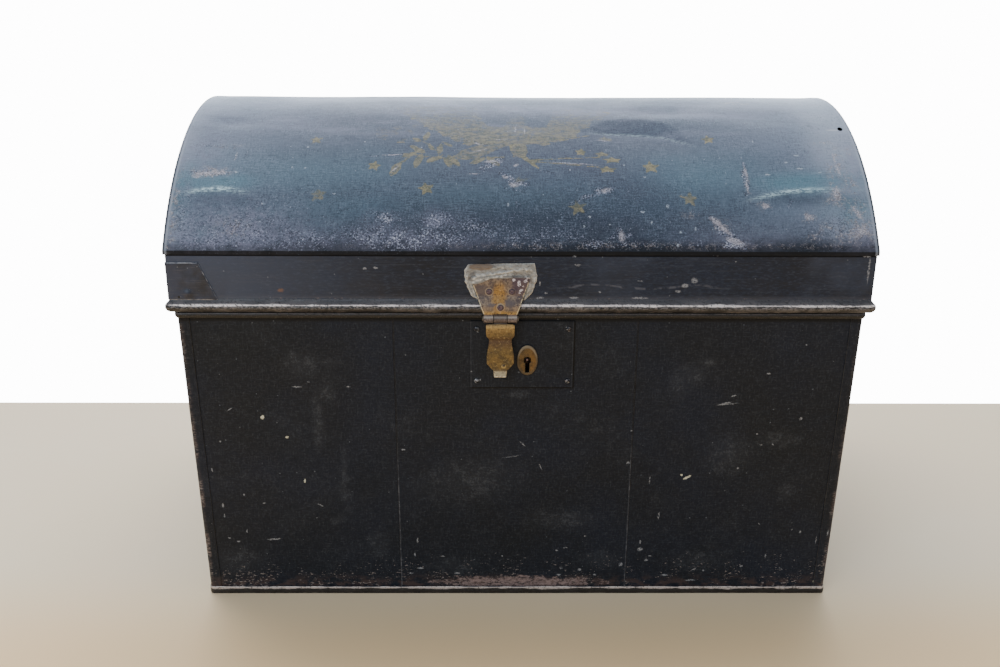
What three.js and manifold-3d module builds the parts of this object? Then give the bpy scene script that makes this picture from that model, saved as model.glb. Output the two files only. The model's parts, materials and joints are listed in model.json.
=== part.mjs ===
// Painted tin trunk with a domed lid, hasp lock, two back hinges and two drop handles.
// Millimetres. X to the right, Y to the back, Z up. The origin is on the floor under the middle of the body.
import * as THREE from 'three';
import { mergeVertices } from 'three/addons/utils/BufferGeometryUtils.js';
import Module from 'manifold-3d';

const wasm = await Module();
wasm.setup();

// Sheet and clearances
const sheet = 0.8;
const gap = 0.3;
const overrun = 5;

// Body: half sizes of the outer wall faces at the stop bead, and how far the foot is drawn in
const topHalfWidth = 344;
const topHalfDepth = 224;
const footInset = 5;
const bodyHeight = 323;
const lipRise = 22;
const leftSeamX = -129;
const rightSeamX = 118.7;
const seamLap = 6;
const cornerLap = 12;
const cornerRadius = 4;

// Foot rim and bottom
const rimHeight = 9;
const bottomFlange = 8;
const bottomLap = 8;

// Beads at the parting line
const stopBeadHeight = 7.4;
const stopBeadDepth = 2.5;
const rimBeadHeight = 12;
const rimBeadDepth = 5.7;
const beadGap = 0.6;
const rimBeadReturn = 16;

// Lid: how far its band stands outside the body, and the dome outside the band
const bandMarginWidth = 4.2;
const bandMarginDepth = 4.5;
const bandHeight = 63;
const domeMarginWidth = 1.8;
const domeMarginDepth = 1.5;
const domeRise = 118;
const domeSkirt = 4;
const lidFlange = 8;

// Hinges and hasp share the knuckle and the leaf stock
const knuckleRadius = 4.5;
const pinRadius = 1.6;
const pinHeadRadius = 2.6;
const pinHeadLength = 1.2;
const leafStock = 1.2;
const pivotOut = 5;
const knuckleGap = 0.4;

const hingeX = 205;
const hingeKnuckles = [-30, -18, -6, 6, 18, 30];
const hingeTopWidth = 44;
const hingeLidRise = 36;
const hingeDrop = 40;
const hingeRivetSpread = 14;
const hingeRivetEdge = 7;

// Hasp on the front
const haspX = -20.7;
const haspKnuckles = [-16.8, -6.8, 6.8, 16.8];
const haspTopWidth = 56;
const haspLidRise = 36;
const haspThickness = 1.6;
const haspHeadWidth = 30;
const haspNeckWidth = 22.3;
const haspBellyWidth = 27.5;
const haspTabWidth = 13.8;
const haspTongueWidth = 12.8;
const haspHeadDrop = 5.8;
const haspShoulderDrop = 20.7;
const haspNeckDrop = 27.3;
const haspBellyDrop = 46.6;
const haspCornerDrop = 53.8;
const haspTabDrop = 63;
const haspLipOut = 3;
const haspRivetSpread = 11.2;
const haspRivetRise = 16;
const haspLowRivetRise = 1.4;
const patchThickness = 0.6;

// Staple on the hasp, in the lock's slot when the hasp is pushed home
const stapleOffset = 3.5;
const stapleDrop = 50.5;
const stapleReach = 8.4;
const stapleHeight = 12;
const stapleWire = 0.9;
const stapleRivetRadius = 2.6;
const stapleRivetHeight = 0.9;
const slotClearance = 1.2;

// Lock plate, escutcheon and keyhole: offsets from the hasp, drops from the top of the body
const lockPlateOffset = 22.55;
const lockPlateWidth = 105.7;
const lockPlateHeight = 73.5;
const lockPlateDrop = 2.5;
const lockPlateThickness = 1;
const lockRivetInsetX = 6.5;
const lockRivetInsetZ = 8.5;
const keyOffset = 27.6;
const keyDrop = 44.4;
const keyRadius = 3.8;
const keySlotWidth = 4;
const keySlotDrop = 13.2;
const keyPostRadius = 1.2;
const keyPostHeadRadius = 2.4;
const escutcheonHalfWidth = 10.6;
const escutcheonHalfHeight = 16.3;
const escutcheonThickness = 1.8;
const escutcheonBevel = 0.8;

// Lock case, bolt and spring behind the front: the case reaches this far from the key's centre
const caseLeftReach = 40.9;
const caseRightReach = 27.1;
const caseLowReach = 22.6;
const caseHighReach = 23.4;
const caseDepth = 13;
const caseSheet = 1;
const boltThickness = 1.6;
const boltHalfHeight = 4;
const boltLength = 42;
const boltTail = 5;
const boltTailLength = 12;
const boltTravel = 9;
const boltStart = 3.4;
const guideHeight = 2;
const springThickness = 0.6;
const springWidth = 3;
const springRise = 6;

// Rivets
const rivetHeadRadius = 2.6;
const rivetHeadHeight = 1.3;
const rivetShankRadius = 1.3;
const rivetTailRadius = 2.1;
const rivetTailHeight = 0.7;

// Repair patch on the front left corner of the lid band
const repairThickness = 0.8;
const repairWrap = 26;
const repairWidth = 48;
const repairTopShare = 0.65;
const repairWrapShare = 0.8;
const repairHeightShare = 0.82;

// Solder patch round the hasp, in shares of its width and height about the hasp
const solderWidth = 75;
const solderHeightShare = 0.826;
const solderShares = [
  [-0.3, 0],
  [0.33, 0],
  [0.43, 0.2],
  [0.5, 0.58],
  [0.46, 1],
  [-0.43, 0.97],
  [-0.49, 0.81],
  [-0.48, 0.49],
  [-0.4, 0.12],
];

// Drop handles on the ends
const handleBelowTop = 91;
const handleDrop = 44;
const handleBend = 9;
const handleRod = 3;
const handlePivotOut = 6.3;
const eyeLength = 12;
const eyeOuter = 4.8;
const eyeBore = 3.4;
const handlePlateHalfWidth = 76;
const handleEyeInset = 24;
const handleRivetInset = 8;
const handlePlateHalfHeight = 17;
const handlePlateThickness = 1.2;

// Facet counts
const roundSides = 12;
const smallSides = 8;
const domeSteps = 36;
const beadSteps = 6;
const cornerSteps = 4;
const headSteps = 3;
const bevelSteps = 2;

// Join tolerance for points that are the same
const weld = 1e-4;

// Worked out from the sizes above
const footHalfWidth = topHalfWidth - footInset;
const footHalfDepth = topHalfDepth - footInset;
const bandHalfWidth = topHalfWidth + bandMarginWidth;
const bandHalfDepth = topHalfDepth + bandMarginDepth;
const domeHalfWidth = bandHalfWidth + domeMarginWidth;
const domeHalfDepth = bandHalfDepth + domeMarginDepth;
const stopBeadTop = bodyHeight + stopBeadHeight;
const lidLow = stopBeadTop + beadGap;
const lidBandTop = lidLow + bandHeight;
const lipTop = bodyHeight + lipRise;
const wallSlope = footInset / bodyHeight;
const wallTilt = Math.atan(wallSlope);
const plateOut = -(sheet + gap);
const wallInner = plateOut - sheet;
const domeRadius = (domeHalfDepth ** 2 + domeRise ** 2) / (2 * domeRise);
const domeCentreZ = lidBandTop + domeRise - domeRadius;
const pivotZ = lidLow - knuckleRadius - gap - gap / 2;
const leafOut = rimBeadDepth + 2 * gap + leafStock / 2;
const boreRadius = pinRadius + gap;
const bandClearLow = lidLow + rimBeadHeight + 2 * gap;
const bandClearHeight = bandHeight - rimBeadHeight - domeSkirt;
const stapleX = haspX + stapleOffset;
const lockPlateLeft = haspX + lockPlateOffset - lockPlateWidth / 2;
const lockPlateRight = lockPlateLeft + lockPlateWidth;
const lockPlateHigh = bodyHeight - lockPlateDrop;
const lockPlateLow = lockPlateHigh - lockPlateHeight;
const keyX = haspX + keyOffset;
const keyZ = bodyHeight - keyDrop;
const caseLeft = keyX - caseLeftReach;
const caseRight = keyX + caseRightReach;
const caseLow = keyZ - caseLowReach;
const caseHigh = keyZ + caseHighReach;
const slotZ = pivotZ - stapleDrop + slotClearance;
const boltBodyLow = keyZ + boltTail;
const boltBodyHigh = boltBodyLow + 2 * boltHalfHeight;
const boltTip = stapleX + boltStart;
const handleZ = bodyHeight - handleBelowTop;
const handleHalfSpan = handlePlateHalfWidth - handleEyeInset;
const handleRivetSpread = handlePlateHalfWidth - handleRivetInset;

// Finishes
const blackPaint = new THREE.MeshStandardMaterial({ color: 0x222326, roughness: 0.55, metalness: 0.2 });
const navyPaint = new THREE.MeshStandardMaterial({ color: 0x3c4b5a, roughness: 0.4, metalness: 0.2 });
const wornPaint = new THREE.MeshStandardMaterial({ color: 0x57504a, roughness: 0.6, metalness: 0.3 });
const brassFinish = new THREE.MeshStandardMaterial({ color: 0x96733a, roughness: 0.45, metalness: 0.9 });
const steelFinish = new THREE.MeshStandardMaterial({ color: 0x77736c, roughness: 0.5, metalness: 0.9 });
const solderFinish = new THREE.MeshStandardMaterial({ color: 0x96948c, roughness: 0.6, metalness: 0.7 });

// Closed geometry to a solid that can be cut or joined, and back
function toSolid(geometry) {
  const bare = geometry.clone();
  bare.deleteAttribute('normal');
  bare.deleteAttribute('uv');
  const merged = mergeVertices(bare, weld);
  const mesh = new wasm.Mesh({
    numProp: 3,
    vertProperties: new Float32Array(merged.attributes.position.array),
    triVerts: new Uint32Array(merged.index.array),
  });
  return new wasm.Manifold(mesh);
}

function toGeometry(solid) {
  const mesh = solid.getMesh();
  const geometry = new THREE.BufferGeometry();
  geometry.setAttribute('position', new THREE.BufferAttribute(new Float32Array(mesh.vertProperties), 3));
  geometry.setIndex(new THREE.BufferAttribute(new Uint32Array(mesh.triVerts), 1));
  geometry.computeVertexNormals();
  return geometry;
}

function join(...geometries) {
  const solids = geometries.map(toSolid);
  return toGeometry(solids.reduce((whole, piece) => whole.add(piece)));
}

function cut(geometry, ...cutters) {
  const solids = cutters.map(toSolid);
  return toGeometry(solids.reduce((whole, cutter) => whole.subtract(cutter), toSolid(geometry)));
}

function common(first, second) {
  return toGeometry(toSolid(first).intersect(toSolid(second)));
}

function addPiece(parent, name, geometry, finish) {
  const piece = new THREE.Mesh(geometry, finish);
  piece.name = name;
  parent.add(piece);
  return piece;
}

// A flat outline from plain points
function outline(points) {
  return new THREE.Shape(points.map(([a, b]) => new THREE.Vector2(a, b)));
}

function rectangle(left, right, low, high) {
  return outline([[left, low], [right, low], [right, high], [left, high]]);
}

function slab(shape, depth, start = 0) {
  const settings = { depth, bevelEnabled: false, curveSegments: roundSides };
  const geometry = new THREE.ExtrudeGeometry(shape, settings);
  return geometry.translate(0, 0, start);
}

// An outline in the Y-Z plane run along X
function alongX(shape, from, to) {
  const turned = new THREE.Matrix4().makeBasis(
    new THREE.Vector3(0, 1, 0),
    new THREE.Vector3(0, 0, 1),
    new THREE.Vector3(1, 0, 0),
  );
  return slab(shape, to - from).applyMatrix4(turned).translate(from, 0, 0);
}

// A strip of constant thickness about a chain of points
function ribbon(points, thickness) {
  const line = points.map(([a, b]) => new THREE.Vector2(a, b));
  const sides = [[], []];
  line.forEach((point, index) => {
    const before = line[Math.max(index - 1, 0)];
    const after = line[Math.min(index + 1, line.length - 1)];
    const first = index === 0 ? after.clone().sub(point) : point.clone().sub(before);
    const second = index === line.length - 1 ? first.clone() : after.clone().sub(point);
    const normalA = new THREE.Vector2(-first.y, first.x).normalize();
    const normalB = new THREE.Vector2(-second.y, second.x).normalize();
    const mitre = normalA.clone().add(normalB).normalize();
    const reach = thickness / 2 / mitre.dot(normalA);
    sides[0].push(point.clone().addScaledVector(mitre, reach));
    sides[1].push(point.clone().addScaledVector(mitre, -reach));
  });
  return new THREE.Shape([...sides[0], ...sides[1].reverse()]);
}

function disc(radius, sides) {
  const points = [];
  for (let step = 0; step < sides; step += 1) {
    const angle = (2 * Math.PI * (step + 0.5)) / sides;
    points.push([radius * Math.cos(angle), radius * Math.sin(angle)]);
  }
  return outline(points);
}

function rodAlongX(radius, from, to, y, z, sides = roundSides) {
  return alongX(disc(radius, sides), from, to).translate(0, y, z);
}

// A closed skin over rings of points that all have the same count
function skin(rings, closedPath) {
  const count = rings[0].length;
  const positions = rings.flat().flatMap((point) => [point.x, point.y, point.z]);
  const index = [];
  const steps = closedPath ? rings.length : rings.length - 1;
  for (let ring = 0; ring < steps; ring += 1) {
    const near = ring * count;
    const far = ((ring + 1) % rings.length) * count;
    for (let side = 0; side < count; side += 1) {
      const next = (side + 1) % count;
      index.push(near + side, near + next, far + next);
      index.push(near + side, far + next, far + side);
    }
  }
  if (!closedPath) {
    const profile = flatProfile(rings[0]);
    const last = (rings.length - 1) * count;
    THREE.ShapeUtils.triangulateShape(profile, []).forEach(([a, b, c]) => {
      index.push(a, c, b);
      index.push(last + a, last + b, last + c);
    });
  }
  const geometry = new THREE.BufferGeometry();
  geometry.setAttribute('position', new THREE.Float32BufferAttribute(positions, 3));
  geometry.setIndex(index);
  return outward(geometry);
}

// The points of a flat ring, seen along its own normal
function flatProfile(ring) {
  const normal = new THREE.Vector3();
  ring.forEach((point, step) => {
    const next = ring[(step + 1) % ring.length];
    normal.add(new THREE.Vector3().crossVectors(point, next));
  });
  normal.normalize();
  const helper = Math.abs(normal.z) > 0.5 ? new THREE.Vector3(1, 0, 0) : new THREE.Vector3(0, 0, 1);
  const across = new THREE.Vector3().crossVectors(helper, normal).normalize();
  const up = new THREE.Vector3().crossVectors(normal, across);
  return ring.map((point) => new THREE.Vector2(point.dot(across), point.dot(up)));
}

// Turns the faces over if they point inwards
function outward(geometry) {
  const position = geometry.attributes.position;
  const index = geometry.index.array;
  const corner = [new THREE.Vector3(), new THREE.Vector3(), new THREE.Vector3()];
  let volume = 0;
  for (let face = 0; face < index.length; face += 3) {
    corner.forEach((vector, side) => vector.fromBufferAttribute(position, index[face + side]));
    volume += corner[0].dot(corner[1].clone().cross(corner[2]));
  }
  if (volume < 0) {
    for (let face = 0; face < index.length; face += 3) {
      [index[face + 1], index[face + 2]] = [index[face + 2], index[face + 1]];
    }
  }
  geometry.computeVertexNormals();
  return geometry;
}

// A level route round a rectangle with rounded corners, as points with their outward directions
function rectangleRoute(halfX, halfY, radius) {
  const route = [];
  [[1, -1], [1, 1], [-1, 1], [-1, -1]].forEach(([signX, signY], corner) => {
    for (let step = 0; step <= cornerSteps; step += 1) {
      const angle = ((corner - 1) * Math.PI) / 2 + (step / cornerSteps) * (Math.PI / 2);
      const out = new THREE.Vector2(Math.cos(angle), Math.sin(angle));
      const x = signX * (halfX - radius) + radius * out.x;
      const y = signY * (halfY - radius) + radius * out.y;
      route.push({ x, y, out });
    }
  });
  return route;
}

// A profile in (out, up) run along a level route
function sweepRoute(profile, route, closedPath) {
  const rings = route.map(({ x, y, out }) =>
    profile.map(([side, up]) => new THREE.Vector3(x + out.x * side, y + out.y * side, up)));
  return skin(rings, closedPath);
}

function shapePoints(shape) {
  return shape.getPoints(1).map((point) => [point.x, point.y]);
}

// Half-round line of points from a low height to a high one, out to a depth
function halfRound(low, high, depth, start) {
  const points = [];
  for (let step = 0; step <= beadSteps; step += 1) {
    const angle = -Math.PI / 2 + (step / beadSteps) * Math.PI;
    const middle = (low + high) / 2;
    points.push([start + depth * Math.cos(angle), middle + ((high - low) / 2) * Math.sin(angle)]);
  }
  return points;
}

function wallHalfWidth(height) {
  return footHalfWidth + wallSlope * height;
}

function wallHalfDepth(height) {
  return footHalfDepth + wallSlope * height;
}

// A frame lying on a body wall: X along the wall, Y up it, Z out of it, zero at the corner flange's face
function wallFrame(parent, turn, halfSize) {
  const turned = new THREE.Group();
  turned.rotation.z = turn;
  const leaning = new THREE.Group();
  leaning.position.y = -halfSize;
  leaning.rotation.x = Math.PI / 2 + wallTilt;
  turned.add(leaning);
  parent.add(turned);
  return leaning;
}

// Rivet along the outward axis: domed head outside, shank through the stack, flat tail inside
function rivetSolid(seat, tailSeat) {
  const profile = [new THREE.Vector2(0, tailSeat - rivetTailHeight)];
  profile.push(new THREE.Vector2(rivetTailRadius, tailSeat - rivetTailHeight));
  profile.push(new THREE.Vector2(rivetTailRadius, tailSeat));
  profile.push(new THREE.Vector2(rivetShankRadius, tailSeat));
  profile.push(new THREE.Vector2(rivetShankRadius, seat));
  profile.push(new THREE.Vector2(rivetHeadRadius, seat));
  for (let step = 1; step < headSteps; step += 1) {
    const angle = (step / headSteps) * (Math.PI / 2);
    const radius = rivetHeadRadius * Math.cos(angle);
    profile.push(new THREE.Vector2(radius, seat + rivetHeadHeight * Math.sin(angle)));
  }
  profile.push(new THREE.Vector2(0, seat + rivetHeadHeight));
  return new THREE.LatheGeometry(profile, smallSides).rotateX(Math.PI / 2);
}

function rivetHole(x, y, length, start) {
  return slab(disc(rivetShankRadius + gap, smallSides), length, start).translate(x, y, 0);
}

function holePath(x, y, radius) {
  const path = new THREE.Path();
  path.absarc(x, y, radius, 0, 2 * Math.PI, true);
  return path;
}

// An outline in (X, out) run up a wall
function upWall(shape, from, to) {
  return slab(shape, to - from).rotateX(Math.PI / 2).translate(0, to, 0);
}

// Flat wall plate in a wall frame, with tongues that lap behind its neighbours
function wallPlate(leftEdge, rightEdge, tongueSides, holes = []) {
  const low = sheet + gap;
  const shape = outline([
    [leftEdge(low), low],
    [rightEdge(low), low],
    [rightEdge(lipTop), lipTop],
    [leftEdge(lipTop), lipTop],
  ]);
  shape.holes.push(...holes);
  const plate = slab(shape, sheet, wallInner);
  const tongues = tongueSides.map((side) => seamTongue(side < 0 ? leftEdge(low) : rightEdge(low), side));
  return tongues.length ? join(plate, ...tongues) : plate;
}

// The folded strip of a grooved seam, which lies behind the neighbouring plate
function seamTongue(edge, side) {
  const root = edge - side * seamLap;
  const tip = edge + side * (gap + seamLap);
  const front = wallInner - gap;
  const back = front - sheet;
  const inPlate = wallInner + sheet / 2;
  const points = [[root, inPlate], [root, back], [tip, back], [tip, front], [edge, front], [edge, inPlate]];
  const low = rimHeight + sheet + bottomFlange + 2 * gap;
  return upWall(outline(side < 0 ? points : points.reverse()), low, lipTop);
}

// End plate: one sheet whose edges turn the corners and lap the front and the back
function endPlate(side) {
  const rings = [sheet + gap, lipTop].map((height) => {
    const halfX = wallHalfWidth(height);
    const halfY = wallHalfDepth(height);
    const corners = rectangleRoute(halfX, halfY, cornerRadius).slice(0, 2 * (cornerSteps + 1));
    const start = { x: halfX - cornerLap, y: -halfY, out: new THREE.Vector2(0, -1) };
    const end = { x: halfX - cornerLap, y: halfY, out: new THREE.Vector2(0, 1) };
    const line = [start, ...corners, end];
    const outer = line.map(({ x, y }) => new THREE.Vector3(side * x, y, height));
    const inner = line.map(({ x, y, out }) =>
      new THREE.Vector3(side * (x - sheet * out.x), y - sheet * out.y, height));
    return [...outer, ...inner.reverse()];
  });
  return skin(rings, false);
}

// The three plates of one long side, in the frame of that wall
function addLongSide(wall, names, middleHoles, outerHoles) {
  const cornerEdge = (height) => wallHalfWidth(height) - cornerRadius;
  const outerLeft = (height) => -cornerEdge(height);
  const leftSeam = () => leftSeamX - gap / 2;
  const middleLeft = () => leftSeamX + gap / 2;
  const middleRight = () => rightSeamX - gap / 2;
  const rightSeam = () => rightSeamX + gap / 2;
  addPiece(wall, names[0], wallPlate(outerLeft, leftSeam, [1], outerHoles[0]), blackPaint);
  addPiece(wall, names[1], wallPlate(middleLeft, middleRight, [], middleHoles), blackPaint);
  addPiece(wall, names[2], wallPlate(rightSeam, cornerEdge, [-1], outerHoles[1]), blackPaint);
}

// Half of the bottom: a floor with three edges turned up, and a tongue under the other half
function bottomPlate(side) {
  const floorLow = rimHeight + gap;
  const halfY = footHalfDepth + wallInner - gap;
  const halfX = footHalfWidth - sheet - 2 * gap;
  const inner = gap / 2;
  const blank = slab(rectangle(inner, halfX, -halfY, halfY), bottomFlange, floorLow);
  const room = rectangle(inner - overrun, halfX - sheet, sheet - halfY, halfY - sheet);
  const pan = cut(blank, slab(room, bottomFlange, floorLow + sheet));
  const plate = side < 0 ? join(pan, bottomTongue(floorLow, halfY - bottomLap)) : pan;
  return side > 0 ? plate : plate.rotateZ(Math.PI);
}

function bottomTongue(floorLow, halfY) {
  const front = floorLow - gap;
  const points = [
    [bottomLap, floorLow + sheet / 2],
    [gap, floorLow + sheet / 2],
    [gap, front],
    [-bottomLap, front],
    [-bottomLap, front - sheet],
    [bottomLap, front - sheet],
  ];
  return slab(outline(points), 2 * halfY).rotateX(Math.PI / 2).translate(0, halfY, 0);
}

// Rim folded round the foot of the walls
function footRim() {
  const lean = wallSlope * rimHeight;
  const outer = gap + sheet;
  const inner = wallInner - gap;
  const profile = [
    [inner - sheet, 0],
    [outer, 0],
    [outer + lean, rimHeight],
    [gap + lean, rimHeight],
    [gap, sheet],
    [inner, sheet],
    [inner + lean, rimHeight],
    [inner - sheet + lean, rimHeight],
  ];
  return sweepRoute(profile, rectangleRoute(footHalfWidth, footHalfDepth, cornerRadius), true);
}

function stopBead() {
  const start = gap;
  const line = halfRound(bodyHeight, stopBeadTop, stopBeadDepth, start);
  const middle = bodyHeight + stopBeadHeight / 2;
  const route = rectangleRoute(wallHalfWidth(middle), wallHalfDepth(middle), cornerRadius);
  const lean = wallSlope * stopBeadHeight;
  return sweepRoute(line.map(([out, up]) => [out + lean, up]), route, true);
}

// Lid band: an upright strip whose top edge turns in under the dome
function lidBand(holes) {
  const shape = outline([
    [-bandHalfWidth, lidLow],
    [bandHalfWidth, lidLow],
    [bandHalfWidth, lidBandTop - gap],
    [-bandHalfWidth, lidBandTop - gap],
  ]);
  shape.holes.push(...holes);
  const radius = domeRadius - sheet - gap - sheet / 2;
  const edgeAngle = Math.asin((bandHalfDepth - sheet / 2) / radius);
  const turnIn = [0, 0.5, 1].map((share) => {
    const angle = edgeAngle - (share * lidFlange) / radius;
    return [domeCentreZ + radius * Math.cos(angle), radius * Math.sin(angle) - bandHalfDepth];
  });
  const strip = ribbon([[lidBandTop - lidFlange, -sheet / 2], ...turnIn], sheet);
  const flangeHalf = bandHalfWidth - lidFlange - gap;
  return join(slab(shape, sheet, -sheet), alongX(strip, -flangeHalf, flangeHalf));
}

// The arch over one end, as a closed outline in (Y, Z), shrunk by an inset
function archOutline(halfDepth, radius, low) {
  const angle = Math.asin(halfDepth / radius);
  const shape = new THREE.Shape();
  shape.moveTo(halfDepth, low);
  shape.lineTo(halfDepth, domeCentreZ + radius * Math.cos(angle));
  for (let step = 1; step <= domeSteps; step += 1) {
    const turn = angle - (2 * angle * step) / domeSteps;
    shape.lineTo(radius * Math.sin(turn), domeCentreZ + radius * Math.cos(turn));
  }
  shape.lineTo(-halfDepth, low);
  return shape;
}

// Lid end: an arched panel with its edges turned in
function lidEnd(side) {
  const halfDepth = bandHalfDepth - sheet - gap;
  const radius = domeRadius - sheet - gap;
  const blank = archOutline(halfDepth, radius, lidLow);
  const hollow = archOutline(halfDepth - sheet, radius - sheet, lidLow - overrun);
  const inner = bandHalfWidth - lidFlange;
  const full = alongX(blank, inner, bandHalfWidth - gap);
  const room = alongX(hollow, inner - overrun, bandHalfWidth - gap - sheet);
  const panel = cut(full, room);
  return side > 0 ? panel : panel.rotateZ(Math.PI);
}

// Dome: one sheet bent to an arc, its long edges turned down over the bands
function domeSheet() {
  const outerRadius = domeRadius;
  const innerRadius = domeRadius - sheet;
  const angle = Math.asin(domeHalfDepth / outerRadius);
  const innerAngle = Math.asin((domeHalfDepth - sheet) / innerRadius);
  const skirtLow = lidBandTop - domeSkirt;
  const shape = new THREE.Shape();
  shape.moveTo(domeHalfDepth, skirtLow);
  for (let step = 0; step <= domeSteps; step += 1) {
    const turn = angle - (2 * angle * step) / domeSteps;
    shape.lineTo(outerRadius * Math.sin(turn), domeCentreZ + outerRadius * Math.cos(turn));
  }
  shape.lineTo(-domeHalfDepth, skirtLow);
  shape.lineTo(sheet - domeHalfDepth, skirtLow);
  for (let step = 0; step <= domeSteps; step += 1) {
    const turn = -innerAngle + (2 * innerAngle * step) / domeSteps;
    shape.lineTo(innerRadius * Math.sin(turn), domeCentreZ + innerRadius * Math.cos(turn));
  }
  shape.lineTo(domeHalfDepth - sheet, skirtLow);
  return alongX(shape, -domeHalfWidth, domeHalfWidth);
}

// Rim bead of the lid: a half-round hollow strip
function rimBeadProfile() {
  const [low, high] = [lidLow + sheet / 2, lidLow + rimBeadHeight - sheet / 2];
  const line = halfRound(low, high, rimBeadDepth - sheet / 2, gap);
  return shapePoints(ribbon(line, sheet));
}

// Front or back length of the rim bead, which turns both corners
function longRimBead() {
  const radius = gap;
  const corners = rectangleRoute(bandHalfWidth, bandHalfDepth, radius);
  const right = corners.slice(0, cornerSteps + 1);
  const left = corners.slice(-(cornerSteps + 1));
  const end = rimBeadReturn - bandHalfDepth;
  const start = { x: -bandHalfWidth, y: end, out: new THREE.Vector2(-1, 0) };
  const finish = { x: bandHalfWidth, y: end, out: new THREE.Vector2(1, 0) };
  return sweepRoute(rimBeadProfile(), [start, ...left, ...right, finish], false);
}

function sideRimBead(side) {
  const end = bandHalfDepth - rimBeadReturn - gap;
  const out = new THREE.Vector2(side, 0);
  const route = [{ x: side * bandHalfWidth, y: -end, out }, { x: side * bandHalfWidth, y: end, out }];
  return sweepRoute(rimBeadProfile(), route, false);
}

// A frame on the front or back face of the lid band: X along it, Y up, Z out
function bandFrame(parent, turn) {
  const turned = new THREE.Group();
  turned.rotation.z = turn;
  const upright = new THREE.Group();
  upright.position.y = -bandHalfDepth;
  upright.rotation.x = Math.PI / 2;
  turned.add(upright);
  parent.add(turned);
  return upright;
}

// Knuckle tubes and the room for the other leaf's tubes, along the shared pin
function withKnuckles(leaf, knuckles, first) {
  const own = [];
  const room = [rodAlongX(boreRadius, knuckles[0] - overrun, knuckles.at(-1) + overrun, pivotZ, pivotOut)];
  for (let index = 0; index < knuckles.length - 1; index += 1) {
    const [from, to] = [knuckles[index], knuckles[index + 1]];
    if (index % 2 === first) {
      own.push(rodAlongX(knuckleRadius, from + gap / 2, to - gap / 2, pivotZ, pivotOut));
    } else {
      room.push(rodAlongX(knuckleRadius + knuckleGap, from - gap / 2, to + gap / 2, pivotZ, pivotOut));
    }
  }
  return cut(join(leaf, ...own), ...room);
}

// Leaf on the lid band, which steps out over the rim bead to the knuckles
function lidLeaf(knuckles, first, topWidth, rise, seat, holes) {
  const beadTop = lidLow + rimBeadHeight;
  const flat = seat + leafStock / 2;
  const line = [
    [pivotZ + rise, flat],
    [beadTop + rimBeadDepth, flat],
    [beadTop - rimBeadHeight / 4, leafOut],
    [pivotZ + pinRadius, leafOut],
  ];
  const halfLow = (knuckles.at(-1) - knuckles[0]) / 2 - gap / 2;
  const strip = alongX(ribbon(line, leafStock), -topWidth, topWidth);
  const silhouette = outline([
    [-halfLow, pivotZ - knuckleRadius],
    [halfLow, pivotZ - knuckleRadius],
    [halfLow, lidLow],
    [topWidth / 2, pivotZ + rise],
    [-topWidth / 2, pivotZ + rise],
    [-halfLow, lidLow],
  ]);
  const leaf = common(strip, slab(silhouette, knuckleRadius * 4, -knuckleRadius));
  return cut(withKnuckles(leaf, knuckles, first), ...holes);
}

// Leaf on the body's back, which steps out past the stop bead to the knuckles
function bodyLeaf(holes) {
  const faceOut = (height) => wallHalfDepth(height) + plateOut - bandHalfDepth + gap + leafStock / 2;
  const besideKnuckle = pivotOut - knuckleRadius + leafStock / 2;
  const stepLow = bodyHeight - 2 * knuckleRadius;
  const foot = pivotZ - hingeDrop;
  const line = [
    [pivotZ, besideKnuckle],
    [bodyHeight - leafStock, besideKnuckle],
    [stepLow, faceOut(stepLow)],
    [foot, faceOut(foot)],
  ];
  const half = hingeKnuckles.at(-1) - gap / 2;
  const leaf = alongX(ribbon(line, leafStock), -half, half);
  return cut(withKnuckles(leaf, hingeKnuckles, 0), ...holes);
}

function hingePin(knuckles) {
  const low = knuckles[0] - gap;
  const high = knuckles.at(-1) + gap;
  const profile = [
    [0, low - pinHeadLength],
    [pinHeadRadius, low - pinHeadLength],
    [pinHeadRadius, low],
    [pinRadius, low],
    [pinRadius, high],
    [pinHeadRadius, high],
    [pinHeadRadius, high + pinHeadLength],
    [0, high + pinHeadLength],
  ].map(([radius, along]) => new THREE.Vector2(radius, along));
  return new THREE.LatheGeometry(profile, roundSides).rotateZ(-Math.PI / 2).translate(0, pivotZ, pivotOut);
}

// Rivets of one leaf: holes in the stack, and a rivet for each place
function addRivets(frame, name, places, seat, tailSeat, finish) {
  places.forEach(([x, y], index) => {
    const rivet = addPiece(frame, `${name}_${index + 1}`, rivetSolid(seat + gap, tailSeat - gap), finish);
    rivet.position.set(x, y, 0);
  });
}

function holesThrough(places, originX, from, to) {
  return places.map(([x, y]) => rivetHole(x - originX, y, to - from, from));
}

const hingeCentres = [-hingeX, hingeX];
const hingeLidRivets = hingeCentres.map((x) => [
  [x - hingeRivetSpread, pivotZ + hingeLidRise - hingeRivetEdge],
  [x + hingeRivetSpread, pivotZ + hingeLidRise - hingeRivetEdge],
]);
const hingeBodyRivets = hingeCentres.map((x) => [
  [x - hingeRivetSpread, pivotZ - hingeDrop + hingeRivetEdge],
  [x + hingeRivetSpread, pivotZ - hingeDrop + hingeRivetEdge],
]);
const haspRivetPlaces = [
  [haspX - haspRivetSpread, lidLow + rimBeadHeight + haspRivetRise - rimBeadDepth],
  [haspX + haspRivetSpread, lidLow + rimBeadHeight + haspRivetRise - rimBeadDepth],
  [haspX, lidLow + rimBeadHeight / 2 + haspLowRivetRise],
];
const lockRivetPlaces = [
  [lockPlateLeft + lockRivetInsetX, lockPlateHigh - lockRivetInsetZ],
  [lockPlateRight - lockRivetInsetX, lockPlateHigh - lockRivetInsetZ],
  [lockPlateLeft + lockRivetInsetX, lockPlateLow + lockRivetInsetZ],
  [lockPlateRight - lockRivetInsetX, lockPlateLow + lockRivetInsetZ],
];

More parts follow.
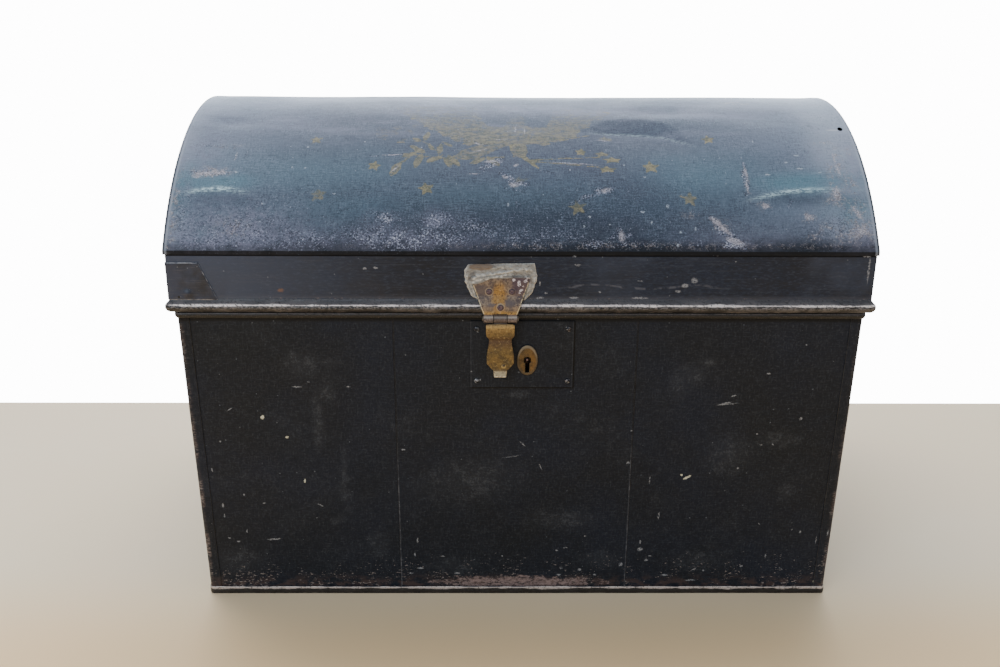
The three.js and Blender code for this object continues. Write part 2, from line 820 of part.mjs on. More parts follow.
// One back hinge, named for the side of the trunk that it is on
function addHinge(index, side, bodyBand, lidBandBack) {
  const x = hingeCentres[index];
  const bodyRivets = hingeBodyRivets[index];
  const lidRivets = hingeLidRivets[index];
  const bodyHoles = holesThrough(bodyRivets, x, -overrun * 2, overrun * 2);
  const lidHoles = holesThrough(lidRivets, x, -overrun, overrun);
  const leafBelow = addPiece(bodyBand, `${side}_hinge_body_leaf`, bodyLeaf(bodyHoles), steelFinish);
  const leafAbove = addPiece(
    lidBandBack,
    `${side}_hinge_lid_leaf`,
    lidLeaf(hingeKnuckles, 1, hingeTopWidth, hingeLidRise, gap, lidHoles),
    steelFinish,
  );
  const pin = addPiece(bodyBand, `${side}_hinge_pin`, hingePin(hingeKnuckles), steelFinish);
  [leafBelow, leafAbove, pin].forEach((piece) => piece.position.setX(x));
  const face = wallHalfDepth(bodyRivets[0][1]) + plateOut - bandHalfDepth;
  const leafFace = face + gap + leafStock;
  addRivets(bodyBand, `${side}_hinge_body_rivet`, bodyRivets, leafFace, face - sheet, steelFinish);
  addRivets(lidBandBack, `${side}_hinge_lid_rivet`, lidRivets, gap + leafStock, -sheet, steelFinish);
}

// Keyhole outline: a round hole with a slot below it
function keyholePath(radius, slotHalf, drop) {
  const path = new THREE.Path();
  const turn = Math.asin(slotHalf / radius);
  const steps = roundSides;
  path.moveTo(keyX - slotHalf, keyZ - drop);
  for (let step = 0; step <= steps; step += 1) {
    const angle = -Math.PI / 2 - turn - (step / steps) * (2 * Math.PI - 2 * turn);
    path.lineTo(keyX + radius * Math.cos(angle), keyZ + radius * Math.sin(angle));
  }
  path.lineTo(keyX + slotHalf, keyZ - drop);
  path.closePath();
  return path;
}

function stapleSlotPath(room) {
  const halfX = stapleWire + slotClearance + room;
  const halfZ = stapleHeight / 2 + stapleWire + slotClearance + room;
  const corners = [[-halfX, -halfZ], [-halfX, halfZ], [halfX, halfZ], [halfX, -halfZ]];
  return new THREE.Path(corners.map(([x, z]) => new THREE.Vector2(stapleX + x, slotZ + z)));
}

function lockOpenings(room) {
  const rivets = lockRivetPlaces.map(([x, z]) => holePath(x, z, rivetShankRadius + gap));
  const keyhole = keyholePath(keyRadius + room, keySlotWidth / 2 + room, keySlotDrop + room);
  return [keyhole, stapleSlotPath(room), ...rivets];
}

function lockPlate() {
  const shape = outline([
    [lockPlateLeft, lockPlateLow],
    [lockPlateRight, lockPlateLow],
    [lockPlateRight, lockPlateHigh],
    [lockPlateLeft, lockPlateHigh],
  ]);
  shape.holes.push(...lockOpenings(gap));
  return slab(shape, lockPlateThickness, plateOut + gap);
}

// Oval brass cover with a rounded edge
function escutcheon() {
  const oval = new THREE.Shape();
  const [halfX, halfZ] = [escutcheonHalfWidth - escutcheonBevel, escutcheonHalfHeight - escutcheonBevel];
  oval.absellipse(keyX, keyZ, halfX, halfZ, 0, 2 * Math.PI);
  const cushion = new THREE.ExtrudeGeometry(oval, {
    depth: escutcheonThickness - escutcheonBevel,
    bevelThickness: escutcheonBevel,
    bevelSize: escutcheonBevel,
    bevelSegments: bevelSteps,
    curveSegments: roundSides,
  });
  const reach = 2 * escutcheonHalfHeight;
  const back = rectangle(keyX - reach, keyX + reach, keyZ - reach, keyZ + reach);
  const keyhole = new THREE.Shape(keyholePath(keyRadius, keySlotWidth / 2, keySlotDrop).getPoints());
  const cover = cut(cushion, slab(back, overrun, -overrun), slab(keyhole, 4 * overrun, -overrun));
  return cover.translate(0, 0, plateOut + lockPlateThickness + 2 * gap);
}

// Lock case: an open box with a flange riveted inside the front, and guides for the bolt
function lockCase() {
  const front = wallInner - gap;
  const back = front - caseDepth;
  const flange = outline([
    [lockPlateLeft, lockPlateLow],
    [lockPlateRight, lockPlateLow],
    [lockPlateRight, lockPlateHigh],
    [lockPlateLeft, lockPlateHigh],
  ]);
  flange.holes.push(...lockRivetPlaces.map(([x, z]) => holePath(x, z, rivetShankRadius + gap)));
  const box = rectangle(caseLeft, caseRight, caseLow, caseHigh);
  const [roomLeft, roomRight] = [caseLeft + caseSheet, caseRight - caseSheet];
  const room = rectangle(roomLeft, roomRight, caseLow + caseSheet, caseHigh - caseSheet);
  const shell = cut(
    join(slab(flange, caseSheet, front - caseSheet), slab(box, caseDepth, back)),
    slab(room, caseDepth, back + caseSheet),
    slab(disc(keyPostRadius + gap, smallSides), caseSheet * 4, back - caseSheet).translate(keyX, keyZ, 0),
  );
  return join(shell, ...boltGuides(front, back));
}

// Ledges above and below the bolt, and the shelf behind it
function boltGuides(front, back) {
  const boltBack = front - gap / 2 - boltThickness - gap;
  const inCase = back + caseSheet / 2;
  const depth = front - inCase;
  const farRight = caseRight - caseSheet / 2;
  const ledgeLeft = farRight - boltTailLength;
  const above = rectangle(ledgeLeft, farRight, boltBodyHigh + gap, boltBodyHigh + gap + guideHeight);
  const below = rectangle(ledgeLeft, farRight, boltBodyLow - gap - guideHeight, boltBodyLow - gap);
  const behind = rectangle(ledgeLeft, farRight, boltBodyLow - gap, boltBodyHigh + gap);
  const underTongue = slotZ - boltHalfHeight - gap;
  const tongueLedge = rectangle(boltTip + gap, boltTip + boltTravel, underTongue - guideHeight, underTongue);
  return [
    slab(above, depth, inCase),
    slab(below, depth, inCase),
    slab(behind, boltBack - inCase, inCase),
    slab(tongueLedge, depth, inCase),
  ];
}

// Bolt: a tongue for the staple and a raised body with the key's notch
function lockBolt() {
  const shoulder = boltTip + boltTravel + stapleWire;
  const right = boltTip + boltLength;
  const notch = keyRadius - stapleWire;
  const shape = outline([
    [boltTip, slotZ - boltHalfHeight],
    [shoulder, slotZ - boltHalfHeight],
    [shoulder, boltBodyLow],
    [keyX - notch, boltBodyLow],
    [keyX - notch, boltBodyLow + boltHalfHeight],
    [keyX + notch, boltBodyLow + boltHalfHeight],
    [keyX + notch, boltBodyLow],
    [right, boltBodyLow],
    [right, boltBodyHigh],
    [shoulder - boltTail, boltBodyHigh],
    [shoulder - boltTail, slotZ + boltHalfHeight],
    [boltTip, slotZ + boltHalfHeight],
  ]);
  return slab(shape, boltThickness, wallInner - gap - gap / 2 - boltThickness);
}

// Leaf spring that presses on the bolt from the roof of the case
function boltSpring() {
  const roof = caseHigh - caseSheet - gap - springThickness / 2;
  const rest = boltBodyHigh + gap + springThickness / 2;
  const left = boltTip + boltTravel;
  const line = [
    [left, roof],
    [left + springRise, roof],
    [left + 2 * springRise, (roof + rest) / 2],
    [left + 3 * springRise, rest],
    [left + 4 * springRise - springThickness, rest + springThickness],
  ];
  return slab(ribbon(line, springThickness), springWidth, wallInner - gap - springWidth);
}

// Post that a hollow key turns on, headed behind the case
function keyPost() {
  const back = wallInner - gap - caseDepth;
  const front = plateOut + gap + lockPlateThickness + escutcheonThickness / 2;
  const profile = [
    [0, back - gap - pinHeadLength],
    [keyPostHeadRadius, back - gap - pinHeadLength],
    [keyPostHeadRadius, back - gap],
    [keyPostRadius, back - gap],
    [keyPostRadius, front - keyPostRadius / 2],
    [keyPostRadius / 2, front],
    [0, front],
  ].map(([radius, along]) => new THREE.Vector2(radius, along));
  return new THREE.LatheGeometry(profile, smallSides).rotateX(Math.PI / 2).translate(keyX, keyZ, 0);
}

// Outline of the hasp's hanging leaf, half of it, from the pin down
function haspOutline() {
  const half = [
    [haspTongueWidth / 2, 0],
    [haspTongueWidth / 2, haspHeadDrop],
    [haspHeadWidth / 2, haspHeadDrop],
    [haspHeadWidth / 2, haspShoulderDrop - haspLipOut],
    [haspNeckWidth / 2, haspShoulderDrop],
    [haspNeckWidth / 2, haspNeckDrop],
    [haspBellyWidth / 2, (haspNeckDrop + haspBellyDrop) / 2 + haspLipOut],
    [haspBellyWidth / 2, haspBellyDrop],
    [(haspBellyWidth + haspTabWidth) / 4, haspCornerDrop],
    [haspTabWidth / 2, haspCornerDrop],
    [haspTabWidth / 2, haspTabDrop],
  ];
  const right = half.map(([x, drop]) => [x, pivotZ - drop]);
  const left = half.map(([x, drop]) => [-x, pivotZ - drop]).reverse();
  return outline([...right, ...left]);
}

// Hanging leaf of the hasp: rolled head, flat belly and a lip for the finger
function haspLeaf() {
  const bulge = pivotOut + haspThickness;
  const line = [
    [pivotZ, pivotOut],
    [pivotZ - knuckleRadius, pivotOut],
    [pivotZ - haspHeadDrop - haspThickness, bulge],
    [pivotZ - haspShoulderDrop + haspThickness, bulge],
    [pivotZ - haspShoulderDrop - haspThickness, pivotOut],
    [pivotZ - haspCornerDrop, pivotOut],
    [pivotZ - haspTabDrop - haspThickness, pivotOut + haspLipOut],
  ];
  const strip = alongX(ribbon(line, haspThickness), -haspHeadWidth, haspHeadWidth);
  const leaf = common(strip, slab(haspOutline(), 4 * knuckleRadius, -knuckleRadius));
  const hole = slab(disc(stapleWire + gap, smallSides), 2 * overrun, 0);
  hole.translate(stapleX - haspX, pivotZ - stapleDrop, 0);
  return cut(withKnuckles(leaf, haspKnuckles, 1), hole);
}

// Points of a centre line in the X-Y plane, with its bends rounded
function roundedLine(corners, radii) {
  const points = [corners[0]];
  for (let index = 1; index < corners.length - 1; index += 1) {
    const [before, corner, after] = [corners[index - 1], corners[index], corners[index + 1]];
    const radius = radii[index - 1];
    const into = corner.clone().sub(before).normalize();
    const away = after.clone().sub(corner).normalize();
    const start = corner.clone().addScaledVector(into, -radius);
    const end = corner.clone().addScaledVector(away, radius);
    const bend = new THREE.QuadraticBezierCurve(start, corner, end);
    points.push(...bend.getPoints(cornerSteps));
  }
  points.push(corners.at(-1));
  return points;
}

// Round rod along a flat centre line in the X-Y plane
function rodAlong(points, radius, sides) {
  const rings = points.map((point, index) => {
    const before = points[Math.max(index - 1, 0)];
    const after = points[Math.min(index + 1, points.length - 1)];
    const tangent = after.clone().sub(before).normalize();
    const ring = [];
    for (let side = 0; side < sides; side += 1) {
      const angle = (2 * Math.PI * (side + 0.5)) / sides;
      const across = radius * Math.cos(angle);
      const x = point.x - tangent.y * across;
      const y = point.y + tangent.x * across;
      ring.push(new THREE.Vector3(x, y, radius * Math.sin(angle)));
    }
    return ring;
  });
  return skin(rings, false);
}

// Staple on the back of the hasp: two legs and a bar, with a riveted stem through the leaf
function staple() {
  const near = pivotOut - haspThickness / 2 - gap;
  const far = near + gap - stapleReach + stapleWire;
  const half = stapleHeight / 2;
  const places = [[near, half], [far, half], [far, -half], [near, -half]];
  const corners = places.map(([a, b]) => new THREE.Vector2(a, b));
  const loop = rodAlong(roundedLine(corners, [2 * stapleWire, 2 * stapleWire]), stapleWire, smallSides);
  const turned = new THREE.Matrix4().makeBasis(
    new THREE.Vector3(0, 0, 1),
    new THREE.Vector3(0, 1, 0),
    new THREE.Vector3(-1, 0, 0),
  );
  loop.applyMatrix4(turned);
  const footHalf = half + 2 * stapleWire;
  const foot = rectangle(-2 * stapleWire, 2 * stapleWire, -footHalf, footHalf);
  const plate = slab(foot, stapleWire, near - stapleWire);
  const stem = [
    [0, near - stapleWire / 2],
    [stapleWire, near - stapleWire / 2],
    [stapleWire, near + 2 * gap + haspThickness],
    [stapleRivetRadius, near + 2 * gap + haspThickness],
    [stapleRivetRadius / 2, near + 2 * gap + haspThickness + stapleRivetHeight],
    [0, near + 2 * gap + haspThickness + stapleRivetHeight],
  ].map(([radius, along]) => new THREE.Vector2(radius, along));
  const rivet = new THREE.LatheGeometry(stem, smallSides).rotateX(Math.PI / 2);
  return join(loop, plate, rivet).translate(stapleX - haspX, pivotZ - stapleDrop, 0);
}

// Solder patch round the hasp's upper leaf
function solderPatch() {
  const height = solderHeightShare * bandClearHeight;
  const shape = outline(solderShares.map(([across, up]) =>
    [haspX + across * solderWidth, bandClearLow + up * height]));
  const holes = holesThrough(haspRivetPlaces.slice(0, 2), 0, -overrun, overrun);
  return cut(slab(shape, patchThickness, gap), ...holes);
}

// Repair patch wrapped round the front left corner of the lid
function repairPatch() {
  const left = -bandHalfWidth - gap - repairThickness;
  const high = bandClearLow + repairHeightShare * bandClearHeight;
  const corner = gap + repairThickness;
  const front = outline([
    [left, bandClearLow],
    [left + repairWidth, bandClearLow],
    [left + repairWidth * repairTopShare, high],
    [left, high],
  ]);
  const side = outline([
    [-repairWrap, bandClearLow],
    [corner, bandClearLow],
    [corner, high],
    [-repairWrap * repairWrapShare, high],
  ]);
  const turned = new THREE.Matrix4().makeBasis(
    new THREE.Vector3(0, 0, 1),
    new THREE.Vector3(0, 1, 0),
    new THREE.Vector3(-1, 0, 0),
  );
  const sideSlab = slab(side, repairThickness).applyMatrix4(turned).translate(left + repairThickness, 0, 0);
  return join(slab(front, repairThickness, gap), sideSlab);
}

// Handle plate with two rolled eyes and four rivet heads
function handlePlate() {
  const radius = handlePlateHalfHeight - handleRod;
  const shape = new THREE.Shape();
  const [halfX, halfY] = [handlePlateHalfWidth, handlePlateHalfHeight];
  [[1, 1], [-1, 1], [-1, -1], [1, -1]].forEach(([signX, signY], corner) => {
    const start = (corner * Math.PI) / 2;
    shape.absarc(signX * (halfX - radius), signY * (halfY - radius), radius, start, start + Math.PI / 2);
  });
  const settings = { depth: handlePlateThickness, bevelEnabled: false, curveSegments: cornerSteps };
  const plate = new THREE.ExtrudeGeometry(shape, settings).translate(0, 0, gap);
  const front = gap + handlePlateThickness;
  const pieces = [plate];
  const bores = [];
  [-handleHalfSpan, handleHalfSpan].forEach((x) => {
    const [from, to] = [x - eyeLength / 2, x + eyeLength / 2];
    pieces.push(rodAlongX(eyeOuter, from, to, 0, handlePivotOut));
    pieces.push(alongX(rectangle(-eyeBore, eyeBore, front - gap, handlePivotOut - handleRod), from, to));
    bores.push(rodAlongX(eyeBore, from - overrun, to + overrun, 0, handlePivotOut));
  });
  [-handleRivetSpread, handleRivetSpread].forEach((x) => {
    [-1, 1].forEach((side) => {
      const head = new THREE.SphereGeometry(rivetHeadRadius, smallSides, smallSides);
      head.scale(1, 1, rivetHeadHeight / rivetHeadRadius);
      pieces.push(head.translate(x, (side * handlePlateHalfHeight) / 2, front));
    });
  });
  return cut(join(...pieces), ...bores);
}

// Wire bail with its ends turned out through the eyes
function handleBail() {
  const endX = handleHalfSpan + eyeLength / 2 + handleRod;
  const legX = handleHalfSpan - eyeLength / 2 - 2 * handleRod;
  const corners = [[-endX, 0], [-legX, 0], [-legX, -handleDrop], [legX, -handleDrop], [legX, 0], [endX, 0]];
  const radii = [handleRod * 1.5, handleBend, handleBend, handleRod * 1.5];
  const line = roundedLine(corners.map(([x, y]) => new THREE.Vector2(x, y)), radii);
  return rodAlong(line, handleRod, smallSides);
}

function addHandle(side, turn) {
  const wall = wallFrame(body, turn, footHalfWidth);
  const plate = addPiece(wall, `${side}_handle_plate`, handlePlate(), steelFinish);
  plate.position.set(0, handleZ, 0);
  const turned = new THREE.Group();
  turned.rotation.z = turn;
  body.add(turned);
  const pivotUp = handleZ * Math.cos(wallTilt) - handlePivotOut * Math.sin(wallTilt);
  const pivotAway = footHalfWidth + handleZ * Math.sin(wallTilt) + handlePivotOut * Math.cos(wallTilt);
  const bail = addPiece(turned, `${side}_handle_bail`, handleBail(), steelFinish);
  bail.rotation.x = Math.PI / 2;
  bail.position.set(0, -pivotAway, pivotUp);
}

const trunk = new THREE.Group();
const body = new THREE.Group();
const lid = new THREE.Group();
trunk.add(body, lid);

// Body shell
const frontWall = wallFrame(body, 0, footHalfDepth);
const backWall = wallFrame(body, Math.PI, footHalfDepth);
const frontNames = ['front_left_plate', 'front_centre_plate', 'front_right_plate'];
const backNames = ['back_right_plate', 'back_centre_plate', 'back_left_plate'];
const shankRoom = rivetShankRadius + 2 * gap;
const backHoles = hingeBodyRivets.map((places) => places.map(([x, z]) => holePath(x, z, shankRoom)));
addLongSide(frontWall, frontNames, lockOpenings(2 * gap), [[], []]);
addLongSide(backWall, backNames, [], backHoles);
addPiece(body, 'left_end_plate', endPlate(-1), blackPaint);
addPiece(body, 'right_end_plate', endPlate(1), blackPaint);
addPiece(body, 'left_bottom_plate', bottomPlate(-1), blackPaint);
addPiece(body, 'right_bottom_plate', bottomPlate(1), blackPaint);
addPiece(body, 'foot_rim', footRim(), wornPaint);
addPiece(body, 'stop_bead', stopBead(), wornPaint);

// Lock on the front
addPiece(frontWall, 'lock_plate', lockPlate(), blackPaint);
addPiece(frontWall, 'keyhole_escutcheon', escutcheon(), brassFinish);
addPiece(frontWall, 'lock_case', lockCase(), steelFinish);
addPiece(frontWall, 'lock_bolt', lockBolt(), brassFinish);
addPiece(frontWall, 'bolt_spring', boltSpring(), steelFinish);
addPiece(frontWall, 'key_post', keyPost(), steelFinish);
const lockStack = plateOut + gap + lockPlateThickness;
addRivets(frontWall, 'lock_plate_rivet', lockRivetPlaces, lockStack, wallInner - gap - caseSheet, blackPaint);

// Lid shell
const lidFront = bandFrame(lid, 0);
const lidBack = bandFrame(lid, Math.PI);
const haspHoles = haspRivetPlaces.map(([x, z]) => holePath(x, z, rivetShankRadius + gap));
const hingeHoles = hingeLidRivets.flat().map(([x, z]) => holePath(x, z, rivetShankRadius + gap));
addPiece(lid, 'dome_sheet', domeSheet(), navyPaint);
addPiece(lid, 'left_lid_end', lidEnd(-1), blackPaint);
addPiece(lid, 'right_lid_end', lidEnd(1), blackPaint);
addPiece(lidFront, 'lid_front_band', lidBand(haspHoles), blackPaint);
addPiece(lidBack, 'lid_back_band', lidBand(hingeHoles), blackPaint);
const beadHole = rodAlongX(rivetShankRadius + gap, 0, 4 * overrun, 0, 0, smallSides).rotateZ(-Math.PI / 2);
beadHole.translate(haspRivetPlaces[2][0], -bandHalfDepth + overrun, haspRivetPlaces[2][1]);
addPiece(lid, 'front_rim_bead', cut(longRimBead(), beadHole), wornPaint);
addPiece(lid, 'back_rim_bead', longRimBead(), wornPaint).rotation.z = Math.PI;
addPiece(lid, 'left_rim_bead', sideRimBead(-1), wornPaint);
addPiece(lid, 'right_rim_bead', sideRimBead(1), wornPaint);
addPiece(lidFront, 'corner_repair_patch', repairPatch(), blackPaint);
addPiece(lidFront, 'hasp_solder_patch', solderPatch(), solderFinish);

// Hasp
const haspSeat = 2 * gap + patchThickness;
const haspLeafHoles = holesThrough(haspRivetPlaces, haspX, -overrun, 4 * overrun);
const haspUpper = lidLeaf(haspKnuckles, 0, haspTopWidth, haspLidRise, haspSeat, haspLeafHoles);
addPiece(lidFront, 'hasp_upper_leaf', haspUpper, brassFinish).position.x = haspX;
addPiece(lidFront, 'hasp_pin', hingePin(haspKnuckles), steelFinish).position.x = haspX;
addPiece(lidFront, 'hasp_lower_leaf', haspLeaf(), brassFinish).position.x = haspX;
addPiece(lidFront, 'hasp_staple', staple(), steelFinish).position.x = haspX;
addRivets(lidFront, 'hasp_rivet', haspRivetPlaces.slice(0, 2), haspSeat + leafStock, -sheet, steelFinish);
const lowRivet = rivetSolid(leafOut + leafStock / 2 + gap, -sheet - gap);
const [lowRivetX, lowRivetZ] = haspRivetPlaces[2];
addPiece(lidFront, 'hasp_rivet_3', lowRivet, steelFinish).position.set(lowRivetX, lowRivetZ, 0);

// Hinges on the back: seen from behind, the trunk's right is on the left
const bodyBack = bandFrame(body, Math.PI);
addHinge(0, 'right', bodyBack, lidBack);
addHinge(1, 'left', bodyBack, lidBack);

// Handles on the ends
addHandle('right', Math.PI / 2);
addHandle('left', -Math.PI / 2);

export default trunk;
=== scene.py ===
"""Looks of a painted tin trunk with a domed lid: worn paint, dents, faded gilding, brass hasp and lock.

Metres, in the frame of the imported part: X to the right, Y to the back, Z up, the trunk's front faces -Y.
"""
import json
from math import asin, atan, atan2, ceil, cos, exp, hypot, pi, radians, sin, sqrt

import bmesh
import bpy
import numpy as np
from mathutils import Matrix, Vector, noise


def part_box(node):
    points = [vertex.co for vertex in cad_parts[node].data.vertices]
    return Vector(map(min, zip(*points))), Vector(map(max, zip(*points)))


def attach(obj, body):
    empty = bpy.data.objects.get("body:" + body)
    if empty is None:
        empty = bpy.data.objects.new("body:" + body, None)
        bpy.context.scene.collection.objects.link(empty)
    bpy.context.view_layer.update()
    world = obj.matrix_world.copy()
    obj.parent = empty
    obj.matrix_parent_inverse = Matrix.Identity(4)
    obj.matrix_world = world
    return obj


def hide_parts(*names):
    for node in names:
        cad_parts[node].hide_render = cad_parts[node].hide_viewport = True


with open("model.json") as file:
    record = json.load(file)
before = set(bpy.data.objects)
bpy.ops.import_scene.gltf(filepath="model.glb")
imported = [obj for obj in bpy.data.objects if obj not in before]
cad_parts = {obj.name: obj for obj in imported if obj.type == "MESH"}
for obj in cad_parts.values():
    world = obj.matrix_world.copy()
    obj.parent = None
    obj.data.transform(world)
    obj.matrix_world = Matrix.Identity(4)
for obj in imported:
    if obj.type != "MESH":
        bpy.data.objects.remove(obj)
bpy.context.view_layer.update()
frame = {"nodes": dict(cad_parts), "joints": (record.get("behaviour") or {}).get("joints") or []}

MM = 0.001

# The photograph's camera
PICTURE_WIDTH = 1000
PICTURE_HEIGHT = 667
FOCAL_PIXELS = 1060
SENSOR = 36
CAMERA_PLACE = Vector((-0.0292, -1.2288, 0.6661))
CAMERA_YAW = radians(0.470)
CAMERA_PITCH = radians(19.661)
CAMERA_ROLL = radians(0.246)

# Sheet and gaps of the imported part
SHEET = 0.8 * MM
GAP = 0.3 * MM

# Sizes taken from the frame
dome_low, dome_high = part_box("dome_sheet")
band_low, band_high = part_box("lid_front_band")
foot_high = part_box("foot_rim")[1]
stop_low, stop_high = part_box("stop_bead")
bead_low, bead_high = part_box("front_rim_bead")

DOME_SKIRT = 4 * MM
DOME_HALF_WIDTH = dome_high.x
DOME_HALF_DEPTH = dome_high.y
DOME_SPRING = dome_low.z + DOME_SKIRT
DOME_RISE = dome_high.z - DOME_SPRING
DOME_RADIUS = (DOME_HALF_DEPTH**2 + DOME_RISE**2) / (2 * DOME_RISE)
DOME_CENTRE = dome_high.z - DOME_RADIUS
DOME_REACH = DOME_RADIUS * asin(DOME_HALF_DEPTH / DOME_RADIUS)
LID_LOW = band_low.z
BAND_HALF_WIDTH = band_high.x
BAND_HALF_DEPTH = -band_low.y
BODY_HEIGHT = stop_low.z
WALL_FOOT_HALF_WIDTH = 339 * MM
WALL_FOOT_HALF_DEPTH = 219 * MM
WALL_TOP_LEAN = 5 * MM
WALL_SLOPE = WALL_TOP_LEAN / BODY_HEIGHT
FOOT_HALF_WIDTH = foot_high.x
FOOT_HALF_DEPTH = foot_high.y


def new_object(name, data):
    made = bpy.data.objects.new(name, data)
    bpy.context.scene.collection.objects.link(made)
    return made


def shifted(x, y, z):
    return Matrix.Translation((x, y, z))


def joint_place(name):
    """A point on a joint's axis."""
    return next(joint for joint in frame["joints"] if joint["name"] == name)["pos_m"]


# Camera

def camera_axes():
    """Right, up and forward of the photograph's camera."""
    forward = Vector((
        sin(CAMERA_YAW) * cos(CAMERA_PITCH),
        cos(CAMERA_YAW) * cos(CAMERA_PITCH),
        -sin(CAMERA_PITCH),
    ))
    level = Vector((cos(CAMERA_YAW), -sin(CAMERA_YAW), 0))
    steep = level.cross(forward)
    right = cos(CAMERA_ROLL) * level + sin(CAMERA_ROLL) * steep
    up = -sin(CAMERA_ROLL) * level + cos(CAMERA_ROLL) * steep
    return right, up, forward


RIGHT, UP, FORWARD = camera_axes()


def make_camera():
    camera = new_object("camera", bpy.data.cameras.new("camera"))
    camera.data.sensor_width = SENSOR
    camera.data.lens = SENSOR * FOCAL_PIXELS / PICTURE_WIDTH
    turned = Matrix((RIGHT, UP, -FORWARD)).transposed().to_4x4()
    camera.matrix_world = shifted(*CAMERA_PLACE) @ turned
    bpy.context.scene.camera = camera


def sight(u, v):
    """Direction from the camera through a pixel of the photograph."""
    across = (u - PICTURE_WIDTH / 2) / FOCAL_PIXELS
    down = (v - PICTURE_HEIGHT / 2) / FOCAL_PIXELS
    return FORWARD + across * RIGHT - down * UP


def on_dome(u, v):
    """A pixel's place on the dome: along X, and along the arc from the crown, negative in front."""
    ray = sight(u, v)
    start_y, start_z = CAMERA_PLACE.y, CAMERA_PLACE.z - DOME_CENTRE
    a = ray.y**2 + ray.z**2
    b = start_y * ray.y + start_z * ray.z
    c = start_y**2 + start_z**2 - DOME_RADIUS**2
    reach = (-b - sqrt(max(b * b - a * c, 0))) / a
    hit = CAMERA_PLACE + reach * ray
    return hit.x, DOME_RADIUS * atan2(hit.y, hit.z - DOME_CENTRE)


def on_front(u, v):
    """A pixel's place on the upright face of the lid's front band: along X, and up."""
    ray = sight(u, v)
    hit = CAMERA_PLACE + (-BAND_HALF_DEPTH - CAMERA_PLACE.y) / ray.y * ray
    return hit.x, hit.z


# Stage: floor, sky and lamps

FLOOR_SIZE = 6.0
FLOOR_EDGE = 0.31
SKY_STRENGTH = 14
SKY_STEEPNESS = 7.2
SKY_FRONT = 0.58
SKY_BACK = 5.7


def flat_quad(name, low, high, height, material):
    mesh = bpy.data.meshes.new(name)
    corners = [(low[0], low[1]), (high[0], low[1]), (high[0], high[1]), (low[0], high[1])]
    mesh.from_pydata([(x, y, height) for x, y in corners], [], [(0, 1, 2, 3)])
    mesh.materials.append(material)
    new_object(name, mesh)


def lamp(name, place, aim, size, power, colour=(1, 1, 1), gloss=True):
    data = bpy.data.lights.new(name, "AREA")
    data.shape = "RECTANGLE"
    data.size, data.size_y = size
    data.energy = power
    data.color = colour
    made = new_object(name, data)
    made.location = place
    made.visible_glossy = gloss
    made.rotation_mode = "QUATERNION"
    made.rotation_quaternion = (Vector(aim) - Vector(place)).to_track_quat("-Z", "Y")


class Wire:
    """A value in a node tree: its sums, products and methods make nodes. Sizes are in metres."""

    def __init__(self, net, socket):
        self.net = net
        self.socket = socket

    def __add__(self, other):
        return self.net.math("ADD", self, other)

    def __radd__(self, other):
        return self.net.math("ADD", other, self)

    def __sub__(self, other):
        return self.net.math("SUBTRACT", self, other)

    def __rsub__(self, other):
        return self.net.math("SUBTRACT", other, self)

    def __mul__(self, other):
        return self.net.math("MULTIPLY", self, other)

    def __truediv__(self, other):
        return self.net.math("DIVIDE", self, other)

    def __abs__(self):
        return self.net.math("ABSOLUTE", self)

    def rise(self, low, high, start=0.0, end=1.0, kind="SMOOTHSTEP"):
        """Goes from start to end while this value goes from low to high."""
        inputs = {"Value": self, "From Min": low, "From Max": high, "To Min": start, "To Max": end}
        return self.net.made("ShaderNodeMapRange", inputs, interpolation_type=kind)

    def mix(self, share, other):
        return self.net.mix(share, self, other)

    def coat(self, share, red, green, blue):
        """This colour under a share of a screen colour."""
        return self.mix(share, colour(red, green, blue))

    def blend(self, first, second):
        """From one screen colour to another as this value goes from 0 to 1."""
        return self.net.mix(self, colour(*first), colour(*second))

    def split(self):
        return [Wire(self.net, part) for part in self.net.node("ShaderNodeSeparateXYZ", {0: self}).outputs]

    def noise(self, size, detail=4, rough=0.55, stretch=None, shift=0.0):
        at = self
        if stretch or shift:
            inputs = {0: at, 1: (shift, shift, shift), 3: stretch or (1, 1, 1)}
            at = self.net.made("ShaderNodeMapping", inputs)
        inputs = {"Vector": at, "Scale": 1 / size, "Detail": detail, "Roughness": rough}
        return self.net.made("ShaderNodeTexNoise", inputs)

    def shaken(self, size, reach):
        """Coordinates pushed about by a noise, so that what is drawn with them has ragged edges."""
        inputs = {"Vector": self, "Scale": 1 / size, "Detail": 3}
        push = self.net.made("ShaderNodeTexNoise", inputs, 1)
        for operation, value in (("SUBTRACT", 0.5), ("MULTIPLY", reach)):
            push = self.net.vector(operation, push, (value, value, value))
        return self.net.vector("ADD", self, push)

    def spots(self, size, radius, share):
        """Scattered spots: one in each cell of a size, in a share of the cells, up to a radius in cells."""
        inputs = {"Vector": self, "Scale": 1 / size}
        cells = self.net.node("ShaderNodeTexVoronoi", inputs, voronoi_dimensions="2D").outputs
        split = self.net.node("ShaderNodeSeparateColor", {0: cells["Color"]}).outputs
        own = Wire(self.net, split[1]) * radius
        near = self.net.math("LESS_THAN", cells["Distance"], own)
        return near * self.net.math("LESS_THAN", split[0], share)

    def ellipse(self, centre, half, turn=0.0):
        """Distance from a flat ellipse's centre, 1 at its edge, for wall or sheet coordinates."""
        inputs = {0: self, 1: (*centre, 0), 2: (0, 0, turn), 3: (*half, 1)}
        flat = self.net.made("ShaderNodeMapping", inputs, vector_type="TEXTURE")
        return self.net.made("ShaderNodeVectorMath", {0: flat}, "Value", operation="LENGTH")


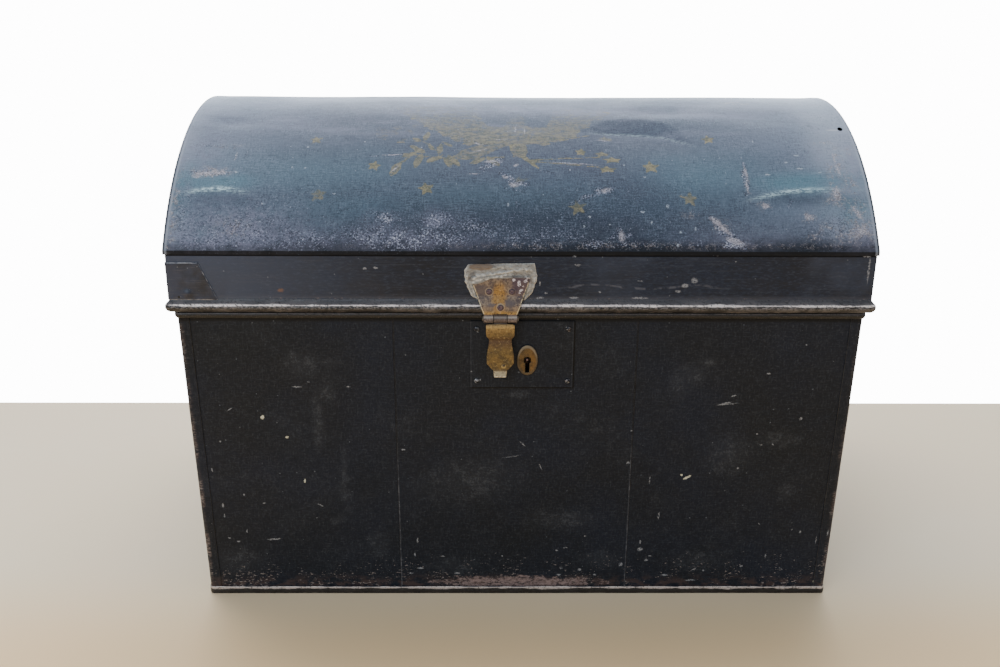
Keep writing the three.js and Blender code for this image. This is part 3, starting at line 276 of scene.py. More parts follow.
class Net:
    """The node tree of one material or of the sky."""

    def __init__(self, name, owner=None):
        self.owner = owner or bpy.data.materials.new(name)
        self.owner.use_nodes = True
        self.tree = self.owner.node_tree
        self.tree.nodes.clear()
        places = self.node("ShaderNodeTexCoord").outputs
        self.generated = Wire(self, places["Generated"])
        self.normal = Wire(self, places["Normal"])
        self.place = Wire(self, places["Object"])
        self.x, self.y, self.z = self.place.split()

    def node(self, kind, inputs=None, **settings):
        made = self.tree.nodes.new(kind)
        for key, value in settings.items():
            setattr(made, key, value)
        for socket, value in (inputs or {}).items():
            value = value.socket if isinstance(value, Wire) else value
            if isinstance(value, bpy.types.NodeSocket):
                self.tree.links.new(value, made.inputs[socket])
            else:
                made.inputs[socket].default_value = value
        return made

    def made(self, kind, inputs=None, output=0, **settings):
        """One output of a new node."""
        return Wire(self, self.node(kind, inputs, **settings).outputs[output])

    def math(self, operation, a, b=0.0):
        return self.made("ShaderNodeMath", {0: a, 1: b}, operation=operation)

    def vector(self, operation, a, b, output=0):
        return self.made("ShaderNodeVectorMath", {0: a, 1: b}, output, operation=operation)

    def most(self, *values):
        whole = values[0]
        for value in values[1:]:
            whole = self.math("MAXIMUM", whole, value)
        return whole

    def along(self):
        """Coordinates on an upright wall: along it, and up it."""
        return self.made("ShaderNodeCombineXYZ", {0: self.x + self.y, 1: self.z})

    def front(self):
        """Coordinates on a part in front: across, and up."""
        return self.made("ShaderNodeCombineXYZ", {0: self.x, 1: self.z})

    def noise(self, *settings, **more):
        return self.place.noise(*settings, **more)

    def mix(self, share, a, b):
        return self.made("ShaderNodeMix", {0: share, 6: a, 7: b}, 2, data_type="RGBA")

    def attribute(self, name):
        return self.made("ShaderNodeAttribute", None, "Fac", attribute_name=name)

    def inside(self, centre):
        """1 on faces that look towards a centre point of the trunk, 0 on those that look away."""
        out = self.vector("SUBTRACT", self.place, centre)
        return self.math("LESS_THAN", self.vector("DOT_PRODUCT", out, self.normal, "Value"), 0)

    def finish(self, colour, rough, metal=0.0, bump=None, height=1 * MM, specular=0.5):
        inputs = {"Base Color": colour, "Roughness": rough, "Metallic": metal, "Specular IOR Level": specular}
        if bump is not None:
            bumps = {"Strength": 1.0, "Distance": height, "Height": bump}
            inputs["Normal"] = self.made("ShaderNodeBump", bumps)
        shader = self.made("ShaderNodeBsdfPrincipled", inputs)
        self.node("ShaderNodeOutputMaterial", {0: shader})
        return self.owner


def colour(red, green, blue):
    """A colour given as it shows on a screen, 0 to 255."""
    shares = [channel / 255 for channel in (red, green, blue)]
    linear = [s / 12.92 if s <= 0.04045 else ((s + 0.055) / 1.055) ** 2.4 for s in shares]
    return (*linear, 1)


def floor_material():
    net = Net("pale_floor")
    cloud = net.noise(0.35, 5)
    tone = cloud.blend((243, 216, 176), (250, 231, 203))
    # Painted shade: a warmer tone on the floor towards the front.
    near = net.y.rise(-0.14, -0.34, 0, 0.9)
    tone = tone.coat(near, 255, 214, 158)
    return net.finish(tone, cloud.rise(0.3, 0.7, 0.55, 0.7), specular=0.3)


def make_sky():
    """White to the camera; for light, bright above and behind, dim in front."""
    net = Net("studio", bpy.data.worlds.new("studio"))
    back = net.generated.split()[1].rise(-0.6, 1, kind="LINEAR")
    bright = net.math("POWER", back, SKY_STEEPNESS).rise(0, 1, SKY_FRONT, SKY_BACK, "LINEAR")
    light = net.made("ShaderNodeBackground", {"Color": (0.78, 0.88, 1, 1), "Strength": bright})
    seen = net.made("ShaderNodeBackground", {"Color": (1, 1, 1, 1), "Strength": SKY_STRENGTH})
    path = net.made("ShaderNodeLightPath", None, "Is Camera Ray")
    net.node("ShaderNodeOutputWorld", {0: net.made("ShaderNodeMixShader", {0: path, 1: light, 2: seen})})
    bpy.context.scene.world = net.owner


def make_stage():
    half = FLOOR_SIZE / 2
    flat_quad("floor", (-half, -half), (half, FLOOR_EDGE), 0, floor_material())
    make_sky()
    lamp("top_light", (-0.3, 0.9, 2.2), (0, 0, 0.3), (2.4, 1.4), 50, gloss=False)
    lamp("front_light", (-1.2, -2.2, 1.6), (0, 0, 0.2), (1.6, 1.2), 24, (0.76, 0.88, 1))


# Geometry helpers

def smooth_step(value, low, high):
    share = np.clip((value - low) / (high - low), 0, 1)
    return share * share * (3 - 2 * share)


def wobble(points, size, reach, seed):
    """A smooth noise for each point, up to about the reach."""
    shift = Vector((seed, seed * 0.7, seed * 1.3))
    return np.array([noise.noise(Vector(p) / size + shift) for p in points]) * reach


def skin(rings, closed=False):
    """Points and faces over rings of points that all have the same count."""
    rings = np.asarray(rings, float)
    count, around = rings.shape[:2]
    steps = count if closed else count - 1
    faces = []
    for ring in range(steps):
        near = ring * around
        far = (ring + 1) % count * around
        for side in range(around):
            following = (side + 1) % around
            faces.append((near + side, near + following, far + following, far + side))
    if not closed:
        faces.append(tuple(range(around)))
        faces.append(tuple(range((count - 1) * around, count * around)))
    return rings.reshape(-1, 3), faces


def make_piece(name, parts, material, body, node, sharp=40):
    """One object out of (points, faces) parts, which rides a body and stands for a CAD node."""
    points, faces, start = [], [], 0
    for part_points, part_faces in parts:
        points.append(np.asarray(part_points, float))
        faces += [tuple(index + start for index in face) for face in part_faces]
        start += len(part_points)
    mesh = outward_mesh(name, np.concatenate(points).tolist(), faces)
    return place_piece(name, mesh, material, body, node, sharp)


def outward_mesh(name, points, faces):
    """A mesh whose faces all look outwards."""
    mesh = bpy.data.meshes.new(name)
    mesh.from_pydata(points, [], faces)
    shape = bmesh.new()
    shape.from_mesh(mesh)
    bmesh.ops.recalc_face_normals(shape, faces=shape.faces)
    shape.to_mesh(mesh)
    shape.free()
    return mesh


def place_piece(name, mesh, material, body, node, sharp):
    mesh.polygons.foreach_set("use_smooth", [True] * len(mesh.polygons))
    mesh.set_sharp_from_angle(angle=radians(sharp))
    mesh.materials.append(material)
    made = new_object(name, mesh)
    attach(made, body)
    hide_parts(node)
    return made


def round_route(half_x, half_y, radius, spacing=6 * MM, corner_steps=8):
    """Points round a level rectangle with round corners, with their outward directions."""
    route = []
    for corner, (sign_x, sign_y) in enumerate([(1, -1), (1, 1), (-1, 1), (-1, -1)]):
        for step in range(corner_steps + 1):
            angle = (corner - 1) * pi / 2 + step / corner_steps * pi / 2
            out = (cos(angle), sin(angle))
            x = sign_x * (half_x - radius) + radius * out[0]
            y = sign_y * (half_y - radius) + radius * out[1]
            route.append((x, y, *out))
    return fill_route(route, spacing, closed=True)


def fill_route(route, spacing, closed=False):
    """Adds points so that no step of a route is longer than the spacing."""
    filled = []
    ends = route[1:] + (route[:1] if closed else [])
    for start, end in zip(route, ends):
        length = hypot(end[0] - start[0], end[1] - start[1])
        count = max(1, ceil(length / spacing))
        for step in range(count):
            share = step / count
            filled.append(tuple(a + (b - a) * share for a, b in zip(start, end)))
    if not closed:
        filled.append(route[-1])
    return filled


def sweep(profile, route, closed, reach=0.0, size=0.05, seed=1.0, lift=0.0):
    """A profile in (out, up) run along a level route, made a little uneven along its length."""
    rings = []
    for x, y, out_x, out_y in route:
        shake = noise.noise(Vector((x, y, seed)) / size) * reach
        raised = noise.noise(Vector((x, y, seed + 7)) / size) * lift
        rings.append([
            (x + out_x * (side + shake), y + out_y * (side + shake), up + raised) for side, up in profile
        ])
    return skin(rings, closed)


def half_round(low, high, depth, steps=14):
    """Outer line of a half-round bead, from low to high, out to a depth."""
    middle, half = (low + high) / 2, (high - low) / 2
    angles = [-pi / 2 + step / steps * pi for step in range(steps + 1)]
    return [(depth * cos(a), middle + half * sin(a)) for a in angles]


# Materials. Ramps are given by their ends, in metres or in a noise's own values; coats by their share and
# screen colour.

PAINT_BLACK = colour(22, 27, 36)
PAINT_BLUE_BLACK = colour(26, 31, 43)
PAINT_OLIVE_BLACK = colour(23, 27, 33)
DUST = colour(88, 90, 94)
SCRATCH = colour(124, 128, 134)
CHIP = colour(186, 182, 158)
RUST = colour(122, 78, 50)
TIN = colour(112, 106, 96)
TIN_DARK = colour(74, 68, 60)
BODY_MIDDLE = (0, 0, BODY_HEIGHT / 2)
LID_MIDDLE = (0, 0, DOME_CENTRE)


def tin_lining(net, outer, outer_rough, centre):
    """Turns the faces that look into the trunk to dull, spotted tin."""
    inside = net.inside(centre)
    cloud = net.noise(0.06, 6, 0.65)
    grain = net.noise(5 * MM, 6, 0.74, shift=8.0)
    tin = net.mix(cloud.rise(0.3, 0.7, 0.25, 0.85), TIN_DARK, TIN)
    tin = tin.coat(grain.rise(0.5, 0.66, 0, 0.35), 146, 141, 130)
    tin = tin.coat(grain.rise(0.46, 0.34, 0, 0.4), 52, 46, 40)
    specks = net.noise(0.007, 5, 0.7).rise(0.6, 0.66)
    tin = tin.mix(specks * cloud.rise(0.45, 0.6), RUST)
    tone = net.mix(inside, outer, tin)
    rough = outer_rough + inside * 0.08
    return tone, rough


def chips_from(net, at, ellipses):
    """The nearest of a list of flat ellipses, 1 at their edges."""
    nearest = None
    for centre, half, turn in ellipses:
        distance = at.ellipse(centre, half, turn)
        nearest = distance if nearest is None else net.math("MINIMUM", nearest, distance)
    return nearest


def streaks(net, at):
    """Fine streaks both ways, as a brush or a cloth leaves them, from 0 to 1."""
    level = at.noise(1.5 * MM, 4, 0.65, stretch=(0.16, 1, 1))
    upright = at.noise(1.5 * MM, 4, 0.65, stretch=(1, 0.16, 1), shift=3)
    return net.most(level.rise(0.5, 0.72), upright.rise(0.5, 0.72))


def torn_marks(net, at, table, low=0.55, high=1.15):
    """Marks with broken, ragged outlines."""
    ragged = at.shaken(4 * MM, 2.4 * MM).shaken(1.3 * MM, 1.8 * MM)
    spot = chips_from(net, ragged, table).rise(low, high, 1, 0)
    return spot * at.noise(1.4 * MM, 3, shift=23.0).rise(0.36, 0.5)


def border_lines(net, tone, broken, left, right, low):
    """A plate's edges: painted shade right and below, painted highlight inside the right, and a pale left
    edge, partly rubbed and partly painted highlight.
    """
    # Painted shade along the right and bottom edges.
    dark = net.most(net.x.rise(right - 1.6 * MM, right - 1 * MM), net.z.rise(low + 1.6 * MM, low + 1 * MM))
    tone = tone.coat(dark * 0.85, 4, 4, 5)
    # Pale left edge: partly rubbed wear, partly painted highlight.
    pale = net.x.rise(left + 1.5 * MM, left + 0.9 * MM) * broken.rise(0, 1, 0.5, 1)
    # Painted highlight just inside the right edge.
    inner = net.x.rise(right - 2.8 * MM, right - 2 * MM) * net.x.rise(right - 1 * MM, right - 1.6 * MM)
    tone = tone.coat(inner * 0.12, 92, 94, 100)
    return tone.coat(pale * 0.2, 96, 98, 104)


def corner_wear(net, tone, fine, blots):
    """Brown and pale wear along the upright corners, stronger near the foot."""
    reach = abs(net.x) + abs(net.y)
    corner = WALL_FOOT_HALF_WIDTH + WALL_FOOT_HALF_DEPTH
    past = reach - corner - net.z * (2 * WALL_SLOPE)
    near = past.rise(-7 * MM, -2.4 * MM)
    kept = net.along().noise(0.045, 3, shift=51.0).rise(0.44, 0.56, 0.12, 1)
    low = net.z.rise(0.24, 0.05, 0.35, 1) * (kept * net.x.rise(-0.1, 0.1, 1, 0.6))
    brown = near * low * blots.rise(0.4, 0.56)
    tone = tone.coat(brown * 0.75, 92, 74, 68)
    pale = past.rise(-6.5 * MM, -2.8 * MM) * fine.rise(0.49, 0.55)
    return tone.coat(pale * low * 0.75, 156, 142, 136)


def wall_paint(name, chips=(), scratches=(), smudges=(), primer=None, low_wear=1.0, seams=(), border=None):
    """Dull black paint on an upright wall, with hairlines, dust, chips, wear near the foot, and painted
    shadow under the stop bead.
    """
    net = Net(name)
    at = net.along()
    ragged = at.shaken(3 * MM, 1.6 * MM)
    cloud = net.noise(0.11, 5)
    tone = net.mix(cloud.rise(0.4, 0.66), PAINT_BLACK, PAINT_BLUE_BLACK)
    tone = tone.mix(net.noise(0.16, shift=3.1).rise(0.45, 0.7) * 0.7, PAINT_OLIVE_BLACK)
    weave = streaks(net, at)
    tone = tone.mix(weave * 0.2, DUST)
    mottle = at.noise(2.2 * MM, 5, 0.72, shift=6.0)
    tone = tone.mix(mottle.rise(0.52, 0.7, 0, 0.2), DUST)
    tone = tone.coat(mottle.rise(0.48, 0.3, 0, 0.5), 14, 15, 17)
    haze = net.noise(0.05, 7, 0.68).rise(0.5, 0.74) * 0.2
    wisps = at.shaken(20 * MM, 14 * MM).noise(11 * MM, 8, 0.78, shift=37.0)
    grain = wisps.rise(0.46, 0.6) * mottle.rise(0.42, 0.6, 0.4, 1)
    if smudges:
        soft = chips_from(net, at.shaken(14 * MM, 12 * MM), smudges).rise(0.1, 1.3, 1, 0)
        haze = net.most(haze, soft * 0.42)
    tone = tone.mix(haze * grain.rise(0, 1, 0.22, 1), DUST)
    low = net.z.rise(0.005, 0.1, 1, 0)
    edge = abs(net.x).rise(BAND_HALF_WIDTH - 0.055, BAND_HALF_WIDTH - 0.008)
    near = net.most(low * low_wear, edge * 0.6)
    fine = ragged.noise(1.9 * MM, 4, 0.68, stretch=(0.42, 1, 1))
    patch = at.noise(0.03, 4, 0.6, shift=9.0).rise(0.38, 0.6, 0.4, 1)
    bar = 0.76 - near * patch * 0.205
    worn = (fine - bar).rise(0, 0.03)
    blots = at.noise(9 * MM, 6, 0.7, stretch=(0.5, 1, 1))
    brown = net.z.rise(28 * MM, 9 * MM) * blots.rise(0.44, 0.58)
    tone = tone.coat(brown * 0.6, 84, 66, 60)
    tone = tone.mix(worn * 0.75, net.mix(low, SCRATCH, colour(156, 142, 134)))
    tone = corner_wear(net, tone, fine, blots)
    # Painted shadow: a dark band on the wall just below the stop bead.
    under = net.z.rise(BODY_HEIGHT - 5 * MM, BODY_HEIGHT - 2 * MM, 0, 0.75)
    tone = tone.coat(under, 9, 9, 10)
    pin = at.shaken(2 * MM, 1.6 * MM).spots(19 * MM, 0.042, 0.24)
    tone = tone.mix(pin * 0.45, SCRATCH)
    broken = at.noise(5 * MM, 6, 0.7, shift=27.0).rise(0.46, 0.58)
    for place in seams:
        line = abs(net.x - place).rise(0.8 * MM, 0.2 * MM)
        groove = line * net.z.rise(0.15, 0.19)
        tone = tone.coat(groove * 0.8, 7, 7, 8)
        # A pale broken line beside each seam: partly rubbed wear, partly painted highlight.
        held = broken.rise(0, 1, 0.3, 1) * net.z.rise(0.22, 0.12, 0.1, 0.55)
        tone = tone.coat(line * held, 120, 120, 124)
    if border:
        tone = border_lines(net, tone, broken, *border)
    if scratches:
        tone = tone.coat(torn_marks(net, at, scratches, 0.4, 0.9) * 0.85, 146, 146, 148)
    if chips:
        spot = chips_from(net, at.shaken(1.8 * MM, 2.2 * MM), chips).rise(0.7, 0.95, 1, 0)
        tone = tone.mix(spot, net.mix(fine.rise(0.45, 0.55), CHIP, colour(214, 208, 186)))
    if primer:
        centre, half = primer
        torn = at.noise(8 * MM, 8, 0.8, stretch=(0.6, 1, 1))
        inside = at.ellipse(centre, half)
        bare = (inside + torn * 2.6).rise(2.3, 2.05)
        streaky = at.noise(3.4 * MM, 7, 0.78, stretch=(0.6, 1, 1))
        bare = bare * streaky.rise(0.4, 0.5, 0.1, 0.85)
        shade = streaky.rise(0.42, 0.6).blend((104, 86, 82), (152, 130, 124))
        tone = tone.mix(bare, shade)
    base_rough = (cloud + weave * 0.3).rise(0.3, 0.9, 0.42, 0.62)
    tone, rough = tin_lining(net, tone, base_rough, BODY_MIDDLE)
    dents = net.noise(0.14, 2, shift=1.7)
    relief = dents + (mottle + fine) * 0.02
    return net.finish(tone, rough, bump=relief, height=2.2 * MM, specular=0.2)


def band_paint(name, chips=(), rust=()):
    """Black paint on the lid's upright band: brushed, hazy, brown near the bead, with painted highlight just
    above the bead and painted shadow under the dome's hem.
    """
    net = Net(name)
    at = net.along()
    ragged = at.shaken(4 * MM, 2 * MM)
    cloud = net.noise(0.09, 6, 0.6, stretch=(0.6, 0.6, 1.2))
    tone = cloud.rise(0.36, 0.62).blend((15, 23, 38), (25, 34, 52))
    fine = at.noise(1.8 * MM, 4, 0.7, stretch=(0.35, 1, 1), shift=21.0)
    tone = tone.coat(fine.rise(0.5, 0.7, 0, 0.28), 76, 84, 100)
    tone = tone.coat(fine.rise(0.5, 0.32, 0, 0.5), 16, 17, 20)
    left = net.x.rise(-0.08, -BAND_HALF_WIDTH)
    soft = net.noise(0.11, 3, shift=12.0).rise(0.46, 0.7)
    tone = tone.coat(net.most(left * 0.62, soft * 0.3), 80, 88, 108)
    brown = net.noise(0.05, 6, 0.66, shift=5.0).rise(0.46, 0.66)
    lower = net.z.rise(LID_LOW + 10 * MM, LID_LOW + 42 * MM, 1, 0.25)
    tone = tone.coat(brown * lower * 0.3, 46, 43, 47)
    hairs = at.noise(1.3 * MM, 4, stretch=(0.02, 1, 1))
    tone = tone.coat(hairs.rise(0.52, 0.76) * 0.25, 82, 83, 90)
    # Painted shadow: a dark line on the band just below the dome's hem.
    under = net.z.rise(dome_low.z - 2.0 * MM, dome_low.z - 1.2 * MM)
    under = under * net.z.rise(dome_low.z + 3 * MM, dome_low.z + 1.5 * MM)
    tone = tone.coat(under * 0.95, 4, 4, 6)
    # Painted highlight: lighter just above the rim bead; the wear flecks below also grow there.
    above = net.z.rise(LID_LOW + 12 * MM, LID_LOW + 19 * MM, 1, 0)
    tone = tone.coat(above * 0.44, 96, 96, 104)
    wave = net.math("SINE", net.x * 70.0 + at.noise(0.05) * 5.0)
    path = LID_LOW + 27 * MM + wave * (2.2 * MM)
    drift = abs(net.z - path).rise(1.6 * MM, 0.4 * MM)
    drift = drift * (net.x.rise(0.02, 0.05) * net.x.rise(0.21, 0.17))
    drift = drift * at.noise(8 * MM, 4, shift=2.0).rise(0.42, 0.6)
    tone = tone.coat(drift * 0.45, 104, 104, 112)
    torn = at.noise(3 * MM, 6, 0.72, stretch=(0.5, 1, 1))
    bar = above.rise(0, 1, 0.78, 0.5, "LINEAR")
    tone = tone.coat((torn - bar).rise(0, 0.04) * 0.5, 132, 116, 110)
    pin = ragged.spots(22 * MM, 0.035, 0.35)
    tone = tone.mix(pin * 0.5, SCRATCH)
    if chips:
        tone = tone.coat(torn_marks(net, at, chips) * 0.8, 146, 146, 150)
    if rust:
        spot = chips_from(net, at.shaken(2.5 * MM, 3 * MM), rust).rise(0.4, 1.3, 1, 0)
        tone = tone.coat(spot * 0.6, 132, 94, 70)
    base_rough = cloud.rise(0.3, 0.7, 0.36, 0.55) + under * 0.5
    tone, rough = tin_lining(net, tone, base_rough, LID_MIDDLE)
    relief = net.noise(0.07, 3, shift=2.0) + hairs * 0.03
    return net.finish(tone, rough, bump=relief, height=1.6 * MM, specular=0.34)


def bead_paint(name, low, high, line_share, line_colour, dark, fillet=False, dimmed=0.72, spread=1.0):
    """Paint on a rounded edge: a pale line along its upper shoulder, partly rubbed and partly painted
    highlight, a painted glow above it, and flecks below it.
    """
    net = Net(name)
    at = net.along()
    half_tone = colour(*[dimmed * channel for channel in line_colour])
    height = high - low
    shoulder = low + line_share * height
    torn = at.noise(3.2 * MM, 6, 0.7, stretch=(0.3, 1, 1))
    wave = net.noise(0.03, 4, stretch=(1, 1, 0.2))
    tone = net.mix(net.noise(0.02, 5).rise(0.4, 0.65) * 0.3, dark, half_tone)
    away = abs(net.z - shoulder)
    width = wave.rise(0.3, 0.7, 0.02 * height * spread, 0.1 * height * spread)
    # Painted highlight: with a fillet, the part above the shoulder is grey like the band just above the bead.
    if fillet:
        tone = net.mix(net.z.rise(shoulder + 0.5 * height, shoulder), colour(66, 66, 72), tone)
    near = away / width
    # Painted highlight above the shoulder.
    glow = net.z.rise(shoulder + 0.35 * height, shoulder, 0, 0.55)
    tone = tone.coat(glow * net.z.rise(shoulder - 0.1 * height, shoulder), 124, 118, 120)
    below = net.z.rise(shoulder + 0.1 * height, shoulder) * net.z.rise(low + 0.2 * height, shoulder)
    speckle = at.noise(1.7 * MM, 5, 0.78, stretch=(0.6, 1, 1), shift=9.0).rise(0.47, 0.55)
    tone = tone.mix(below * speckle * 0.9, half_tone)
    # Pale line along the shoulder: partly rubbed paint, partly painted highlight.
    rub = (near + torn * 3.0).rise(1.8, 3.0, 1, 0)
    tone = tone.mix(below * speckle.rise(0.5, 0, 0, 0.8), dark)
    tone = tone.mix(rub, colour(*line_colour))
    flecks = net.math("GREATER_THAN", at.noise(1.8 * MM, 5, 0.75), 0.6)
    tone = tone.coat(flecks * (0.45 * dimmed), 140, 128, 122)
    lip = net.z.rise(low + 0.2 * height, low + 0.12 * height)
    thin = at.noise(5 * MM, 5, 0.7, stretch=(0.4, 1, 1), shift=6.0).rise(0.5, 0.62)
    tone = tone.mix(lip * thin * 0.6, half_tone)
    dark_flecks = net.math("GREATER_THAN", at.noise(2.2 * MM, 5, 0.75, shift=4.0), 0.57)
    tone = tone.coat(dark_flecks * 0.75, 24, 22, 24)
    rough = torn.rise(0.3, 0.7, 0.34, 0.6)
    relief = net.noise(0.012, 4) + torn * 0.3
    return net.finish(tone, rough, metal=rub * 0.25, bump=relief, height=0.9 * MM, specular=0.5)


def old_brass(name, light, dark, stain):
    """Tarnished brass: mottled, pitted, brighter where it is handled."""
    net = Net(name)
    cloud = net.noise(9 * MM, 6, 0.62)
    tone = net.mix(cloud.rise(0.35, 0.62), dark, light)
    blot = net.noise(6 * MM, 5, 0.7, shift=2.7).rise(0.52, 0.62)
    tone = tone.mix(blot * 0.75, stain)
    pit = net.math("GREATER_THAN", net.noise(1.1 * MM, 4, 0.7), 0.66)
    tone = tone.coat(pit * 0.45, 48, 34, 22)
    glint = net.math("GREATER_THAN", net.noise(0.8 * MM, 3, shift=1.0), 0.68)
    tone = tone.coat(glint * 0.4, 206, 178, 120)
    rough = cloud.rise(0.3, 0.7, 0.5, 0.36)
    relief = net.noise(4 * MM, 5) + net.noise(0.9 * MM, 3) * 0.25
    return net.finish(tone, rough, metal=0.72, bump=relief, height=0.35 * MM)


def dull_steel(name, light=colour(132, 124, 114), dark=colour(78, 70, 64), black=0.0, patch=9 * MM):
    """Bare or thinly painted iron with brown stains."""
    net = Net(name)
    cloud = net.noise(14 * MM, 6, 0.6)
    tone = net.mix(cloud.rise(0.36, 0.64), dark, light)
    brown = net.noise(8 * MM, 6, 0.7, shift=3.3).rise(0.5, 0.6)
    tone = tone.coat(brown * 0.6, 92, 66, 48)
    if black:
        bare_bar = 0.44 + 0.2 * black
        bare = net.noise(patch, 8, 0.76, shift=6.0).rise(bare_bar, bare_bar + 0.06)
        tone = net.mix(bare, PAINT_BLACK, tone)
    rough = cloud.rise(0.3, 0.7, 0.42, 0.62)
    relief = net.noise(5 * MM, 5) + net.noise(1 * MM, 3) * 0.3
    return net.finish(tone, rough, metal=0.75 - 0.6 * black, bump=relief, height=0.3 * MM)


# White flecks near the hasp's right rivet: pixel, half sizes in millimetres, turn in degrees
WHITE_FLECKS = [
    (513.8, 279.5, 1.9, 1.5), (519.2, 283, 1.8, 3.4, 10), (525.5, 280.5, 1.8, 1.8, 40),
    (528, 277.5, 2.2, 1, 30), (521, 289.5, 2.2, 1.4, 20), (519.5, 292.5, 1.2, 1), (523, 286, 1, 0.8),
    (530, 282.5, 0.8, 1.6),
]


def white_flecks(net, tone, at):
    """Torn flecks of white."""
    table = marks(WHITE_FLECKS, on_front, MM)
    spot = chips_from(net, at.shaken(2.2 * MM, 3 * MM), table).rise(0.7, 1.1, 1, 0)
    spot = spot * at.noise(1.6 * MM, 4, 0.7, shift=5.0).rise(0.4, 0.5)
    return tone.coat(spot * 0.85, 232, 222, 226)


def dull_solder():
    """Old solder: pale on its ridges and along its edge, partly as painted highlight, grey-brown in its
    hollows, with rust and dark stain.
    """
    net = Net("solder")
    at = net.front()
    raised = net.attribute("raised")
    strands = at.shaken(9 * MM, 8 * MM).noise(4 * MM, 7, 0.78, stretch=(0.45, 1, 1))
    # Pale ridges and edge, from the raised values: partly painted highlight.
    level = raised * 0.9 + (strands - 0.5) * 2.6
    tone = level.rise(-0.5, 0.2).blend((88, 80, 76), (158, 154, 147))
    tone = tone.coat(level.rise(0.2, 0.95), 216, 210, 200)
    above = net.z.rise(CLEAR_LOW + 35 * MM, CLEAR_LOW + 37 * MM)
    sheltered = above * net.x.rise(HASP_X + 2 * MM, HASP_X - 4 * MM)
    tone = tone.coat(sheltered * 0.5, 96, 88, 82)
    crack = net.noise(2 * MM, 6, 0.75).rise(0.56, 0.64)
    tone = tone.coat(crack * 0.75, 74, 64, 60)
    torn = at.shaken(7 * MM, 5 * MM)
    rust = torn.ellipse(on_front(481, 266.5), (13 * MM, 3.4 * MM))
    tone = tone.coat(rust.rise(0.8, 1.1, 0.8, 0), 118, 96, 78)
    stain = torn.ellipse(on_front(521, 280), (11 * MM, 4 * MM))
    stained = stain.rise(0.6, 1.1, 0.85, 0)
    tone = tone.coat(stained, 84, 66, 80)
    tone = white_flecks(net, tone, at)
    relief = net.noise(4 * MM, 6, 0.65) + strands * 0.5
    return net.finish(tone, strands.rise(0.3, 0.7, 0.6, 0.42), metal=0.1, bump=relief, height=1.5 * MM)


def dome_paint():
    """Blue-black japan on the dome: brushed, chalky where it has perished, with worn gilding, painted sheen
    and painted shade.
    """
    net = Net("dome_paint")
    at = net.made("ShaderNodeUVMap", uv_map="flat")
    x, s, _ = at.split()
    cloud = at.noise(0.085, 6, 0.58, stretch=(0.7, 1, 1))
    front = s.rise(-DOME_REACH, -DOME_REACH + 0.12)
    tone = front.blend((54, 57, 68), (82, 88, 104))
    tone = tone.coat(cloud.rise(0.38, 0.66) * 0.6, 74, 77, 96)
    ends = abs(x + 20 * MM).rise(0.13, DOME_HALF_WIDTH)
    tone = tone.coat(ends * 0.8, 122, 130, 148)
    # Painted reflection: soft level streaks, light and dark, high on the dome.
    sheen_streaks = at.noise(0.034, 5, 0.62, stretch=(0.22, 1, 1), shift=41.0)
    high = s.rise(-0.15, -0.09) * s.rise(0.08, 0.0)
    tone = tone.coat(sheen_streaks.rise(0.46, 0.62) * high * 0.3, 158, 158, 180)
    tone = tone.coat(sheen_streaks.rise(0.46, 0.34) * high * 0.3, 58, 64, 82)
    tip = abs(x + 20 * MM).rise(DOME_HALF_WIDTH - 50 * MM, DOME_HALF_WIDTH)
    tone = tone.coat(tip * 0.8, 164, 170, 184)
    # Painted teal sheen from the dome's teal values, strongest by the ridges, with a faint random teal tint.
    teal = net.attribute("teal") + cloud.rise(0.45, 0.7) * 0.15
    tone = tone.coat(net.math("MINIMUM", teal, 0.9), 92, 126, 140)
    # Painted shade from the dome's shade values.
    tone = tone.coat(net.attribute("shade") * 0.62, 36, 46, 62)
    tone, weave = brush_marks(net, tone, at)
    tone, gilt = gild(net, tone, at)
    tone, under = dome_hem(tone, at, x, s)
    tone = perish(net, tone, at)
    # Painted shade on the skirt below the hem again, over the chalk.
    tone = tone.coat(under * 0.8, 8, 10, 16)
    end = abs(x)
    low = s.rise(-0.1, -0.17, 0.25, 1)
    pale = end.rise(DOME_HALF_WIDTH - 5 * MM, DOME_HALF_WIDTH - 3.4 * MM) * low
    tone = tone.coat(pale * 0.4, 176, 182, 192)
    dark = end.rise(DOME_HALF_WIDTH - 2.4 * MM, DOME_HALF_WIDTH - 1.6 * MM) * low
    tone = tone.coat(dark * 0.8, 28, 31, 38)
    tone = dome_marks(net, tone, at)
    base_rough = cloud.rise(0.3, 0.7, 0.36, 0.46) + (gilt * 0.1 + under * 0.4)
    tone, rough = tin_lining(net, tone, base_rough, LID_MIDDLE)
    relief = at.noise(0.02, 3) + weave * 0.12
    hole = at.ellipse(on_dome(*DOME_HOLE), HOLE_HALF).rise(0.8, 1.05, 0, 0.34)
    return net.finish(tone, rough, bump=relief, height=0.35 * MM, specular=hole)


def brush_marks(net, tone, at):
    """Fine grain of brushed paint: light and dark hairs both ways, and a close mottle."""
    hairs = at.noise(1.3 * MM, 3, stretch=(0.12, 1, 1))
    uprights = at.noise(1.4 * MM, 3, stretch=(1, 0.16, 1), shift=3.0)
    mottle = at.noise(1.7 * MM, 4, 0.7, shift=5.0)
    patch = at.noise(0.03, 4, 0.6, shift=15.0).rise(0.35, 0.65, 0.5, 1.0)
    light = net.most(hairs.rise(0.5, 0.72), uprights.rise(0.52, 0.74), mottle.rise(0.51, 0.66))
    tone = tone.coat(light * patch * 0.46, 132, 146, 162)
    dark = net.most(hairs.rise(0.48, 0.3), uprights.rise(0.46, 0.28), mottle.rise(0.47, 0.34))
    return tone.coat(dark * patch * 0.5, 30, 37, 50), hairs


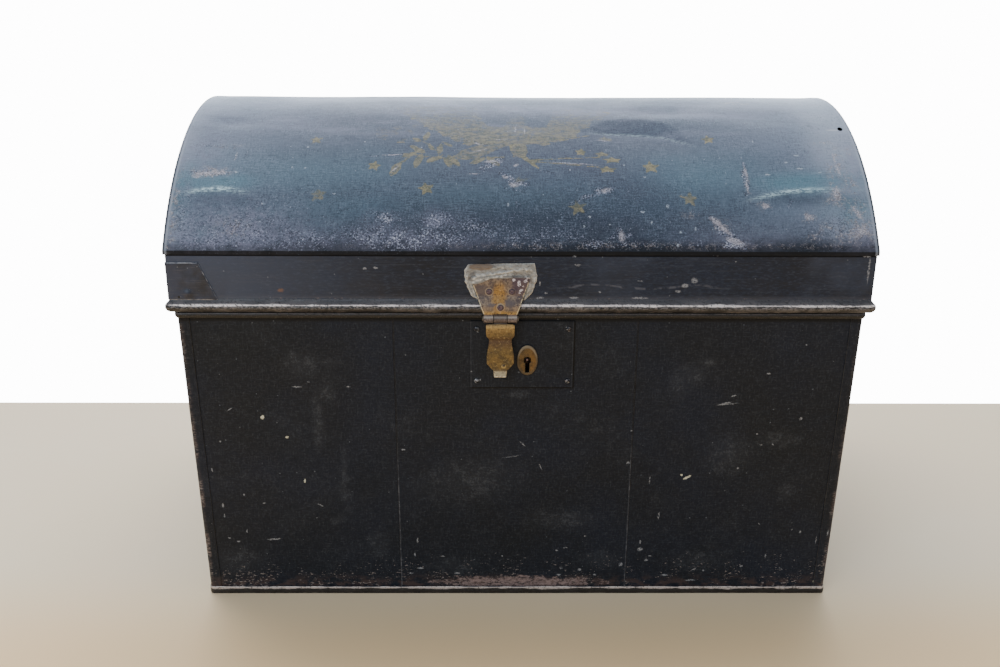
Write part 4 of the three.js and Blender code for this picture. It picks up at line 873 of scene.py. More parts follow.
def dome_hem(tone, at, x, s):
    """Darker paint along the hem in front and behind, a faint pale line on the lip, partly wear and partly
    painted highlight, and painted shade on the skirt.
    """
    away = DOME_REACH - abs(s)
    torn = at.noise(3.4 * MM, 6, 0.72, stretch=(0.4, 1, 1), shift=7.0)
    broad = at.noise(0.06, 3, shift=17.0)
    left = x.rise(-0.26, -0.12, 3 * MM, 0)
    left = left + x.rise(0.16, 0.3, 0, -5 * MM)
    edge = away + left + (torn * (14 * MM) + broad * (-12 * MM))
    close = edge.rise(21 * MM, 2 * MM)
    tone = tone.coat(close * 0.92, 24, 27, 37)
    fold = away.rise(7.4 * MM, 6.2 * MM) * x.rise(0.06, 0.2, 0.35, 0.9)
    tone = tone.coat(fold * torn.rise(0.62, 0.5), 20, 23, 28)
    # Faint pale broken line on the lip: partly wear, partly painted highlight.
    lip = away.rise(-2.4 * MM, -1.2 * MM, 1, 0)
    worn = at.noise(5 * MM, 5, 0.7, stretch=(0.3, 1, 1), shift=13.0).rise(0.46, 0.58)
    # Painted shade: the skirt below the hem, near-black.
    under = away.rise(0.8 * MM, -0.2 * MM)
    tone = tone.coat(under * 0.92, 8, 10, 16)
    return tone.coat(lip * worn * 0.14, 90, 94, 106), under


def gild(net, tone, at):
    """Worn gold paint, from the distances that the dome's points carry."""
    depth = net.attribute("gilt")
    fade = net.attribute("gilt_fade")
    ragged = at.noise(2.2 * MM, 5, 0.7) - 0.5
    frayed = at.noise(6 * MM, 5, 0.7, stretch=(0.6, 1, 1), shift=31.0) - 0.5
    edge = depth + (ragged * (2.2 * MM) + frayed * fade * (22 * MM))
    shape = edge.rise(-0.25 * MM, 0.25 * MM)
    bar = fade * 0.34 + 0.25
    torn = at.noise(5 * MM, 7, 0.72, stretch=(0.6, 1, 1), shift=2.2)
    kept = (torn - bar).rise(-0.06, 0.1)
    gilt = shape * kept * fade.rise(0, 1, 0.84, 0.2)
    strokes = at.shaken(12 * MM, 9 * MM).noise(3 * MM, 5, 0.66, stretch=(0.5, 1, 1), shift=1.1)
    gold = strokes.rise(0.38, 0.6).blend((94, 94, 78), (150, 138, 102))
    gold = gold.coat(at.noise(1.6 * MM, 5, 0.7).rise(0.56, 0.7), 182, 174, 152)
    return tone.mix(gilt, gold), gilt


def perish(net, tone, at):
    """Chalky flecks, haze with some painted sheen near the crown, and brown loss where the dome's points say
    that the paint has perished; pale ridge lines, partly rubbed and partly painted highlight.
    """
    chalk = net.attribute("chalk")
    # Haze from the dome's haze values: chalky perished paint, and painted sheen near the crown.
    haze = at.noise(0.016, 7, 0.74).rise(0.3, 0.66) * net.attribute("haze")
    tone = tone.coat(haze * 0.8, 134, 132, 152)
    grain = at.noise(1.9 * MM, 4, 0.72)
    patch = at.noise(0.012, 5, 0.68, shift=8.0)
    level = chalk * patch.rise(0.32, 0.6, 0.55, 1.2)
    bar = 0.68 - level * 0.21
    flecks = (grain - bar).rise(-0.01, 0.05)
    tone = tone.coat(flecks * 0.66, 158, 160, 180)
    strong = (grain - bar).rise(0.08, 0.14)
    tone = tone.coat(strong * 0.85, 220, 220, 228)
    pores = at.noise(1.7 * MM, 3, 0.7, shift=11.0).rise(0.5, 0.42)
    tone = tone.coat(net.math("MINIMUM", pores * level * 1.1, 0.85), 32, 36, 50)
    # Pale ridge lines: partly rubbed paint, partly painted highlight.
    ridge_speckle = at.noise(1.9 * MM, 5, 0.74, stretch=(0.3, 1, 1), shift=19.0)
    rub = net.attribute("rub") * ridge_speckle.rise(0.46, 0.55, 0.0, 1)
    tone = tone.coat(rub, 216, 242, 246)
    rust = net.attribute("rust")
    web = abs(at.noise(7 * MM, 7, 0.72, shift=4.4) - 0.5)
    clump = at.noise(9 * MM, 5, 0.66, shift=28.0).rise(0.42, 0.54)
    gone = (rust * 0.062 - web).rise(0, 0.02) * clump
    shade = grain.rise(0.44, 0.56).blend((112, 98, 96), (188, 180, 180))
    tone = tone.mix(gone * 0.72, shade)
    pin = at.shaken(3 * MM, 1.8 * MM).spots(17 * MM, 0.042, 0.32)
    return tone.coat(pin * 0.5, 176, 182, 194)


# Scrapes: pixel, half sizes in millimetres, turn in degrees
SCRAPES = [
    (203, 173, 13, 3.4, 4), (218, 171, 12, 3.0, -4), (197, 175, 7, 3.4), (746, 172, 1.5, 13, 6),
    (747.5, 186, 1.6, 11), (716, 221, 9, 4.2, -42), (725, 229, 11, 3.2, -46), (735, 241, 12, 4.2, -20),
    (622, 236, 4, 8), (606, 189, 7, 3.0, 20), (514, 184, 7, 4.0), (505, 176, 4, 3.0, -30),
    (236, 155, 1.0, 9, -4), (838, 170, 2.4, 12, 10), (836, 192, 4, 10, -20), (857, 212, 3.4, 12, 30),
    (809, 217, 5, 4.5), (861, 231, 8, 5, 20), (766, 206, 4.6, 3.4, 40), (834, 158, 1.8, 10),
    (515.5, 128, 1.1, 9), (524.5, 130, 1.0, 8, -4), (501, 138, 10, 1.0, 10), (478, 142.5, 5, 1.3, -24),
    (392, 154, 13, 0.9, 3), (574, 162.5, 32, 0.9, -5), (480, 149, 11, 0.9, 22), (395, 168, 1.1, 8, -40),
    (474, 173, 9, 0.8, 4), (603, 138, 8, 1.2, 3), (490, 160, 7, 3.0, 14), (516, 164, 4, 2.2, 30),
]


def dome_marks(net, tone, at):
    """Scrapes and single chips on the dome, and the small hole near its right end, painted near-black as
    shade.
    """
    torn = marks(SCRAPES, on_dome, MM)
    grain = at.noise(1.6 * MM, 4, 0.7, shift=33.0)
    pale = grain.rise(0.42, 0.58).blend((132, 122, 126), (206, 200, 206))
    tone = tone.mix(torn_marks(net, at, torn, 0.3, 1.05) * 0.78, pale)
    table = marks(DOME_CHIPS, on_dome, MM)
    tone = tone.coat(torn_marks(net, at, table, 0.4, 0.9) * 0.75, 184, 190, 200)
    place = on_dome(*DOME_HOLE)
    dull = at.ellipse((place[0] - 8 * MM, place[1] - 2 * MM), (8 * MM, 2 * MM))
    tone = tone.coat(dull.rise(0.4, 1.2, 0.6, 0), 186, 188, 194)
    # The hole: painted near-black, as shade.
    hole = at.ellipse(place, HOLE_HALF)
    return tone.coat(hole.rise(0.8, 1.05, 1, 0), 3, 3, 4)


# Dome

FINE = 2 * MM
COARSE = 5 * MM
HEM_STEP = 0.5 * MM
HEM_ZONE = 7 * MM
# A true curve kept inside the box of the frame's faceted one
DOME_INSET = 0.25 * MM
DECORATED = (-0.222, 0.214, -0.236, -0.028)


def grid_lines(*stops):
    """Grid lines through (place, spacing) stops: each spacing holds up to the next place."""
    made = []
    for (start, spacing), (end, _) in zip(stops, stops[1:]):
        made += list(np.linspace(start, end, max(1, round((end - start) / spacing)) + 1)[:-1])
    return np.array(made + [stops[-1][0]])


def dome_section(s):
    """Places (Y, Z) and outward directions on the dome's section, at places along its arc."""
    turn = np.clip(s, -DOME_REACH, DOME_REACH) / DOME_RADIUS
    over = np.maximum(np.abs(s) - DOME_REACH, 0)
    y = DOME_RADIUS * np.sin(turn)
    z = DOME_CENTRE + DOME_RADIUS * np.cos(turn) - over
    out_y = np.where(over > 0, np.sign(s), np.sin(turn))
    out_z = np.where(over > 0, 0, np.cos(turn))
    return y, z, out_y, out_z


# Folds that stand out: pixels along each, depth of the dents beside it, their reach above and below
RIDGES = [
    ([(184, 193), (196, 190), (215, 188), (228, 188.5), (244, 192)], 1.3, (6, 24), (4, 14)),
    ([(752, 200), (770, 195), (788, 191.5), (812, 190), (838, 190)], 1.2, (6, 24), (4, 16)),
]
# The crescent dent: pixels of its upper edge and of the fold below it, its slope, and its fade below
CRESCENT_TOP = [
    (588, 127), (604, 119.5), (626, 117.5), (645, 118.5), (662, 121.5), (676, 128), (688, 138),
    (700, 147.5),
]
CRESCENT_FOLD = [
    (588, 132), (604, 130.5), (626, 130.5), (645, 131.5), (662, 133.5), (676, 138), (688, 143), (700, 148),
]
CRESCENT_SLOPE = 0.165
CRESCENT_FADE = 60 * MM
# Shallow dents: pixel, half sizes across and along the arc, depth
HOLLOWS = [
    (222, 236, 30, 16, 1.2), (330, 122, 60, 22, 1.0), (232, 122, 24, 12, 1.4), (660, 112, 50, 16, 1.3),
    (760, 118, 40, 20, 1.0), (470, 238, 34, 12, 0.8), (690, 228, 28, 12, 1.0), (846, 128, 5, 5, 1.2),
]


def along_pixels(x, pixels):
    """The place along the arc of a drawn line, at each X, and how near X is to the line's middle."""
    places = np.array([on_dome(u, v) for u, v in pixels])
    line = np.interp(x, places[:, 0], places[:, 1])
    start, end = places[0, 0], places[-1, 0]
    taper = 26 * MM
    window = smooth_step(x, start - taper / 2, start + taper) * smooth_step(-x, -end - taper / 2, taper - end)
    return line, window


def ridge_depth(x, s, pixels, depth, above, below):
    line, window = along_pixels(x, pixels)
    profile = np.zeros_like(x)
    for side, (drop, rise) in ((1, above), (-1, below)):
        past = np.maximum(side * (s - line), 0)
        profile += (1 - np.exp(-past / (drop * MM))) * np.exp(-past / (rise * MM))
    return depth * MM * profile * window


def crescent_depth(x, s):
    """A dent that slopes in from its upper edge to a fold, and fades below it."""
    top, _ = along_pixels(x, CRESCENT_TOP)
    fold, window = along_pixels(x, CRESCENT_FOLD)
    deepest = CRESCENT_SLOPE * (top - fold)
    soft = 3.4 * MM
    above = CRESCENT_SLOPE * (np.sqrt((top - s) ** 2 + soft**2) + top - s - soft) / 2
    below = deepest * np.exp(-np.maximum(fold - s, 0) / CRESCENT_FADE)
    return np.where(s > fold, np.maximum(above, 0), below) * window


def ridge_rub_and_highlight(x, s):
    """How pale the ridges and the crescent's fold are painted: partly rubbed paint, partly painted highlight.
    """
    whole = np.zeros_like(x)
    for (pixels, *_), strength in zip(RIDGES, (0.95, 0.7)):
        line, window = along_pixels(x, pixels)
        away = (s - line - 0.6 * MM) / (2.6 * MM)
        whole = np.maximum(whole, strength * window * np.exp(-away**2))
    line, window = along_pixels(x, CRESCENT_FOLD)
    return np.maximum(whole, 0.34 * window * np.exp(-(((s - line) / (1.4 * MM)) ** 2)))


def dome_depth(x, s):
    """How far the sheet is pushed in at each place."""
    depth = np.zeros_like(x)
    for ridge in RIDGES:
        depth += ridge_depth(x, s, *ridge)
    depth += crescent_depth(x, s)
    for u, v, half_x, half_s, reach in HOLLOWS:
        centre_x, centre_s = on_dome(u, v)
        away = ((x - centre_x) / (half_x * MM)) ** 2 + ((s - centre_s) / (half_s * MM)) ** 2
        depth += reach * MM * np.exp(-away)
    flat = np.stack([x.ravel(), s.ravel(), np.zeros(x.size)], axis=1)
    depth += (
        wobble(flat, 0.13, 1.1 * MM, 2.0) + wobble(flat, 0.045, 0.35 * MM, 5.0)
    ).reshape(x.shape) + 0.6 * MM
    ends = smooth_step(DOME_HALF_WIDTH - np.abs(x), 3 * MM, 16 * MM)
    edges = smooth_step(DOME_REACH - np.abs(s), 3 * MM, 20 * MM)
    return depth * ends * edges


def patches(x, s, table):
    """Soft patches: pixel, half sizes across and along the arc in millimetres, strength."""
    whole = np.zeros_like(x)
    for u, v, half_x, half_s, strength in table:
        centre_x, centre_s = on_dome(u, v)
        away = ((x - centre_x) / (half_x * MM)) ** 2 + ((s - centre_s) / (half_s * MM)) ** 2
        whole = np.maximum(whole, strength * np.exp(-away))
    return np.clip(whole, 0, 1)


CHALK = [
    (240, 230, 80, 34, 0.62), (215, 240, 44, 16, 0.8), (300, 238, 60, 16, 0.75), (400, 238, 92, 18, 0.95),
    (382, 220, 22, 14, 0.9), (362, 238, 22, 14, 0.9), (437, 222, 26, 16, 0.85), (470, 226, 40, 16, 0.75),
    (520, 238, 110, 14, 0.7), (640, 244, 180, 8, 0.48), (520, 225, 170, 30, 0.42),
    (700, 222, 120, 30, 0.34), (182, 215, 12, 44, 0.6), (840, 230, 50, 24, 0.5), (620, 190, 120, 34, 0.3),
    (300, 205, 140, 60, 0.3), (594, 244, 14, 6, 0.9), (701, 243, 6, 5, 0.95), (270, 205, 60, 24, 0.45),
]
# Chalky strokes: pixels of their ends, width in millimetres, strength
CHALK_LINES = [
    ((744, 161), (748, 200), 3.0, 1.0), ((743, 172), (747, 186), 6, 0.9), ((712, 217), (724, 232), 5, 1.0),
    ((722, 230), (742, 246), 9, 0.95), ((583, 197), (598, 193), 6, 0.95), ((598, 191), (609, 188), 9, 1.0),
    ((570, 203), (580, 200), 4, 0.8), ((619, 230), (624, 243), 7, 1.0), ((614, 236), (630, 235), 6, 0.95),
    ((500, 172), (512, 178), 5, 0.95), ((510, 181), (528, 184), 6, 0.9), ((506, 187), (524, 191), 4, 0.75),
    ((483, 168), (500, 159), 9, 0.85), ((193, 171), (228, 172), 5, 0.9),
    ((197, 144), (226, 146), 2.5, 0.75), ((234, 145), (235, 157), 2, 0.95),
    ((246, 149), (246, 158), 2, 0.75), ((726, 245), (742, 245), 7, 1.0), ((517, 201), (519, 206), 3, 1.0),
    ((384, 216), (390, 222), 6, 1.0), ((792, 200), (788, 208), 2, 0.9), ((540, 170), (552, 172), 4, 0.6),
    ((455, 176), (462, 172), 3, 0.6), ((368, 156), (404, 153), 1.6, 0.9),
    ((391, 174), (398, 163), 1.4, 0.8), ((466, 139), (486, 144), 3, 0.8),
    ((376, 129), (384, 130), 1.5, 0.8), ((421, 146), (426, 151), 1.4, 0.7),
    ((448, 157), (456, 165), 1.4, 0.7), ((194, 172), (222, 173), 4, 1.0),
]
# Chalky haze of perished paint; the wide patches at (300, 120) and (520, 109), near the crown, are painted
# sheen.
HAZE = [
    (235, 230, 66, 32, 0.9), (230, 228, 22, 20, 1.0), (180, 205, 12, 46, 0.6), (300, 240, 60, 16, 0.5),
    (400, 240, 90, 14, 0.6), (437, 222, 24, 14, 0.6), (740, 240, 50, 12, 0.5), (850, 225, 34, 34, 0.5),
    (860, 240, 22, 10, 0.7), (300, 120, 120, 24, 0.3), (380, 222, 20, 12, 0.5), (210, 171, 18, 8, 1.0),
    (230, 238, 90, 20, 0.9), (845, 190, 22, 60, 0.6), (180, 160, 12, 60, 0.6), (866, 232, 18, 22, 0.9),
    (170, 200, 8, 70, 1.0), (855, 170, 24, 60, 0.7), (200, 150, 30, 50, 0.5), (520, 109, 330, 22, 0.5),
    (174, 170, 14, 70, 0.8), (178, 210, 10, 40, 0.6),
]
# Painted teal sheen, strongest by the ridges: pixel, half sizes across and along the arc in millimetres,
# strength
TEAL = [
    (300, 172, 120, 36, 0.4), (215, 180, 50, 14, 1.0), (715, 175, 70, 34, 0.5), (810, 182, 70, 16, 1.0),
    (850, 205, 26, 26, 0.8), (480, 195, 160, 24, 0.25), (330, 205, 120, 22, 0.3), (680, 160, 50, 20, 0.3),
    (180, 185, 14, 34, 0.9),
]
# Painted shade: under the ridges, in a broad band below the crown, and low in the middle
SHADE = [
    (216, 199, 46, 11, 0.8), (205, 203, 20, 14, 0.7), (806, 199, 56, 9, 0.9), (640, 206, 60, 18, 0.6),
    (560, 222, 130, 24, 0.7), (720, 205, 60, 22, 0.45), (800, 232, 70, 16, 0.4), (420, 215, 90, 22, 0.4),
    (650, 236, 120, 16, 0.7), (300, 150, 60, 20, 0.3), (760, 160, 50, 24, 0.35), (490, 236, 60, 14, 0.5),
    (520, 127, 310, 28, 0.42), (590, 246, 210, 9, 0.85),
]
LOSS = [
    (210, 171, 20, 8, 1.0), (839, 160, 4, 22, 1.0), (834, 180, 5, 24, 1.0), (849, 151, 8, 6, 0.8),
    (822, 142, 14, 4, 0.7), (851, 182, 8, 16, 0.8), (838, 195, 8, 14, 1.0), (858, 210, 12, 14, 0.9),
    (862, 228, 16, 16, 1.0), (846, 236, 12, 10, 0.9), (834, 200, 12, 8, 0.8), (809, 217, 8, 6, 0.9),
    (827, 228, 7, 6, 0.8), (765, 206, 7, 6, 0.9), (815, 237, 8, 4, 0.8), (700, 99, 50, 6, 0.9),
    (610, 98, 36, 5, 0.8), (735, 103, 16, 6, 0.9), (640, 246, 300, 5, 0.45), (172, 215, 6, 60, 0.8),
    (300, 99, 60, 5, 0.5), (722, 226, 8, 8, 0.9), (747, 182, 3, 22, 0.8), (232, 228, 20, 16, 0.5),
    (230, 145, 20, 5, 0.4), (460, 99, 60, 5, 0.5), (690, 214, 10, 6, 0.5), (505, 106, 20, 4, 0.5),
]
# Chips: pixel, half sizes across and along the arc in millimetres
DOME_CHIPS = [
    (292, 166, 1.6, 1.6), (305, 167, 1.3, 1.3), (308, 146, 1.5, 1.4), (334, 193, 2.6, 1.4),
    (365, 141, 1.3, 1.2), (570, 169, 1.4, 1.4), (624, 163, 1.6, 1.2), (668, 205, 2.2, 3.2),
    (643, 211, 3.4, 1.8), (590, 216, 1.8, 1.6), (584, 226, 1.4, 2.4), (652, 222, 1.4, 2.6),
    (681, 231, 1.8, 2.0), (696, 228, 1.4, 3.0), (678, 245, 1.6, 2.6), (645, 175, 1.6, 1.2),
    (753, 141, 1.0, 4.0), (796, 155, 4.5, 1.2), (786, 162, 2.4, 1.6), (800, 168, 5.0, 1.2),
    (768, 174, 3.6, 1.2), (508, 204, 1.4, 3.2), (262, 203, 1.4, 1.2), (610, 224, 1.4, 1.2),
    (820, 172, 2.6, 1.0), (236, 171, 3.0, 1.2),
]
DOME_HOLE = (840, 128.5)
HOLE_HALF = (2.8 * MM, 4.2 * MM)


# Gilding: distances to flat shapes, positive inside

def inside_star(x, s, centre, radius, turn):
    """Five-pointed star."""
    angle = np.arctan2(s - centre[1], x - centre[0]) - turn - pi / 2
    away = np.hypot(x - centre[0], s - centre[1])
    fold = np.abs((angle + pi / 5) % (2 * pi / 5) - pi / 5)
    tip, notch = radius, radius * 0.42
    edge = Vector((tip - notch * cos(pi / 5), -notch * sin(pi / 5)))
    normal = Vector((-edge.y, edge.x)).normalized()
    return (tip - away * np.cos(fold)) * normal.x - away * np.sin(fold) * normal.y


def inside_line(x, s, start, end, width, end_width=None):
    """Stroke between two places, which may taper."""
    end_width = width if end_width is None else end_width
    run = (end[0] - start[0], end[1] - start[1])
    length = run[0] ** 2 + run[1] ** 2
    share = np.clip(((x - start[0]) * run[0] + (s - start[1]) * run[1]) / length, 0, 1)
    away = np.hypot(x - start[0] - share * run[0], s - start[1] - share * run[1])
    return (width + (end_width - width) * share) / 2 - away


def inside_field(x, s, corners):
    """Any closed outline."""
    away = np.full_like(x, 1.0)
    crossed = np.zeros(x.shape, bool)
    for start, end in zip(corners, corners[1:] + corners[:1]):
        away = np.minimum(away, -inside_line(x, s, start, end, 0.0))
        spans = (start[1] > s) != (end[1] > s)
        height = (end[1] - start[1]) or 1e-9
        crossed ^= spans & (x < start[0] + (s - start[1]) / height * (end[0] - start[0]))
    return np.where(crossed, away, -away)


def inside_leaf(x, s, base, tip, fullness=0.3):
    """Leaf shape between two places: two arcs that meet at its ends."""
    run = Vector((tip[0] - base[0], tip[1] - base[1]))
    half = run.length / 2
    across = Vector((-run.y, run.x)).normalized()
    width = fullness * half
    radius = (half**2 + width**2) / (2 * width)
    middle = (Vector(base) + Vector(tip)) / 2
    first = radius - np.hypot(
        x - (middle + across * (radius - width)).x, s - (middle + across * (radius - width)).y,
    )
    second = radius - np.hypot(
        x - (middle - across * (radius - width)).x, s - (middle - across * (radius - width)).y,
    )
    return np.minimum(first, second)


# Stars: pixel, radius in millimetres, turn in degrees, how faded
STARS = [
    ((316, 139), 8.4, 8, 0.22), ((374, 165), 8.8, -12, 0.0), ((318, 194), 10, 5, 0.4),
    ((426, 188), 10.0, 14, 0.0), ((520, 180), 8.5, 0, 0.6), ((578, 207), 10.5, 10, 0.25),
    ((581, 151), 8.0, -8, 0.1), ((651, 165), 11.0, 3, 0.0), ((690, 198), 10.5, -6, 0.35),
    ((708, 139), 9, 6, 0.0),
]
# Bird with spread wings: pixels of the outlines of its wings and tail
LEFT_WING = [
    (397, 108), (420, 105), (450, 105), (478, 107), (481, 116), (486, 124), (500, 126), (508, 122),
    (509, 140), (498, 145), (490, 144), (482, 147), (476, 143), (468, 145), (463, 140), (455, 141),
    (451, 136), (443, 135), (438, 130), (430, 129), (426, 124), (418, 122), (412, 117), (403, 114),
]
LOW_FEATHERS = [
    (509, 138), (509, 144), (497, 149), (484, 154), (472, 159), (462, 158), (453, 157), (460, 150),
    (474, 145),
]
RIGHT_WING = [
    (524, 122), (530, 126), (546, 126), (551, 118), (553, 109), (575, 107), (600, 109), (609, 113),
    (600, 118), (592, 120), (589, 127), (580, 129), (576, 136), (566, 136), (560, 141), (551, 140),
    (545, 145), (536, 142), (526, 144),
]
BIRD_TAIL = [(510, 143), (526, 143), (527, 150), (524, 157), (513, 156), (511, 150)]
BODY_FIELD = [(507, 120), (511, 113), (519, 112), (524, 118), (528, 128), (528, 144), (508, 144), (504, 130)]
# The bird's outlines, and how faded each is
BIRD_FIELDS = [
    (LEFT_WING, 0.4), (RIGHT_WING, 0.42), (LOW_FEATHERS, 0.5), (BIRD_TAIL, 0.42), (BODY_FIELD, 0.5),
]
FEATHERS = [
    ((425, 110), (398, 110)), ((440, 114), (409, 119)), ((455, 118), (423, 126)), ((470, 124), (436, 132)),
    ((484, 130), (449, 138)), ((494, 133), (462, 143)), ((503, 134), (474, 148)), ((507, 137), (486, 149)),
    ((580, 110), (612, 112)), ((572, 115), (604, 119)), ((562, 121), (592, 127)), ((552, 127), (580, 134)),
    ((541, 131), (567, 140)), ((532, 133), (552, 144)),
]
BIRD_BODY = [((513, 120), (514, 150), 5), ((518, 116), (518, 152), 4), ((508, 126), (512, 148), 4)]
BIRD_LEGS = [((520, 153), (538, 167), 6), ((530, 160), (543, 161), 3)]
# Arrows and twig: pixels, width in millimetres
ARROWS = [((527, 159), (600, 156), 1.7), ((527, 160), (600, 166), 1.9), ((556, 140), (590, 134), 1.4)]
# Flattened stars: pixel, radius in millimetres, how faded
FLAT_STARS = [
    ((603, 152.5), 11, 0.25), ((612.5, 158), 13, 0.0), ((607.5, 168), 13, 0.0), ((606, 136), 10, 0.45),
]
FLATNESS = 2.1
TWIG = [
    ((504, 156), (470, 158), 2.0), ((470, 158), (440, 157), 2.0), ((440, 157), (404, 153), 1.9),
    ((446, 157), (424, 141), 1.4), ((470, 158), (452, 145), 1.4), ((412, 154), (392, 170), 1.6),
    ((418, 141), (396, 142), 1.2),
]
LEAVES = [
    ((426, 152), (410, 145)), ((439, 155), (441, 142)), ((417, 152), (401, 156)), ((422, 153), (414, 168)),
    ((402, 160), (390, 176)), ((425, 162), (442, 155)), ((444, 156), (452, 168)), ((447, 154), (460, 166)),
    ((469, 163), (487, 156)), ((486, 155), (500, 165)), ((424, 141), (412, 137)), ((424, 141), (429, 131)),
    ((452, 146), (443, 141)), ((434, 150), (428, 142)),
]
FAINT_LEAVES = [
    ((384, 124), (378, 130)), ((392, 124), (402, 130)), ((396, 130), (390, 138)), ((404, 128), (414, 134)),
    ((376, 132), (386, 140)), ((412, 128), (420, 122)), ((396, 142), (406, 138)), ((376, 129), (396, 131)),
]


class Gilding:
    """Distance into the nearest gilded shape at each place, and how faded that shape is."""

    def __init__(self, x, s):
        self.x = x
        self.s = s
        self.depth = np.full_like(x, -10 * MM)
        self.fade = np.zeros_like(x)

    def add(self, depth, fade):
        nearer = depth > self.depth
        self.depth = np.where(nearer, depth, self.depth)
        self.fade = np.where(nearer, fade, self.fade)

    def line(self, start, end, width, fade, end_width=None):
        first, last = on_dome(*start), on_dome(*end)
        last_width = None if end_width is None else end_width * MM
        self.add(inside_line(self.x, self.s, first, last, width * MM, last_width), fade)

    def leaf(self, base, tip, fullness, fade):
        self.add(inside_leaf(self.x, self.s, on_dome(*base), on_dome(*tip), fullness), fade)


def gild_dome(x, s):
    gilding = Gilding(x, s)
    high = smooth_step(s, -0.13, -0.05)
    for field, fade in BIRD_FIELDS:
        corners = [on_dome(u, v) for u, v in field]
        gilding.add(inside_field(x, s, corners), fade + 0.32 * high)
    for table, fullness, fade in ((FEATHERS, 0.2, 0.25), (LEAVES, 0.34, 0.3), (FAINT_LEAVES, 0.4, 0.75)):
        for base, tip in table:
            gilding.leaf(base, tip, fullness, fade)
    for table, fade in ((BIRD_BODY, 0.1), (ARROWS, 0.1), (TWIG, 0.3)):
        for start, end, width in table:
            gilding.line(start, end, width, fade)
    for start, end, width in BIRD_LEGS:
        gilding.line(start, end, width, 0.15, 2.5)
    for pixel, radius, fade in FLAT_STARS:
        across, up = on_dome(*pixel)
        tall = up + (s - up) * FLATNESS
        gilding.add(inside_star(x, tall, (across, up), radius * MM, 0.1), fade)
    for centre, radius, turn, fade in STARS:
        gilding.add(inside_star(x, s, on_dome(*centre), radius * MM, radians(turn)), fade)
    return gilding


def dome_lines():
    """Grid lines across and along the arc: close at the edges and under the decoration."""
    end = DOME_HALF_WIDTH - HEM_ZONE
    hem = DOME_REACH - HEM_ZONE
    low = DOME_REACH + DOME_SKIRT
    left, right, front, back = DECORATED
    across = grid_lines(
        (-DOME_HALF_WIDTH, MM), (-end, 3.5 * MM), (left, FINE), (right, 3.5 * MM), (end, MM),
        (DOME_HALF_WIDTH, 0),
    )
    along = grid_lines(
        (-low, HEM_STEP), (-hem, 3 * MM), (front, FINE), (back, COARSE), (-back, 1.6 * COARSE), (hem, MM),
        (low, 0),
    )
    return across, along


def surface_points(x, s, depth):
    y, z, out_y, out_z = dome_section(s)
    over = np.abs(s) - DOME_REACH
    curl = 0.35 * MM * smooth_step(over, DOME_SKIRT - 1.2 * MM, DOME_SKIRT)
    return np.stack([x, y - out_y * (depth + curl), z - out_z * (depth + curl)], axis=-1)


def grid_faces(rows, columns, start, turned):
    row, column = np.meshgrid(np.arange(rows - 1), np.arange(columns - 1), indexing="ij")
    first = start + row * columns + column
    faces = np.stack([first, first + columns, first + columns + 1, first + 1], axis=-1).reshape(-1, 4)
    return faces[:, ::-1] if turned else faces


def rim_faces(outer, inner):
    """Five-sided faces along a border whose outer side has two steps for each inner one."""
    return [
        (outer[2 * step], outer[2 * step + 1], outer[2 * step + 2], inner[step + 1], inner[step])
        for step in range(len(inner) - 1)
    ]


def make_dome():
    across, along = dome_lines()
    x, s = np.meshgrid(across, along, indexing="ij")
    depth = dome_depth(x, s)
    outer = surface_points(x, s, depth + DOME_INSET)
    inner = surface_points(x[::2, ::2], s[::2, ::2], depth[::2, ::2] + SHEET)
    rows, columns = x.shape
    inner_rows, inner_columns = inner.shape[:2]
    start = rows * columns
    points = np.concatenate([outer.reshape(-1, 3), inner.reshape(-1, 3)])
    faces = grid_faces(rows, columns, 0, False).tolist()
    faces += grid_faces(inner_rows, inner_columns, start, True).tolist()
    outer_index = np.arange(start).reshape(rows, columns)
    inner_index = start + np.arange(inner_rows * inner_columns).reshape(inner_rows, inner_columns)
    for side in (0, -1):
        faces += rim_faces(outer_index[side], inner_index[side])
        faces += rim_faces(outer_index[:, side], inner_index[:, side])
    mesh = outward_mesh("dome_sheet_metal", points.tolist(), faces)
    flat = np.concatenate([
        np.stack([x, s], -1).reshape(-1, 2), np.stack([x, s], -1)[::2, ::2].reshape(-1, 2),
    ])
    mark_dome(mesh, x, s, len(points))
    spread_flat(mesh, flat)
    piece = place_piece("dome_sheet_metal", mesh, dome_paint(), "lid", "dome_sheet", 35)


def spread_flat(mesh, flat):
    """Writes each point's flat place into the mesh's map."""
    layer = mesh.uv_layers.new(name="flat")
    corners = np.zeros(len(mesh.loops), int)
    mesh.loops.foreach_get("vertex_index", corners)
    layer.data.foreach_set("uv", flat[corners].astype(np.float32).ravel())


def chalk_strokes(x, s):
    whole = np.zeros_like(x)
    for start, end, width, strength in CHALK_LINES:
        inside = inside_line(x, s, on_dome(*start), on_dome(*end), width * MM)
        whole = np.maximum(whole, strength * smooth_step(inside, -1.6 * MM, 1.2 * MM))
    return whole


def mark_dome(mesh, x, s, count):
    gilding = gild_dome(x, s)
    fields = {
        "gilt": gilding.depth,
        "gilt_fade": gilding.fade,
        "chalk": np.maximum(patches(x, s, CHALK), chalk_strokes(x, s)),
        "haze": patches(x, s, HAZE),
        "teal": patches(x, s, TEAL),
        "shade": patches(x, s, SHADE),
        "rust": patches(x, s, LOSS),
        "rub": ridge_rub_and_highlight(x, s),
    }
    for name, values in fields.items():
        padded = np.zeros(count, np.float32)
        padded[: values.size] = values.ravel()
        mesh.attributes.new(name, "FLOAT", "POINT").data.foreach_set("value", padded)


# Beads and foot rim

BEAD_RETURN = 16 * MM
BEAD_LOW, BEAD_HIGH = bead_low.z, bead_high.z
BEAD_DEPTH = 5.7 * MM
BEAD_CORNER = 2.2 * MM
BEAD_FILLET = 3.6 * MM
CORNER_STEPS = 8
STOP_DEPTH = 2.5 * MM
STOP_CORNER = 4 * MM


